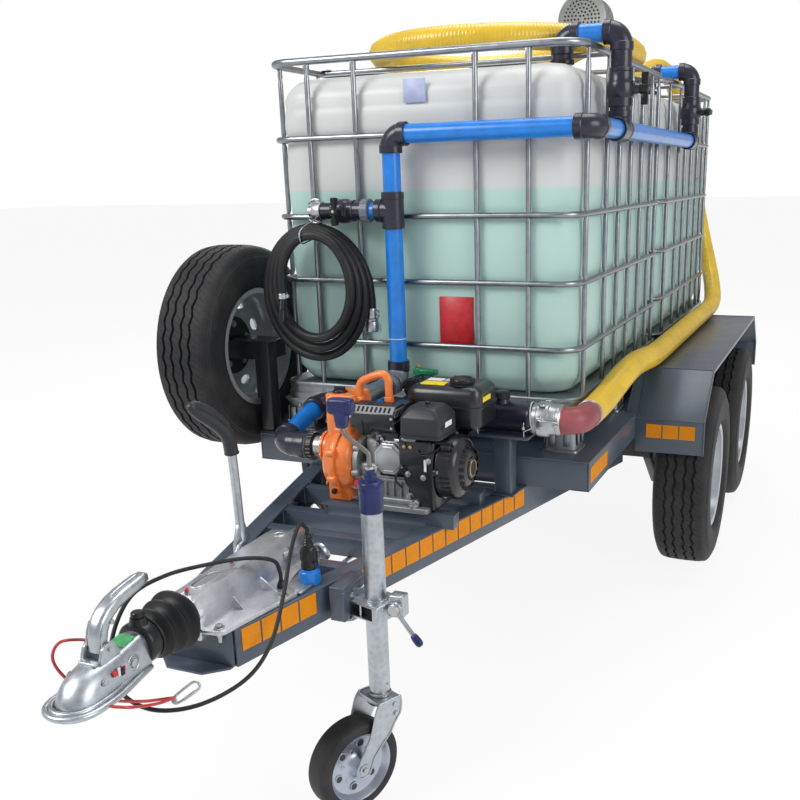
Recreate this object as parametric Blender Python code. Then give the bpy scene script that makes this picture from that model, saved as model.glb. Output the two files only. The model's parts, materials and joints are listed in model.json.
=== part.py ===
"""Water tank trailer: a tandem-axle trailer with two caged tanks, an engine-driven pump,
blue pipework, a yellow suction hose and a black delivery hose.

Units are metres, +Z is up, the coupling points to -Y and the origin lies on the ground
under the middle of the trailer.
"""
from math import cos, pi, radians, sin, sqrt

import bmesh
import bpy
from mathutils import Matrix, Vector

# Driving dimensions: datum and clearances
DECK_HEIGHT = 0.62          # top of the deck above the ground
TANK_FRONT = -0.475         # world Y of the front tank's front face
GAP = 0.0003                # between pieces that touch

# Deck and drawbar
DECK_HALF_WIDTH = 0.556
DECK_OVERHANG = 0.068       # deck in front of the tanks
DECK_LENGTH = 2.58
RAIL_HEIGHT = 0.09
RAIL_WIDTH = 0.05
DECK_SHEET = 0.005
BEAM_HEIGHT = 0.085
BEAM_WIDTH = 0.05
BEAM_FRONT = -1.17          # measured from the front tank, along Y
BEAM_REAR = 0.55
BEAM_FRONT_X = 0.100        # outer edge of the beam at its front end
BEAM_REAR_X = 0.519

# Wheels and axles
TYRE_RADIUS = 0.33
TYRE_WIDTH = 0.196
RIM_RADIUS = 0.178
TRACK_HALF = 0.715
FRONT_AXLE = 0.876
AXLE_SPACING = 0.854
WHEEL_SIDES = 14
STUB_RADIUS = 0.020
ARM_REACH = 0.15
ARM_RISE = 0.13
AXLE_TUBE = 0.07

# Mudguards
GUARD_TOP = 0.13            # above the deck
GUARD_INNER = 0.520
GUARD_OUTER = 0.790
GUARD_SHEET = 0.004
GUARD_LIP = 0.012
GUARD_START = 0.560
GUARD_LENGTH = 1.735
GUARD_SLOPE = 0.175
GUARD_SKIRT = -0.134

# Tanks
TANK_HALF_WIDTH = 0.50
TANK_DEPTH = 1.20
TANK_PITCH = 1.25
PALLET_HEIGHT = 0.165
PALLET_PAN = 0.065
CAGE_TOP = 1.145
CAGE_TUBE = 0.018
BAR_THICK = 0.009
BAR_WIDTH = 0.016
BOTTLE_INSET = 0.021        # from the cage's outside to the bottle
BOTTLE_TOP = 1.10
RING_HEIGHTS = (0.304, 0.4945, 0.686, 0.916)
FRONT_BARS = (-0.346, -0.190, 0.190, 0.346)
SIDE_BARS = (0.095, 0.33, 0.495, 0.66, 0.83, 0.99, 1.105)
LID_RADIUS = 0.095

# Pump and engine
PUMP_Y = -0.40
PUMP_Z = 0.052
PUMP_X = -0.045
VOLUTE_RADIUS = 0.088
VOLUTE_HALF = 0.045
INLET_Z = 0.078
IMPELLER_RADIUS = 0.060
SHAFT_RADIUS = 0.010

# Pipework
PIPE_RADIUS = 0.0265
SOCKET_RADIUS = 0.0335
SOCKET_LENGTH = 0.052
RISER_X = -0.050
PIPE_Y = -0.045
HEADER_Z = 0.916
BRANCH_Z = 0.705
TAIL_END_X = -0.330
HOOK_X = -0.298
SIDE_X = 0.545
TOP_Z = 1.18
VALVE_Z = 1.025
TANK_PIPE_X = 0.37
TOP_VALVES = (0.25, 1.50)
SUCTION_Y = -0.15
SUCTION_Z = 0.14
SUCTION_LEFT = -0.27
OUTLET_X = 0.020            # the front tank's outlet valve
OUTLET_Y = -0.052
OUTLET_Z = 0.190

# Hoses and cables
SUCTION_HOSE = 0.08
DELIVERY_HOSE = 0.028
CABLE = 0.009
SAFETY_CABLE = 0.006

# Coupling
DRAW_TUBE_RADIUS = 0.028
DRAW_TUBE_Z = -0.055
DRAW_CLEARANCE = 0.0006
BALL_RADIUS = 0.025
BALL_CLEARANCE = 0.0007
COUPLING_BALL_Y = -1.495
COUPLING_NOSE_Y = -1.562
OVERRUN_TRAVEL = 0.06

# Jockey wheel
JOCKEY_X = 0.270
JOCKEY_Y = -0.870
JOCKEY_TUBE = 0.030
JOCKEY_INNER = 0.0255
JOCKEY_TOP = 0.147
JOCKEY_TUBE_END = -0.350
JOCKEY_WHEEL_RADIUS = 0.110
JOCKEY_WHEEL_WIDTH = 0.066
JOCKEY_TRAIL = 0.085
JOCKEY_HEADING = radians(244)


def at(x, y, z):
    """A point given from the front tank's front face, at the height of the deck."""
    return Vector((x, y + TANK_FRONT, z + DECK_HEIGHT))


GROUND = -DECK_HEIGHT       # the ground in the same measure

for old in list(bpy.data.objects):
    bpy.data.objects.remove(old, do_unlink=True)


# Materials

def paint(name, colour, roughness, metallic=0.0):
    made = bpy.data.materials.new(name)
    made.use_nodes = True
    shader = made.node_tree.nodes["Principled BSDF"]
    shader.inputs["Base Color"].default_value = (*colour, 1.0)
    shader.inputs["Roughness"].default_value = roughness
    shader.inputs["Metallic"].default_value = metallic
    made.diffuse_color = (*colour, 1.0)
    return made


CHARCOAL = paint("charcoal_paint", (0.062, 0.079, 0.086), 0.45)
BLACK_STEEL = paint("black_steel", (0.012, 0.012, 0.013), 0.5)
GALVANISED = paint("galvanised_steel", (0.45, 0.48, 0.50), 0.35, 1.0)
TYRE = paint("tyre_rubber", (0.020, 0.020, 0.021), 0.75)
RUBBER = paint("black_rubber", (0.014, 0.014, 0.015), 0.55)
BOTTLE = paint("tank_plastic", (0.60, 0.65, 0.63), 0.35)
CAGE = paint("cage_steel", (0.36, 0.38, 0.40), 0.3, 1.0)
BLUE_PIPE = paint("blue_pipe", (0.010, 0.180, 0.700), 0.3)
GREY_PVC = paint("grey_fitting", (0.045, 0.047, 0.060), 0.35)
BLACK_PLASTIC = paint("black_plastic", (0.010, 0.010, 0.011), 0.4)
ORANGE = paint("orange_casting", (0.860, 0.220, 0.030), 0.4)
ENGINE_GREY = paint("engine_casting", (0.30, 0.32, 0.32), 0.45, 0.8)
ENGINE_BLACK = paint("engine_black", (0.014, 0.015, 0.016), 0.35)
YELLOW = paint("yellow_hose", (0.760, 0.500, 0.030), 0.4)
JOCKEY_BLUE = paint("jockey_blue", (0.022, 0.055, 0.200), 0.4)
GREEN = paint("green_handle", (0.010, 0.230, 0.120), 0.4)
RED = paint("red_cable", (0.520, 0.035, 0.045), 0.4)


# Shapes: each is a closed mesh in world coordinates

def shape(bm):
    bmesh.ops.remove_doubles(bm, verts=bm.verts, dist=1e-6)
    bmesh.ops.recalc_face_normals(bm, faces=bm.faces)
    mesh = bpy.data.meshes.new("shape")
    bm.to_mesh(mesh)
    bm.free()
    made = bpy.data.objects.new("shape", mesh)
    bpy.context.collection.objects.link(made)
    return made


def block(low, high):
    """A box between two opposite corners."""
    bm = bmesh.new()
    centre = (low + high) / 2
    size = high - low
    bmesh.ops.create_cube(bm, size=1.0, matrix=Matrix.Translation(centre) @ Matrix.Diagonal((*size, 1.0)))
    return shape(bm)


def turn_to(direction):
    """The rotation that takes +X to the direction, by a half turn about Z for -X."""
    way = direction.normalized()
    if way.x < -0.99999:
        return Matrix.Rotation(pi, 4, "Z")
    return Vector((1, 0, 0)).rotation_difference(way).to_matrix().to_4x4()


def rod(start, end, radius, sides=12, end_radius=None):
    bm = bmesh.new()
    along = end - start
    move = Matrix.Translation((start + end) / 2) @ turn_to(along) @ Matrix.Rotation(pi / 2, 4, "Y")
    far = radius if end_radius is None else end_radius
    bmesh.ops.create_cone(bm, cap_ends=True, segments=sides, radius1=radius, radius2=far,
                          depth=along.length, matrix=move)
    return shape(bm)


def flats(radius, sides):
    """Corner radius of a many-sided rod whose flats lie at the given radius."""
    return radius / cos(pi / sides)


def prism(outline, thickness, place):
    """An outline in the XY plane, extruded along +Z and then placed."""
    bm = bmesh.new()
    face = bm.faces.new([bm.verts.new((x, y, 0)) for x, y in outline])
    made = bmesh.ops.extrude_face_region(bm, geom=[face])
    top = [item for item in made["geom"] if isinstance(item, bmesh.types.BMVert)]
    bmesh.ops.translate(bm, verts=top, vec=(0, 0, thickness))
    bmesh.ops.transform(bm, matrix=place, verts=bm.verts)
    return shape(bm)


def flat_plate(outline, low, high):
    """A plan outline, given from the datum, between two heights."""
    place = Matrix.Translation(at(0, 0, low))
    return prism(outline, high - low, place)


def side_plate(outline, x_low, x_high):
    """An outline of (y, z) points, given from the datum, between two X values."""
    axes = Matrix(((0, 0, 1, 0), (1, 0, 0, 0), (0, 1, 0, 0), (0, 0, 0, 1)))
    return prism(outline, x_high - x_low, Matrix.Translation(at(x_low, 0, 0)) @ axes)


def turned(profile, centre, direction, sides, ring=False, phase=0.0):
    """A profile of (along, radius) points spun about an axis; a ring's profile is closed."""
    bm = bmesh.new()
    points = [bm.verts.new((along, 0, -radius)) for along, radius in profile]
    pairs = list(zip(points, points[1:])) + ([(points[-1], points[0])] if ring else [])
    edges = [bm.edges.new(pair) for pair in pairs]
    bmesh.ops.rotate(bm, verts=points, cent=(0, 0, 0), matrix=Matrix.Rotation(phase, 3, "X"))
    bmesh.ops.spin(bm, geom=points + edges, cent=(0, 0, 0), axis=(1, 0, 0), angle=2 * pi, steps=sides,
                   use_merge=True)
    bmesh.ops.transform(bm, matrix=Matrix.Translation(centre) @ turn_to(direction), verts=bm.verts)
    return shape(bm)


def round_corners(width, depth, radius, steps):
    """A rectangle about the origin with round corners."""
    corners = ((1, 1, 0), (-1, 1, pi / 2), (-1, -1, pi), (1, -1, 3 * pi / 2))
    outline = []
    for sx, sy, start in corners:
        for step in range(steps + 1):
            angle = start + pi / 2 * step / steps
            outline.append((sx * (width / 2 - radius) + radius * cos(angle),
                            sy * (depth / 2 - radius) + radius * sin(angle)))
    return outline


def smooth_route(points, steps):
    """Points on a smooth curve through the route's own points."""
    ends = [2 * points[0] - points[1]] + list(points) + [2 * points[-1] - points[-2]]
    route = []
    for before, start, end, after in zip(ends, ends[1:], ends[2:], ends[3:]):
        for step in range(steps):
            t = step / steps
            route.append(0.5 * (2 * start + (end - before) * t
                                + (2 * before - 5 * start + 4 * end - after) * t * t
                                + (3 * start - before - 3 * end + after) * t * t * t))
    return route + [points[-1]]


def tube(name, route, diameter, resolution):
    """A curve object along the route, with filled ends."""
    curve = bpy.data.curves.new(name, "CURVE")
    curve.dimensions = "3D"
    curve.bevel_depth = diameter / 2
    curve.bevel_resolution = resolution
    curve.use_fill_caps = True
    spline = curve.splines.new("POLY")
    spline.points.add(len(route) - 1)
    for point, place in zip(spline.points, route):
        point.co = (*place, 1.0)
    made = bpy.data.objects.new(name, curve)
    bpy.context.collection.objects.link(made)
    return made


def evaluated(obj):
    bpy.context.view_layer.update()
    graph = bpy.context.evaluated_depsgraph_get()
    return bpy.data.meshes.new_from_object(obj.evaluated_get(graph))


def swept(route, radius, resolution=2):
    """A closed mesh tube along the route."""
    guide = tube("guide", route, 2 * radius, resolution)
    bm = bmesh.new()
    bm.from_mesh(evaluated(guide))
    bpy.data.objects.remove(guide, do_unlink=True)
    return shape(bm)


def combine(base, tools, operation):
    for tool in tools:
        modifier = base.modifiers.new(operation.lower(), "BOOLEAN")
        modifier.object = tool
        modifier.operation = operation
        modifier.solver = "EXACT"
    mesh = evaluated(base)
    base.modifiers.clear()
    bm = bmesh.new()
    bm.from_mesh(mesh)
    bmesh.ops.remove_doubles(bm, verts=bm.verts, dist=1e-6)
    bmesh.ops.dissolve_limit(bm, angle_limit=radians(0.05), verts=bm.verts, edges=bm.edges)
    bm.to_mesh(mesh)
    bm.free()
    base.data = mesh
    for tool in tools:
        bpy.data.objects.remove(tool, do_unlink=True)
    return base


def fuse(base, *tools):
    return combine(base, tools, "UNION")


def carve(base, *tools):
    return combine(base, tools, "DIFFERENCE")


def piece(name, solid, material, origin=None, smooth=True):
    """Names a solid as a sub-part and puts its origin where it turns or stands."""
    solid.name = name
    solid.data.name = name
    solid.data.materials.clear()
    solid.data.materials.append(material)
    if origin is not None:
        solid.data.transform(Matrix.Translation(-origin))
        solid.location = origin
    if smooth and solid.type == "MESH":
        solid.data.shade_smooth()
        solid.data.set_sharp_from_angle(angle=radians(35))
    return solid


# Chassis

def deck_frame():
    start = -DECK_OVERHANG
    end = start + DECK_LENGTH
    deck = block(at(-DECK_HALF_WIDTH, start, -DECK_SHEET), at(DECK_HALF_WIDTH, end, 0))
    members = []
    for side in (-1, 1):
        inner, outer = side * (DECK_HALF_WIDTH - RAIL_WIDTH), side * DECK_HALF_WIDTH
        members.append(block(at(min(inner, outer), start, -RAIL_HEIGHT),
                             at(max(inner, outer), end, -DECK_SHEET / 2)))
    count = 8
    for index in range(count):
        y = start + index * (DECK_LENGTH - RAIL_WIDTH) / (count - 1)
        members.append(block(at(-DECK_HALF_WIDTH + RAIL_WIDTH / 2, y, -RAIL_HEIGHT),
                             at(DECK_HALF_WIDTH - RAIL_WIDTH / 2, y + RAIL_WIDTH, -DECK_SHEET / 2)))
    piece("deck_frame", fuse(deck, *members), CHARCOAL, at(0, start, -RAIL_HEIGHT), smooth=False)


BEAM_TOP = -RAIL_HEIGHT - GAP
BEAM_SLOPE = (BEAM_REAR_X - BEAM_FRONT_X) / (BEAM_REAR - BEAM_FRONT)


def beam_edge(y):
    """Outer edge of the drawbar beam at a distance along Y."""
    return BEAM_FRONT_X + BEAM_SLOPE * (y - BEAM_FRONT)


CROSS_MEMBERS = (-0.80, -0.62, -0.475, -0.28, -0.10)
CROSS_WIDTH = 0.04
BED_TOP = PUMP_Z - 0.106    # the engine's feet stand this far under its shaft


def drawbar_frame():
    beams = []
    for side in (-1, 1):
        outline = []
        for y, inset in ((BEAM_FRONT, 0), (BEAM_REAR, 0), (BEAM_REAR, BEAM_WIDTH), (BEAM_FRONT, BEAM_WIDTH)):
            outline.append((side * (beam_edge(y) - inset), y))
        beams.append(flat_plate(outline, BEAM_TOP - BEAM_HEIGHT, BEAM_TOP))
    members = []
    for y in CROSS_MEMBERS:
        reach = beam_edge(y) - BEAM_WIDTH / 2
        bed = y in CROSS_MEMBERS[2:4]
        top = BED_TOP - GAP if bed else BEAM_TOP - 0.004
        members.append(block(at(-reach, y, BEAM_TOP - 0.055), at(reach, y + CROSS_WIDTH, BEAM_TOP - 0.004)))
        if bed:
            members.append(block(at(-0.075, y, BEAM_TOP - 0.02), at(0.30, y + CROSS_WIDTH, top)))
    nose = BEAM_FRONT_X - 0.012
    plate = [(-nose, BEAM_FRONT + 0.15), (-nose, BEAM_FRONT - 0.01), (-nose / 2, BEAM_FRONT - 0.05),
             (nose / 2, BEAM_FRONT - 0.05), (nose, BEAM_FRONT - 0.01), (nose, BEAM_FRONT + 0.15)]
    under = BEAM_TOP - BEAM_HEIGHT
    members.append(flat_plate(plate, under - 0.003, under + 0.003))
    piece("drawbar_frame", fuse(beams[0], beams[1], *members), CHARCOAL,
          at(0, BEAM_FRONT, BEAM_TOP), smooth=False)


# Running gear

def wheel_side(side):
    return Vector((side, 0, 0))


def tyre_profile():
    half = TYRE_WIDTH / 2
    r = flats(TYRE_RADIUS, WHEEL_SIDES)
    bead = RIM_RADIUS + flats(GAP, WHEEL_SIDES) + 0.0002
    return [(-0.0765, bead), (-half, 0.235), (-half + 0.003, 0.288), (-half + 0.024, r),
            (half - 0.024, r), (half - 0.003, 0.288), (half, 0.235), (0.0765, bead)]


def rim_profile(drum):
    """Section of the steel rim, its dished disc and, on a road wheel, the hub and drum."""
    well = RIM_RADIUS - 0.0065
    face = [(0.034, 0.110), (0.012, well), (0.078, well), (0.083, RIM_RADIUS + 0.014),
            (0.0772, RIM_RADIUS), (-0.0772, RIM_RADIUS), (-0.083, RIM_RADIUS + 0.014),
            (-0.079, well), (0.004, well)]
    if drum:
        bore = flats(STUB_RADIUS + GAP, WHEEL_SIDES)
        return ([(0.052, 0.0), (0.052, 0.034)] + face
                + [(0.004, 0.118), (-0.045, 0.118), (-0.045, bore), (0.030, bore), (0.030, 0.0)])
    return [(0.032, 0.030)] + face + [(0.024, 0.105), (0.024, 0.030)]


def road_wheel(tag, side, y):
    centre = at(side * TRACK_HALF, y, GROUND + TYRE_RADIUS)
    half_facet = pi / WHEEL_SIDES
    tyre = turned(tyre_profile(), centre, wheel_side(side), WHEEL_SIDES, ring=True, phase=half_facet)
    piece("tyre_" + tag, tyre, TYRE, centre)
    rim = turned(rim_profile(True), centre, wheel_side(side), WHEEL_SIDES, phase=half_facet)
    piece("rim_" + tag, rim, GALVANISED, centre)


def axle(name, wheel_y):
    """Axle tube on brackets, with trailing arms, brake back plates and stub shafts."""
    wheel_z = GROUND + TYRE_RADIUS
    tube_y = wheel_y - ARM_REACH
    tube_z = wheel_z + ARM_RISE
    half = AXLE_TUBE / 2
    reach = DECK_HALF_WIDTH + 0.010
    base = block(at(-reach, tube_y - half, tube_z - half), at(reach, tube_y + half, tube_z + half))
    parts = []
    plate_inner = TRACK_HALF - 0.045 - GAP - 0.012
    for side in (-1, 1):
        arm = [(tube_y - 0.05, tube_z - 0.03), (wheel_y - 0.02, wheel_z - 0.045),
               (wheel_y + 0.035, wheel_z - 0.03), (wheel_y + 0.04, wheel_z + 0.03),
               (tube_y + 0.05, tube_z + 0.045), (tube_y - 0.05, tube_z + 0.045)]
        low, high = sorted((side * (reach - 0.004), side * (reach + 0.028)))
        parts.append(side_plate(arm, low, high))
        parts.append(rod(at(side * (reach + 0.02), wheel_y, wheel_z),
                         at(side * (TRACK_HALF + 0.0297), wheel_y, wheel_z), STUB_RADIUS, WHEEL_SIDES))
        parts.append(rod(at(side * plate_inner, wheel_y, wheel_z),
                         at(side * (plate_inner + 0.012), wheel_y, wheel_z), 0.112, WHEEL_SIDES))
        low, high = sorted((side * 0.485, side * 0.535))
        parts.append(block(at(low, tube_y - 0.06, tube_z + half - 0.004),
                           at(high, tube_y + 0.06, -RAIL_HEIGHT - GAP)))
    piece(name, fuse(base, *parts), BLACK_STEEL, at(0, tube_y, tube_z))


def guard_outline(depth):
    """Closed (y, z) outline of the mudguard's sheet, of the given thickness."""
    end = GUARD_START + GUARD_LENGTH
    low = GUARD_TOP - 0.145
    outer = [(GUARD_START, GUARD_SKIRT), (GUARD_START, low), (GUARD_START + GUARD_SLOPE, GUARD_TOP),
             (end - GUARD_SLOPE, GUARD_TOP), (end, low), (end, GUARD_SKIRT)]
    ease = depth * 0.42
    inner = [(end - depth, GUARD_SKIRT), (end - depth, low - ease),
             (end - GUARD_SLOPE - ease, GUARD_TOP - depth),
             (GUARD_START + GUARD_SLOPE + ease, GUARD_TOP - depth), (GUARD_START + depth, low - ease),
             (GUARD_START + depth, GUARD_SKIRT)]
    return outer + inner


def mudguard(name, side):
    def span(a, b):
        return sorted((side * a, side * b))

    sheet = side_plate(guard_outline(GUARD_SHEET), *span(GUARD_INNER, GUARD_OUTER))
    lip = side_plate(guard_outline(GUARD_LIP), *span(GUARD_OUTER - GUARD_SHEET, GUARD_OUTER))
    end = GUARD_START + GUARD_LENGTH
    low = GUARD_TOP - 0.145
    wall = [(GUARD_START + 0.02, GAP), (GUARD_START + 0.02, low + 0.02),
            (GUARD_START + GUARD_SLOPE, GUARD_TOP - 0.001), (end - GUARD_SLOPE, GUARD_TOP - 0.001),
            (end - 0.02, low + 0.02), (end - 0.02, GAP)]
    inner_wall = side_plate(wall, *span(GUARD_INNER, GUARD_INNER + GUARD_SHEET))
    inner, outer = span(GUARD_INNER - 0.01, DECK_HALF_WIDTH + GAP)
    deck_room = block(at(inner, GUARD_START - 0.1, GUARD_SKIRT - 0.1), at(outer, end + 0.1, GAP))
    made = carve(fuse(sheet, lip, inner_wall), deck_room)
    piece(name, made, CHARCOAL, at(side * GUARD_INNER, GUARD_START, 0), smooth=False)


# Spare wheel

SPARE = (-0.672, 0.02, 0.27)


def spare_wheel():
    centre = at(*SPARE)
    half_facet = pi / WHEEL_SIDES
    tyre = turned(tyre_profile(), centre, wheel_side(-1), WHEEL_SIDES, ring=True, phase=half_facet)
    piece("spare_tyre", tyre, TYRE, centre)
    rim = turned(rim_profile(False), centre, wheel_side(-1), WHEEL_SIDES, ring=True, phase=half_facet)
    piece("spare_rim", rim, GALVANISED, centre)
    x, y, z = SPARE
    disc = x - 0.024 + GAP
    post = block(at(-0.550, -0.062, GAP), at(-0.505, -0.012, z + 0.03))
    arm = block(at(disc + 0.006, -0.058, z - 0.03), at(-0.51, y + 0.035, z + 0.03))
    flange = rod(at(disc, y, z), at(disc + 0.008, y, z), 0.095, 12)
    spigot = rod(at(disc - 0.030, y, z), at(disc + 0.004, y, z), 0.0285, 12)
    brace = side_plate([(-0.05, z - 0.02), (-0.05, z - 0.16), (-0.03, z - 0.16), (y + 0.03, z - 0.02)],
                       -0.575, -0.549)
    piece("spare_wheel_carrier", fuse(post, arm, flange, spigot, brace), BLACK_STEEL, at(-0.53, -0.04, 0))


# Tanks

def pallet(name, front):
    w = TANK_HALF_WIDTH
    pan = block(at(-w, front, PALLET_HEIGHT - PALLET_PAN), at(w, front + TANK_DEPTH, PALLET_HEIGHT))
    feet = []
    foot = 0.11
    for x in (-w, -foot / 2, w - foot):
        for y in (0, (TANK_DEPTH - foot) / 2, TANK_DEPTH - foot):
            far = at(x + foot, front + y + foot, PALLET_HEIGHT - PALLET_PAN / 2)
            feet.append(block(at(x, front + y, GAP), far))
    piece(name, fuse(pan, *feet), GALVANISED, at(0, front, GAP), smooth=False)


def bottle(name, front, lid):
    """The plastic tank; the front one keeps its lid, which lies inside the coiled hose."""
    width = 2 * (TANK_HALF_WIDTH - BOTTLE_INSET)
    depth = TANK_DEPTH - 2 * BOTTLE_INSET
    bm = bmesh.new()
    face = bm.faces.new([bm.verts.new((x, y, 0)) for x, y in round_corners(width, depth, 0.085, 2)])
    made = bmesh.ops.extrude_face_region(bm, geom=[face])
    top = [item for item in made["geom"] if isinstance(item, bmesh.types.BMVert)]
    floor = PALLET_HEIGHT + GAP
    bmesh.ops.translate(bm, verts=top, vec=(0, 0, BOTTLE_TOP - floor))
    rim = [edge for edge in bm.edges if all(vert in top for vert in edge.verts)]
    bmesh.ops.bevel(bm, geom=rim, offset=0.035, segments=1, profile=0.5, affect="EDGES", material=-1)
    bmesh.ops.translate(bm, verts=bm.verts, vec=at(0, front + TANK_DEPTH / 2, floor))
    body = shape(bm)
    centre = front + TANK_DEPTH / 2
    extras = [rod(at(0, centre, BOTTLE_TOP - 0.01), at(0, centre, BOTTLE_TOP + 0.015),
                  LID_RADIUS - 0.008, 16)]
    if lid:
        extras.append(rod(at(0, centre, BOTTLE_TOP + 0.013), at(0, centre, BOTTLE_TOP + 0.035),
                          LID_RADIUS, 16))
    piece(name, fuse(body, *extras), BOTTLE, at(0, front, floor))


def rear_lid():
    centre = TANK_PITCH + TANK_DEPTH / 2
    base = at(0, centre, BOTTLE_TOP + 0.015 + GAP)
    cap = rod(base, base + Vector((0, 0, 0.020)), LID_RADIUS, 16)
    piece("rear_tank_lid", cap, BLACK_PLASTIC, base)


def cage_ring(front, low, high):
    """One horizontal tube round the tank, with round corners."""
    tube_depth = CAGE_TUBE - 0.006
    loops = []
    for inset, height in ((0, low), (0, high), (tube_depth, high), (tube_depth, low)):
        outline = round_corners(2 * (TANK_HALF_WIDTH - inset), TANK_DEPTH - 2 * inset, 0.065 - inset, 1)
        loops.append([at(x, front + TANK_DEPTH / 2 + y, height) for x, y in outline])
    bm = bmesh.new()
    rows = [[bm.verts.new(point) for point in loop] for loop in loops]
    for row, after in zip(rows, rows[1:] + rows[:1]):
        for index in range(len(row)):
            bm.faces.new((row[index - 1], row[index], after[index], after[index - 1]))
    return shape(bm)


def cage(name, front):
    """Rings and upright bars round a tank, with two bars across its top."""
    half = CAGE_TUBE / 2
    foot = PALLET_HEIGHT + GAP
    rings = [cage_ring(front, z - half, z + half) for z in RING_HEIGHTS]
    rings.append(cage_ring(front, CAGE_TOP - CAGE_TUBE - 0.004, CAGE_TOP))
    outer = CAGE_TUBE - 0.0095
    inner = outer + BAR_THICK
    bars = []
    w = BAR_WIDTH / 2
    top = CAGE_TOP - 0.004
    for x in FRONT_BARS:
        for near, far in ((outer, inner), (TANK_DEPTH - outer, TANK_DEPTH - inner)):
            section = [(x, front + near), (x - w, front + far), (x + w, front + far)]
            bars.append(flat_plate(section, foot, top))
    for y in SIDE_BARS:
        for side in (-1, 1):
            near, far = side * (TANK_HALF_WIDTH - outer), side * (TANK_HALF_WIDTH - inner)
            section = [(near, front + y), (far, front + y - w), (far, front + y + w)]
            bars.append(flat_plate(section, foot, top))
    for y in (0.33, 0.83):
        reach = TANK_HALF_WIDTH - CAGE_TUBE / 2
        near, far = front + y + 0.02, front + y + 0.045
        bars.append(block(at(-reach, near, CAGE_TOP - 0.016), at(reach, far, CAGE_TOP - 0.002)))
    piece(name, fuse(rings[0], *rings[1:], *bars), CAGE, at(0, front, foot), smooth=False)


# Pump and engine

def pump():
    """Pump body with its inlet, its outlet box and its carrying handle."""
    face = PUMP_X - VOLUTE_HALF
    back = PUMP_X + VOLUTE_HALF
    body = rod(at(face, PUMP_Y, PUMP_Z), at(back, PUMP_Y, PUMP_Z), VOLUTE_RADIUS, 16)
    tower = block(at(face + 0.004, PUMP_Y - 0.04, PUMP_Z), at(back - 0.010, PUMP_Y + 0.055, 0.200))
    box = block(at(face - 0.002, PUMP_Y - 0.03, 0.165), at(back - 0.004, PUMP_Y + 0.075, 0.232))
    inlet = rod(at(face - 0.022, PUMP_Y, INLET_Z), at(face + 0.01, PUMP_Y, INLET_Z), 0.046, 12)
    outlet = rod(at(RISER_X, PUMP_Y + 0.07, 0.20), at(RISER_X, PUMP_Y + 0.095, 0.20), 0.036, 10)
    plug = rod(at(face + 0.025, PUMP_Y + 0.01, 0.228), at(face + 0.025, PUMP_Y + 0.01, 0.243), 0.020, 10)
    foot = block(at(face + 0.012, PUMP_Y - 0.055, BED_TOP), at(back - 0.012, PUMP_Y + 0.055, PUMP_Z - 0.04))
    grip = [at(-0.030, PUMP_Y, 0.215), at(-0.020, PUMP_Y, 0.262), at(0.005, PUMP_Y, 0.290),
            at(0.050, PUMP_Y, 0.303),
            at(0.078, PUMP_Y, 0.295), at(0.088, PUMP_Y, 0.270), at(0.090, PUMP_Y, 0.232)]
    handle = swept(grip, 0.0095, 1)
    ear = block(at(-0.010, PUMP_Y - 0.012, 0.190), at(0.100, PUMP_Y + 0.012, 0.236))
    body = fuse(body, tower, box, inlet, outlet, plug, foot, ear, handle)
    chamber = rod(at(face + 0.012, PUMP_Y, PUMP_Z), at(back - 0.012, PUMP_Y, PUMP_Z),
                  IMPELLER_RADIUS + 0.004, 12)
    throat = rod(at(face - 0.03, PUMP_Y, INLET_Z), at(face + 0.02, PUMP_Y, INLET_Z), 0.030, 10)
    seal = rod(at(PUMP_X, PUMP_Y, PUMP_Z), at(back + 0.01, PUMP_Y, PUMP_Z),
               flats(SHAFT_RADIUS + GAP, 12), 12)
    way_out = rod(at(RISER_X, PUMP_Y + 0.02, 0.20), at(RISER_X, PUMP_Y + 0.10, 0.20), 0.024, 8)
    duct = rod(at(RISER_X, PUMP_Y + 0.03, PUMP_Z + 0.03), at(RISER_X, PUMP_Y + 0.03, 0.205), 0.022, 8)
    piece("pump_body", carve(body, chamber, throat, seal, way_out, duct), ORANGE, at(PUMP_X, PUMP_Y, PUMP_Z))


def impeller():
    """Vaned wheel on the pump shaft, which runs into the engine."""
    hub = rod(at(PUMP_X - 0.024, PUMP_Y, PUMP_Z), at(PUMP_X + 0.018, PUMP_Y, PUMP_Z), 0.020, 8)
    disc = rod(at(PUMP_X + 0.008, PUMP_Y, PUMP_Z), at(PUMP_X + 0.016, PUMP_Y, PUMP_Z), IMPELLER_RADIUS, 12)
    shaft = rod(at(PUMP_X + 0.010, PUMP_Y, PUMP_Z), at(PUMP_X + 0.085, PUMP_Y, PUMP_Z), SHAFT_RADIUS, 12)
    vanes = []
    for index in range(4):
        blade = block(Vector((-0.018, -0.004, 0.010)), Vector((0.010, 0.004, IMPELLER_RADIUS - 0.002)))
        spun = Matrix.Rotation(index * pi / 2, 4, "X")
        blade.data.transform(Matrix.Translation(at(PUMP_X, PUMP_Y, PUMP_Z)) @ spun)
        vanes.append(blade)
    piece("impeller", fuse(hub, disc, shaft, *vanes), ENGINE_GREY, at(PUMP_X, PUMP_Y, PUMP_Z))


ENGINE_LEFT = PUMP_X + VOLUTE_HALF + 0.001


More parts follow.
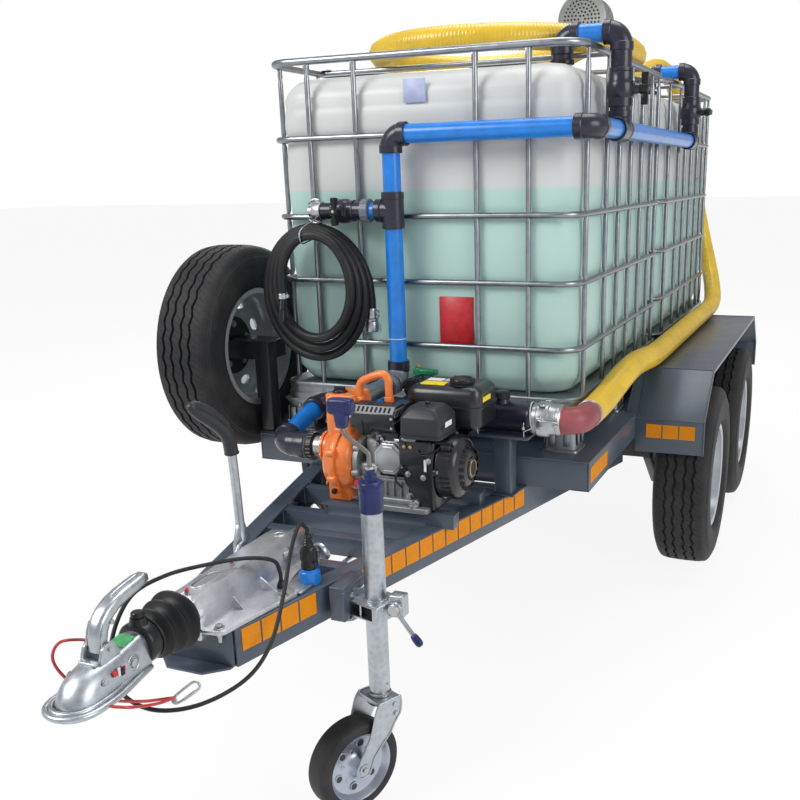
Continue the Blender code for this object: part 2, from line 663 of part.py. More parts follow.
def engine():
    """Crankcase, cylinder with its fins and head, feet and the boxed muffler."""
    case = block(at(ENGINE_LEFT, PUMP_Y - 0.055, PUMP_Z - 0.096), at(0.255, PUMP_Y + 0.105, PUMP_Z + 0.075))
    feet = block(at(0.045, PUMP_Y - 0.095, BED_TOP), at(0.235, PUMP_Y + 0.125, BED_TOP + 0.016))
    cylinder = block(at(0.075, PUMP_Y - 0.070, PUMP_Z - 0.03), at(0.225, PUMP_Y + 0.02, 0.140))
    head = turned([(0.0, 0.0), (0.0, 0.044), (0.045, 0.044), (0.045, 0.0)],
                  at(0.115, PUMP_Y - 0.030, 0.082), Vector((0, -1, 0)), 8, phase=pi / 8)
    shroud = block(at(0.165, PUMP_Y - 0.075, PUMP_Z - 0.085), at(0.250, PUMP_Y + 0.08, 0.128))
    muffler = block(at(0.008, -0.490, 0.145), at(0.152, -0.378, 0.226))
    grip_room = block(at(-0.015, PUMP_Y - 0.02, 0.18), at(0.11, PUMP_Y + 0.06, 0.25))
    stem = block(at(0.085, -0.450, 0.120), at(0.140, -0.405, 0.150))
    body = fuse(case, feet, cylinder, head, shroud, carve(muffler, grip_room), stem)
    bearing = rod(at(ENGINE_LEFT - 0.01, PUMP_Y, PUMP_Z), at(PUMP_X + 0.088, PUMP_Y, PUMP_Z),
                  flats(SHAFT_RADIUS + GAP, 12), 12)
    piece("engine_block", carve(body, bearing), ENGINE_GREY, at(0.12, PUMP_Y, BED_TOP))


def engine_covers():
    recoil_x = 0.255 + GAP
    recoil = turned([(0.0, 0.0), (0.0, 0.088), (0.045, 0.086), (0.074, 0.060), (0.074, 0.0)],
                    at(recoil_x, PUMP_Y, PUMP_Z + 0.006), Vector((1, 0, 0)), 14)
    piece("recoil_starter", recoil, ENGINE_BLACK, at(recoil_x, PUMP_Y, PUMP_Z + 0.006))
    air = block(at(0.160, -0.495, 0.149), at(0.275, -0.375, 0.232))
    neck = block(at(0.172, -0.460, 0.140 + GAP), at(0.235, -0.400, 0.152))
    piece("air_filter", fuse(air, neck), ENGINE_BLACK, at(0.215, -0.43, 0.14), smooth=False)
    tank = block(at(0.108, -0.355, 0.145), at(0.330, -0.195, 0.262))
    leg = block(at(0.120, -0.345, 0.128 + GAP), at(0.240, -0.300, 0.150))
    piece("fuel_tank", fuse(tank, leg), ENGINE_BLACK, at(0.22, -0.28, 0.13), smooth=False)
    cap_base = at(0.262, -0.300, 0.262 + GAP)
    cap = rod(cap_base, cap_base + Vector((0, 0, 0.017)), 0.034, 16)
    piece("fuel_cap", cap, BLACK_PLASTIC, cap_base)


# Pipework

def pipe_run(points, radius):
    """Straight pipes between the corners, each pushed half way into the corner's sockets."""
    runs = []
    places = [at(*point) for point in points]
    for start, end in zip(places, places[1:]):
        push = (end - start).normalized() * SOCKET_LENGTH * 0.57
        first = start if start == places[0] else start + push
        last = end if end == places[-1] else end - push
        runs.append(rod(first, last, radius, 8))
    return runs


def elbow(corner, first, second, reach=SOCKET_LENGTH):
    """A fitting at a corner, with a socket along each way out of it."""
    middle = at(*corner)
    ends = [middle + Vector(first) * SOCKET_LENGTH, middle + Vector(second) * reach]
    return [swept([ends[0], middle, ends[1]], SOCKET_RADIUS, 2)]


def tee(middle, along, *branches):
    """A straight fitting along the pipe, with a socket along each branch."""
    centre, out = at(*middle), Vector(along)
    fitting = [rod(centre - out * SOCKET_LENGTH, centre + out * SOCKET_LENGTH, SOCKET_RADIUS, 8)]
    for way in branches:
        fitting.append(rod(centre, centre + Vector(way) * SOCKET_LENGTH, SOCKET_RADIUS - 0.0006, 8))
    return fitting


def delivery_pipework():
    """Blue pipe and glued grey fittings from the pump to both tanks, with a branch."""
    y, x, z = PIPE_Y, SIDE_X, HEADER_Z
    start = PUMP_Y + 0.095 + GAP
    main = pipe_run([(RISER_X, start, 0.20), (RISER_X, y, 0.20), (RISER_X, y, z), (x, y, z),
                     (x, TOP_VALVES[1] + 0.04, z)], PIPE_RADIUS)
    parts = [rod(at(RISER_X, start, 0.20), at(RISER_X, start + 0.04, 0.20), SOCKET_RADIUS, 8)]
    parts += elbow((RISER_X, y, 0.20), (0, -1, 0), (0, 0, 1))
    parts += elbow((RISER_X, y, z), (0, 0, -1), (1, 0, 0))
    parts += elbow((x, y, z), (-1, 0, 0), (0, 1, 0))
    parts += tee((RISER_X, y, BRANCH_Z), (0, 0, 1), (-1, 0, 0))
    parts.append(rod(at(RISER_X, y, BRANCH_Z), at(-0.300, y, BRANCH_Z), 0.023, 8))
    parts.append(rod(at(-0.245, y, BRANCH_Z), at(-0.175, y, BRANCH_Z), 0.036, 10))
    parts.append(rod(at(-0.210, y, BRANCH_Z), at(-0.210, y - 0.050, BRANCH_Z), 0.012, 8))
    parts.append(rod(at(-0.285, y, BRANCH_Z), at(-0.312, y, BRANCH_Z), 0.029, 10))
    parts.append(rod(at(-0.295, y, BRANCH_Z), at(TAIL_END_X, y, BRANCH_Z), 0.016, 8))
    parts.append(hose_hook())
    for tank_y in TOP_VALVES:
        parts += pipe_run([(x, tank_y, z), (x, tank_y, TOP_Z), (TANK_PIPE_X + 0.02, tank_y, TOP_Z)],
                          PIPE_RADIUS - 0.0003)
        parts += tee((x, tank_y, z), (0, 1, 0), (0, 0, 1))
        parts += elbow((x, tank_y, TOP_Z), (0, 0, -1), (-1, 0, 0))
        parts += elbow((TANK_PIPE_X, tank_y, TOP_Z), (1, 0, 0), (0, 0, -1), TOP_Z - BOTTLE_TOP - GAP)
        parts.append(rod(at(x, tank_y, VALVE_Z - 0.045), at(x, tank_y, VALVE_Z + 0.045), 0.041, 8))
        parts.append(rod(at(x, tank_y, VALVE_Z), at(x + 0.055, tank_y, VALVE_Z), 0.013, 8))
    piece("delivery_pipework", fuse(main[0], *main[1:], *parts), BLUE_PIPE, at(RISER_X, y, 0.20))


def hose_hook():
    """Wire under the branch's collar that holds the hanging hose."""
    line = ((-0.052, 0.690), (-0.082, 0.6778), (-0.115, 0.6705), (-0.1480, 0.6608), (-0.1660, 0.6500),
            (-0.1680, 0.6340),
            (-0.1600, 0.6197), (-0.1480, 0.6152), (-0.0500, 0.6327), (-0.0335, 0.6377), (-0.0285, 0.6550),
            (-0.0360, 0.6900))
    return swept([at(HOOK_X, y, z) for y, z in line], 0.002, 0)


def suction_pipework():
    """Pipe from the suction manifold, behind the engine, to the pump's inlet."""
    end = PUMP_X - VOLUTE_HALF - 0.022 - GAP
    y, z, left = SUCTION_Y, SUCTION_Z, SUCTION_LEFT
    first, second = (left + 0.01, PUMP_Y, INLET_Z), (left, y, z)
    run = pipe_run([(end, PUMP_Y, INLET_Z), first, second, (0.300, y, z)], PIPE_RADIUS)
    rising = (at(*second) - at(*first)).normalized()
    parts = elbow(first, (1, 0, 0), rising) + elbow(second, (1, 0, 0), -rising)
    parts.append(rod(at(end - 0.060, PUMP_Y, INLET_Z), at(end - 0.028, PUMP_Y, INLET_Z), 0.040, 12))
    parts.append(rod(at(0.250, y, z), at(0.418, y, z), 0.044, 12))
    parts.append(rod(at(0.322, y, z), at(0.322, y, z + 0.072), 0.018, 8))
    parts += tee((0.020, y, z), (1, 0, 0))
    parts.append(rod(at(OUTLET_X, y, z), at(OUTLET_X, -0.070, OUTLET_Z), 0.021, 8))
    parts.append(rod(at(OUTLET_X, -0.075, OUTLET_Z), at(OUTLET_X, BOTTLE_INSET - GAP, OUTLET_Z), 0.0215, 10))
    parts.append(block(at(OUTLET_X - 0.027, -0.088, OUTLET_Z - 0.026),
                       at(OUTLET_X + 0.027, -0.018, OUTLET_Z + 0.026)))
    parts.append(rod(at(OUTLET_X, OUTLET_Y, OUTLET_Z), at(OUTLET_X, OUTLET_Y, OUTLET_Z + 0.032), 0.010, 8))
    shelf = block(at(0.235, y - 0.050, z - 0.054), at(0.414, y + 0.050, z - 0.046))
    saddle = block(at(0.270, y - 0.012, z - 0.050), at(0.390, y + 0.012, z - 0.035))
    post = block(at(0.305, y - 0.025, BEAM_TOP + GAP), at(0.355, y + 0.025, z - 0.048))
    piece("suction_pipework", fuse(run[0], *run[1:], *parts, shelf, saddle, post), GREY_PVC, at(0, y, z))


def tank_valve_handle():
    base = at(OUTLET_X, OUTLET_Y, OUTLET_Z + 0.032 + GAP)
    hub = rod(base, base + Vector((0, 0, 0.022)), 0.013, 10)
    lever = block(base + Vector((-0.016, -0.011, 0.004)), base + Vector((0.062, 0.011, 0.018)))
    piece("tank_valve_handle", fuse(hub, lever), GREEN, base)


def top_valve_handle(name, tank_y, turned_by):
    base = at(SIDE_X + 0.055 + GAP, tank_y, VALVE_Z)
    hub = rod(base, base + Vector((0.026, 0, 0)), 0.016, 10)
    wings = block(Vector((0.004, -0.009, -0.044)), Vector((0.024, 0.009, 0.044)))
    wings.data.transform(Matrix.Translation(base) @ Matrix.Rotation(turned_by, 4, "X"))
    piece(name, fuse(hub, wings), BLACK_PLASTIC, base)


def branch_valve_handle():
    base = at(-0.210, PIPE_Y - 0.050 - GAP, BRANCH_Z)
    hub = rod(base, base + Vector((0, -0.024, 0)), 0.014, 10)
    wings = block(base + Vector((-0.008, -0.022, -0.040)), base + Vector((0.008, -0.005, 0.040)))
    piece("branch_valve_handle", fuse(hub, wings), BLACK_PLASTIC, base)


CAMLOCK_X = 0.418 + GAP
HOSE_X = 0.548
HOSE_START = -0.045


def suction_camlock():
    """Steel cam coupling, and the elbow that takes the suction hose."""
    y, z = SUCTION_Y, SUCTION_Z
    body = rod(at(CAMLOCK_X, y, z), at(0.470, y, z), 0.050, 14)
    neck = rod(at(0.465, y, z), at(0.500, y, z), 0.043, 12)
    bend = [at(0.495, y, z), at(HOSE_X, y, z), at(HOSE_X, HOSE_START, z)]
    elbow = swept(bend, 0.039, 2)
    levers = [block(at(0.432, y + side * 0.054 - 0.010, z - 0.010),
                    at(0.498, y + side * 0.054 + 0.006, z + 0.012))
              for side in (-1, 1)]
    piece("suction_camlock", fuse(body, neck, elbow, *levers), GALVANISED, at(CAMLOCK_X, y, z))


# Hoses: the routes' points are chosen by hand

COIL_CENTRE = (0.030, 0.620)
COIL_HALF_WIDTH = 0.422
COIL_HALF_LENGTH = 0.460
COIL_X = COIL_CENTRE[0] + COIL_HALF_WIDTH
COIL_JOIN = 0.700           # the free hose meets the coil here
COIL_PITCH = 0.113          # drawn in per loop
LOOP_POINTS = 24
COIL_STEPS = 20             # points taken of the last loop
COIL_Z = CAGE_TOP + SUCTION_HOSE / 2 + 0.0024
STRAINER_X = 0.350
STRAINER_Z = 1.262
STRAINER_END = 0.680

SUCTION_ROUTE = (
    (HOSE_X, HOSE_START + GAP, SUCTION_Z), (HOSE_X, 0.040, SUCTION_Z), (0.552, 0.150, 0.152),
    (0.560, 0.300, 0.178),
    (0.566, 0.450, 0.190), (0.571, 0.600, 0.183), (0.574, 0.740, 0.1725), (0.576, 0.900, 0.1713),
    (0.576, 1.150, 0.1713), (0.577, 1.400, 0.1713), (0.578, 1.650, 0.1713), (0.579, 1.900, 0.1713),
    (0.580, 2.100, 0.1740), (0.574, 2.240, 0.190), (0.552, 2.370, 0.245), (0.515, 2.475, 0.340),
    (0.470, 2.545, 0.470), (0.425, 2.575, 0.640), (0.385, 2.580, 0.830), (0.350, 2.570, 1.000),
    (0.320, 2.510, 1.150), (0.292, 2.400, 1.245), (0.268, 2.250, 1.275), (0.248, 2.080, 1.250),
    (0.235, 1.900, 1.208), (0.230, 1.720, 1.1885), (0.243, 1.540, COIL_Z), (0.280, 1.370, COIL_Z),
    (0.337, 1.210, COIL_Z), (0.397, 1.060, COIL_Z), (0.438, 0.920, COIL_Z), (COIL_X, 0.800, COIL_Z),
    (COIL_X, COIL_JOIN + GAP, COIL_Z))


def suction_hose():
    route = [at(*point) for point in SUCTION_ROUTE]
    hose = tube("suction_hose", route, SUCTION_HOSE, 2)
    piece("suction_hose", hose, YELLOW)


def coil_route():
    """The suction hose's flat loop on the front tank, drawing in and rising to the strainer."""
    x, y = COIL_CENTRE
    route = [at(COIL_X, COIL_JOIN, COIL_Z)]
    for step in range(COIL_STEPS + 1):
        turn = step / LOOP_POINTS
        drawn = COIL_PITCH * turn
        angle = -2 * pi * turn
        rise = max(0.0, turn - 0.62) ** 2 * 0.55
        route.append(at(x + (COIL_HALF_WIDTH - drawn) * cos(angle),
                        y + (COIL_HALF_LENGTH - drawn) * sin(angle),
                        COIL_Z + rise))
    route += [at(0.283, 0.862, COIL_Z + 0.044), at(0.324, 0.818, STRAINER_Z - 0.014),
              at(STRAINER_X, STRAINER_END + 0.085, STRAINER_Z), at(STRAINER_X, STRAINER_END, STRAINER_Z)]
    return route


def least_gap(route, diameter, skip):
    """Smallest distance between a tube's surfaces, apart from near neighbours along it."""
    least = 1e9
    for index, point in enumerate(route):
        for other in route[index + skip:]:
            least = min(least, (point - other).length)
    return least - diameter


def suction_coil():
    route = coil_route()
    hose = tube("suction_hose_coil", route, SUCTION_HOSE, 1)
    print("suction coil: least gap to itself, mm:",
          round(1000 * least_gap(route, SUCTION_HOSE, LOOP_POINTS // 3), 1))
    piece("suction_hose_coil", hose, YELLOW)


def strainer():
    """Perforated basket on the suction hose's far end."""
    end = coil_route()[-1] + Vector((0, -GAP, 0))
    neck = rod(end, end + Vector((0, -0.030, 0)), 0.046, 12)
    centre = end + Vector((0, -0.026, 0))
    basket = turned([(0.0, 0.0), (0.0, 0.062), (0.012, 0.078), (0.115, 0.078), (0.130, 0.062), (0.130, 0.0)],
                    centre, Vector((0, -1, 0)), 14)
    piece("strainer", fuse(basket, neck), ENGINE_GREY, centre)


# The delivery hose hangs in oval loops, each a little wider and further back than the last
HANGING_TURNS = 3.5
LOOP_X, LOOP_X_STEP = -0.266, -0.0165
LOOP_WIDTH, LOOP_WIDTH_STEP = 0.110, 0.022
LOOP_Z, LOOP_Z_STEP = 0.5005, -0.0150
LOOP_HEIGHT, LOOP_HEIGHT_STEP = 0.1385, 0.0205
LOOP_Y, LOOP_Y_STEP = -0.156, 0.0330


def delivery_route():
    """From the nozzle, down at the left, over the top and round to the coupler at the right."""
    route = []
    steps = int(LOOP_POINTS * HANGING_TURNS)
    for step in range(steps + 1):
        turn = step / LOOP_POINTS
        angle = pi - 2 * pi * turn
        route.append(at(LOOP_X + LOOP_X_STEP * turn + (LOOP_WIDTH + LOOP_WIDTH_STEP * turn) * cos(angle),
                        LOOP_Y + LOOP_Y_STEP * turn,
                        LOOP_Z + LOOP_Z_STEP * turn + (LOOP_HEIGHT + LOOP_HEIGHT_STEP * turn) * sin(angle)))
    straight = Vector((0, 0, -DELIVERY_HOSE - 0.002))
    return [route[0] + straight] + route + [route[-1] + straight]


def delivery_hose():
    route = delivery_route()
    print("delivery hose: least gap to itself, mm:",
          round(1000 * least_gap(route, DELIVERY_HOSE, LOOP_POINTS // 3), 1))
    piece("delivery_hose", tube("delivery_hose", route, DELIVERY_HOSE, 1), RUBBER)
    start = route[-1] + Vector((0, 0, -GAP))
    shank = rod(start, start + Vector((0, 0, -0.034)), 0.0165, 10)
    cup = rod(start + Vector((0, 0, -0.030)), start + Vector((0, 0, -0.072)), 0.0200, 10)
    ears = block(start + Vector((-0.030, -0.006, -0.062)), start + Vector((0.030, 0.006, -0.046)))
    piece("delivery_hose_coupler", fuse(shank, cup, ears), GALVANISED, start)
    tip = route[0] + Vector((0, 0, -GAP))
    clamp = rod(tip, tip + Vector((0, 0, -0.016)), 0.0160, 8)
    cone = rod(tip + Vector((0, 0, -0.012)), tip + Vector((-0.006, -0.006, -0.088)), 0.0125, 8, 0.0145)
    piece("spray_nozzle", fuse(clamp, cone), BLACK_PLASTIC, tip)


# Coupling, overrun and handbrake

PIN_RADIUS = 0.008
LEVER_PIVOT = (-0.070, -0.887, -0.048)


def overrun_housing():
    """Cast housing bolted to the drawbar, bored for the draw tube."""
    flange = [(-0.055, -1.208), (0.055, -1.208), (0.095, -1.196), (0.136, -0.985), (0.090, -0.950),
              (0.058, -0.800),
              (-0.058, -0.800), (-0.090, -0.950), (-0.136, -0.985), (-0.095, -1.196)]
    low = BEAM_TOP + GAP
    base = flat_plate(flange, low, low + 0.008)
    body_outline = [(-1.205, -0.112), (-1.205, -0.028), (-1.190, -0.018), (-0.830, -0.008), (-0.800, -0.030),
                    (-0.800, -0.112)]
    body = side_plate(body_outline, -0.046, 0.046)
    x, y, z = LEVER_PIVOT
    pin = rod(at(-0.044, y, z), at(x - 0.014, y, z), PIN_RADIUS, 12)
    gland_x, gland_y, gland_z = CABLE_ROUTE[-1]
    gland = rod(at(gland_x, gland_y, low + 0.004), at(gland_x, gland_y, gland_z - GAP), 0.008, 10)
    bracket = block(at(0.080, -0.975, low), at(0.140, SOCKET_Y + 0.02, low + 0.007))
    socket = rod(at(SOCKET_X, SOCKET_Y, low), at(SOCKET_X, SOCKET_Y, low + SOCKET_HEIGHT), 0.0215, 12)
    solid = fuse(base, body, pin, gland, bracket, socket)
    bore = rod(at(0, -1.25, DRAW_TUBE_Z), at(0, -0.76, DRAW_TUBE_Z),
               flats(DRAW_TUBE_RADIUS + DRAW_CLEARANCE, 14), 14)
    piece("overrun_housing", carve(solid, bore), GALVANISED, at(0, -1.0, BEAM_TOP))


def coupling_head():
    """Draw tube and cast head with its ball cup, sliding as one."""
    tube_rod = rod(at(0, -1.36, DRAW_TUBE_Z), at(0, -0.722, DRAW_TUBE_Z), flats(DRAW_TUBE_RADIUS, 14), 14)
    neck = block(at(-0.034, -1.435, DRAW_TUBE_Z - 0.034), at(0.034, -1.345, DRAW_TUBE_Z + 0.030))
    collar = rod(at(0, -1.350, DRAW_TUBE_Z), at(0, BELLOWS_FRONT - GAP, DRAW_TUBE_Z), 0.044, 14)
    head_outline = [(0.026, -1.350), (0.042, -1.460), (0.042, -1.505), (0.026, -1.540),
                    (-0.026, -1.540), (-0.042, -1.505), (-0.042, -1.460), (-0.026, -1.350)]
    low = DRAW_TUBE_Z - 0.046
    dome = flat_plate(head_outline, low, DRAW_TUBE_Z + 0.016)
    rim_outline = [(0.032, -1.350), (0.054, -1.465), (0.053, -1.515), (0.032, COUPLING_NOSE_Y + 0.010),
                   (0.0, COUPLING_NOSE_Y), (-0.032, COUPLING_NOSE_Y + 0.010), (-0.053, -1.515),
                   (-0.054, -1.465), (-0.032, -1.350)]
    rim = flat_plate(rim_outline, low, low + 0.012)
    crown = rod(at(0, COUPLING_BALL_Y, low + 0.01), at(0, COUPLING_BALL_Y, DRAW_TUBE_Z + 0.022),
                0.040, 12, 0.026)
    ears = [block(at(side * 0.021 - 0.004, -1.462, DRAW_TUBE_Z),
                  at(side * 0.021 + 0.004, -1.415, DRAW_TUBE_Z + 0.052))
            for side in (-1, 1)]
    pin = rod(at(-0.028, HANDLE_PIVOT[1], HANDLE_PIVOT[2]), at(0.028, HANDLE_PIVOT[1], HANDLE_PIVOT[2]),
              0.005, 10)
    solid = fuse(tube_rod, neck, collar, dome, rim, crown, *ears, pin)
    cup = rod(at(0, COUPLING_BALL_Y, low - 0.01), at(0, COUPLING_BALL_Y, low + 0.042),
              BALL_RADIUS + BALL_CLEARANCE, 14)
    socket = rod(at(0, COUPLING_BALL_Y, low + 0.041), at(0, COUPLING_BALL_Y, low + 0.052),
                 BALL_RADIUS, 14, 0.014)
    piece("coupling_head", carve(solid, cup, socket), GALVANISED, at(0, COUPLING_BALL_Y, low))


HANDLE_PIVOT = (0.0, -1.440, -0.014)
BELLOWS_FRONT = -1.318


def coupling_handle():
    """Pressed lever that opens the ball cup, hinged on a pin through two ears."""
    x, y, z = HANDLE_PIVOT
    outline = [(y - 0.014, z - 0.008), (y + 0.014, z - 0.008), (y + 0.020, z + 0.030), (-1.375, 0.052),
               (-1.305, 0.060), (-1.296, 0.068), (-1.308, 0.082), (-1.390, 0.074), (y - 0.012, z + 0.040)]
    lever = side_plate(outline, -0.0165, 0.0165)
    hole = rod(at(-0.05, y, z), at(0.05, y, z), 0.005 + GAP, 10)
    grip = rod(at(0, -1.385, 0.060), at(0, -1.302, 0.070), 0.019, 12)
    piece("coupling_handle", carve(fuse(lever, grip), hole), GALVANISED, at(x, y, z))


def bellows():
    """Ribbed rubber boot over the draw tube, wider towards the housing."""
    folds = 3
    start, end = BELLOWS_FRONT, -1.212
    step = (end - start) / (2 * folds)
    bore = DRAW_TUBE_RADIUS + 0.0022
    profile = [(start, bore)]
    for index in range(2 * folds + 1):
        widen = 0.052 + 0.014 * index / (2 * folds)
        profile.append((start + index * step, widen if index % 2 else widen - 0.016))
    profile.append((end, bore))
    made = turned(profile, at(0, 0, DRAW_TUBE_Z), Vector((0, 1, 0)), 14, ring=True)
    piece("bellows", made, RUBBER, at(0, end, DRAW_TUBE_Z))


def handbrake():
    """Hand lever beside the housing, with its grip, and the rod that it pulls."""
    x, y, z = LEVER_PIVOT
    blade = side_plate([(y - 0.026, z - 0.020), (y + 0.026, z - 0.020), (y + 0.030, z + 0.030),
                        (y + 0.012, z + 0.070),
                        (y - 0.012, z + 0.070), (y - 0.030, z + 0.030)], x - 0.005, x + 0.005)
    route = [at(x, y, z + 0.040), at(x, y - 0.004, 0.120), at(x, y - 0.010, 0.215), at(x, y - 0.030, 0.262),
             at(x, y - 0.070, 0.298), at(x, y - 0.143, 0.340)]
    shaft = swept(route[:4], 0.0105, 1)
    grip = swept(route[2:], 0.0155, 1)
    hole = rod(at(x - 0.05, y, z), at(x + 0.05, y, z), PIN_RADIUS + GAP, 12)
    piece("handbrake_lever", carve(fuse(shaft, grip, blade), hole), GALVANISED, at(x, y, z))


ROD_X = 0.062
ROD_RADIUS = 0.006


def brake_rod():
    """Rod under the cross members, from a fork beside the housing back to the brakes."""
    z = BEAM_TOP - 0.055 - GAP - ROD_RADIUS
    bar = rod(at(ROD_X, -0.870, z), at(ROD_X, 0.300, z), ROD_RADIUS, 8)
    fork = block(at(0.046 + GAP, -0.890, z - 0.008), at(ROD_X + 0.010, -0.850, -0.100))
    piece("brake_rod", fuse(bar, fork), GALVANISED, at(ROD_X, -0.870, z))


# Jockey wheel

def jockey_bracket():
    """Bracket plate on the right beam, with the clamp that holds the jockey tube."""
    y, x = JOCKEY_Y, JOCKEY_X
    edge = beam_edge(y)
    top, low = BEAM_TOP - 0.002, BEAM_TOP - BEAM_HEIGHT + 0.002
    outline = [(edge + GAP - BEAM_SLOPE * 0.06, y - 0.06), (edge + GAP + BEAM_SLOPE * 0.06, y + 0.06),
               (x - 0.02, y + 0.035), (x - 0.02, y - 0.035)]
    plate = flat_plate(outline, low + 0.012, top - 0.006)
    collar = rod(at(x, y, low + 0.004), at(x, y, top + 0.004), JOCKEY_TUBE + 0.012, 12)
    lug = block(at(x + 0.030, y - 0.016, low + 0.014), at(x + 0.078, y + 0.016, top - 0.010))
    bore = rod(at(x, y, low - 0.02), at(x, y, top + 0.02), flats(JOCKEY_TUBE + GAP, 12), 12)
    piece("jockey_bracket", carve(fuse(plate, collar, lug), bore), GALVANISED, at(x, y, low))


def jockey_clamp_lever():
    x, y = JOCKEY_X + 0.061, JOCKEY_Y - 0.016 - GAP
    z = BEAM_TOP - BEAM_HEIGHT / 2 + 0.006
    base = at(x, y, z)
    hub = rod(base, base + Vector((0, -0.022, 0)), 0.014, 10)
    arm = rod(base + Vector((0, -0.014, 0)), base + Vector((0.062, -0.030, -0.058)), 0.0055, 8)
    tip = rod(base + Vector((0.052, -0.0275, -0.0485)), base + Vector((0.074, -0.033, -0.069)), 0.009, 8)
    piece("jockey_clamp_lever", fuse(hub, arm, tip), GALVANISED, base)


def jockey_outer_tube():
    x, y = JOCKEY_X, JOCKEY_Y
    outer = rod(at(x, y, JOCKEY_TUBE_END), at(x, y, JOCKEY_TOP), flats(JOCKEY_TUBE, 12), 12)
    cap = rod(at(x, y, JOCKEY_TOP - 0.060), at(x, y, JOCKEY_TOP + 0.012), JOCKEY_TUBE + 0.004, 12)
    neck = rod(at(x, y, JOCKEY_TOP + 0.010), at(x, y, JOCKEY_TOP + 0.038), 0.017, 10)
    bore = rod(at(x, y, JOCKEY_TUBE_END - 0.01), at(x, y, JOCKEY_TOP - 0.020),
               flats(JOCKEY_INNER + 0.0005, 12), 12)
    bearing = rod(at(x, y, JOCKEY_TOP - 0.05), at(x, y, JOCKEY_TOP + 0.06), flats(0.0075 + GAP, 10), 10)
    piece("jockey_outer_tube", carve(fuse(outer, cap, neck), bore, bearing), GALVANISED, at(x, y, JOCKEY_TOP))


def jockey_crank():
    """Bent crank handle on the lifting screw inside the tube."""
    x, y = JOCKEY_X, JOCKEY_Y
    top = JOCKEY_TOP + 0.038 + GAP
    shoulder = rod(at(x, y, top), at(x, y, top + 0.006), 0.0105, 10)
    screw = rod(at(x, y, JOCKEY_TOP - 0.34), at(x, y, top + 0.004), 0.0075, 10)
    bend = [at(x, y, top + 0.002), at(x, y, top + 0.026), at(x - 0.010, y - 0.001, top + 0.040),
            at(x - 0.050, y - 0.004, top + 0.070), at(x - 0.060, y - 0.004, top + 0.084),
            at(x - 0.061, y - 0.004, top + 0.102)]
    arm = swept(bend, 0.006, 1)
    low = at(x - 0.061, y - 0.004, top + 0.090)
    knob = block(low + Vector((-0.016, -0.012, 0)), low + Vector((0.016, 0.012, 0.036)))
    grip = block(low + Vector((-0.030, -0.014, 0.028)), low + Vector((0.030, 0.014, 0.066)))
    piece("jockey_crank", fuse(screw, shoulder, arm, knob, grip), JOCKEY_BLUE, at(x, y, top))


FORK_PIVOT_Z = JOCKEY_TUBE_END - 0.012


def jockey_inner_tube():
    x, y = JOCKEY_X, JOCKEY_Y
    inner = rod(at(x, y, JOCKEY_TUBE_END - 0.008), at(x, y, -0.060), flats(JOCKEY_INNER, 12), 12)
    shoe = rod(at(x, y, FORK_PIVOT_Z), at(x, y, JOCKEY_TUBE_END - 0.004), JOCKEY_INNER + 0.003, 12)
    pivot = rod(at(x, y, FORK_PIVOT_Z - 0.022), at(x, y, FORK_PIVOT_Z + 0.002), 0.010, 10)
    bore = rod(at(x, y, JOCKEY_TUBE_END + 0.05), at(x, y, -0.03), 0.0075 + 0.002, 10)
    piece("jockey_inner_tube", carve(fuse(inner, shoe, pivot), bore), GALVANISED, at(x, y, FORK_PIVOT_Z))


def heading():
    return Vector((cos(JOCKEY_HEADING), sin(JOCKEY_HEADING), 0))


def jockey_wheel_centre():
    return at(JOCKEY_X, JOCKEY_Y, GROUND + JOCKEY_WHEEL_RADIUS) + heading() * JOCKEY_TRAIL


def jockey_fork():
    """Fork that swivels under the inner tube and carries the wheel's axle."""
    x, y = JOCKEY_X, JOCKEY_Y
    top = at(x, y, FORK_PIVOT_Z - GAP)
    ahead = heading()
    across = Vector((-ahead.y, ahead.x, 0))
    frame = Matrix.Translation(top) @ Matrix((
        (ahead.x, across.x, 0, 0), (ahead.y, across.y, 0, 0), (0, 0, 1, 0), (0, 0, 0, 1)))
    half = JOCKEY_WHEEL_WIDTH / 2 + 0.004
    drop = top.z - JOCKEY_WHEEL_RADIUS
    crown = block(Vector((-0.026, -half - 0.005, -0.012)), Vector((0.034, half + 0.005, 0)))
    parts = []
    for side in (-1, 1):
        axes = Matrix(((1, 0, 0, 0), (0, 0, 1, 0), (0, 1, 0, 0), (0, 0, 0, 1)))
        low = min(side * half, side * (half + 0.005))
        outline = [(-0.026, 0), (0.034, 0), (JOCKEY_TRAIL + 0.020, -drop + 0.012),
                   (JOCKEY_TRAIL + 0.014, -drop - 0.014),
                   (JOCKEY_TRAIL - 0.014, -drop - 0.014)]
        parts.append(prism(outline, 0.005, Matrix.Translation((0, low, 0)) @ axes))
    parts.append(rod(Vector((JOCKEY_TRAIL, -half - 0.010, -drop)),
                     Vector((JOCKEY_TRAIL, half + 0.010, -drop)), 0.006, 12))
    solid = fuse(crown, *parts)
    hole = rod(Vector((0, 0, -0.03)), Vector((0, 0, 0.02)), flats(0.010 + GAP, 10), 10)
    solid = carve(solid, hole)
    solid.data.transform(frame)
    piece("jockey_fork", solid, GALVANISED, top)


def jockey_wheel():
    ahead = heading()
    across = Vector((-ahead.y, ahead.x, 0))
    half = JOCKEY_WHEEL_WIDTH / 2
    r = flats(JOCKEY_WHEEL_RADIUS, 12)
    bore = flats(0.006 + GAP, 12)
    profile = [(-half - 0.003, bore), (-half - 0.003, 0.018), (-0.012, 0.066),
               (-half, 0.078), (-half, r - 0.014), (-half + 0.014, r), (half - 0.014, r), (half, r - 0.014),
               (half, 0.078), (0.012, 0.066), (half + 0.003, 0.018), (half + 0.003, bore)]
    made = turned(profile, jockey_wheel_centre(), across, 12, ring=True, phase=pi / 12)
    piece("jockey_wheel", made, RUBBER, jockey_wheel_centre())


# Cables

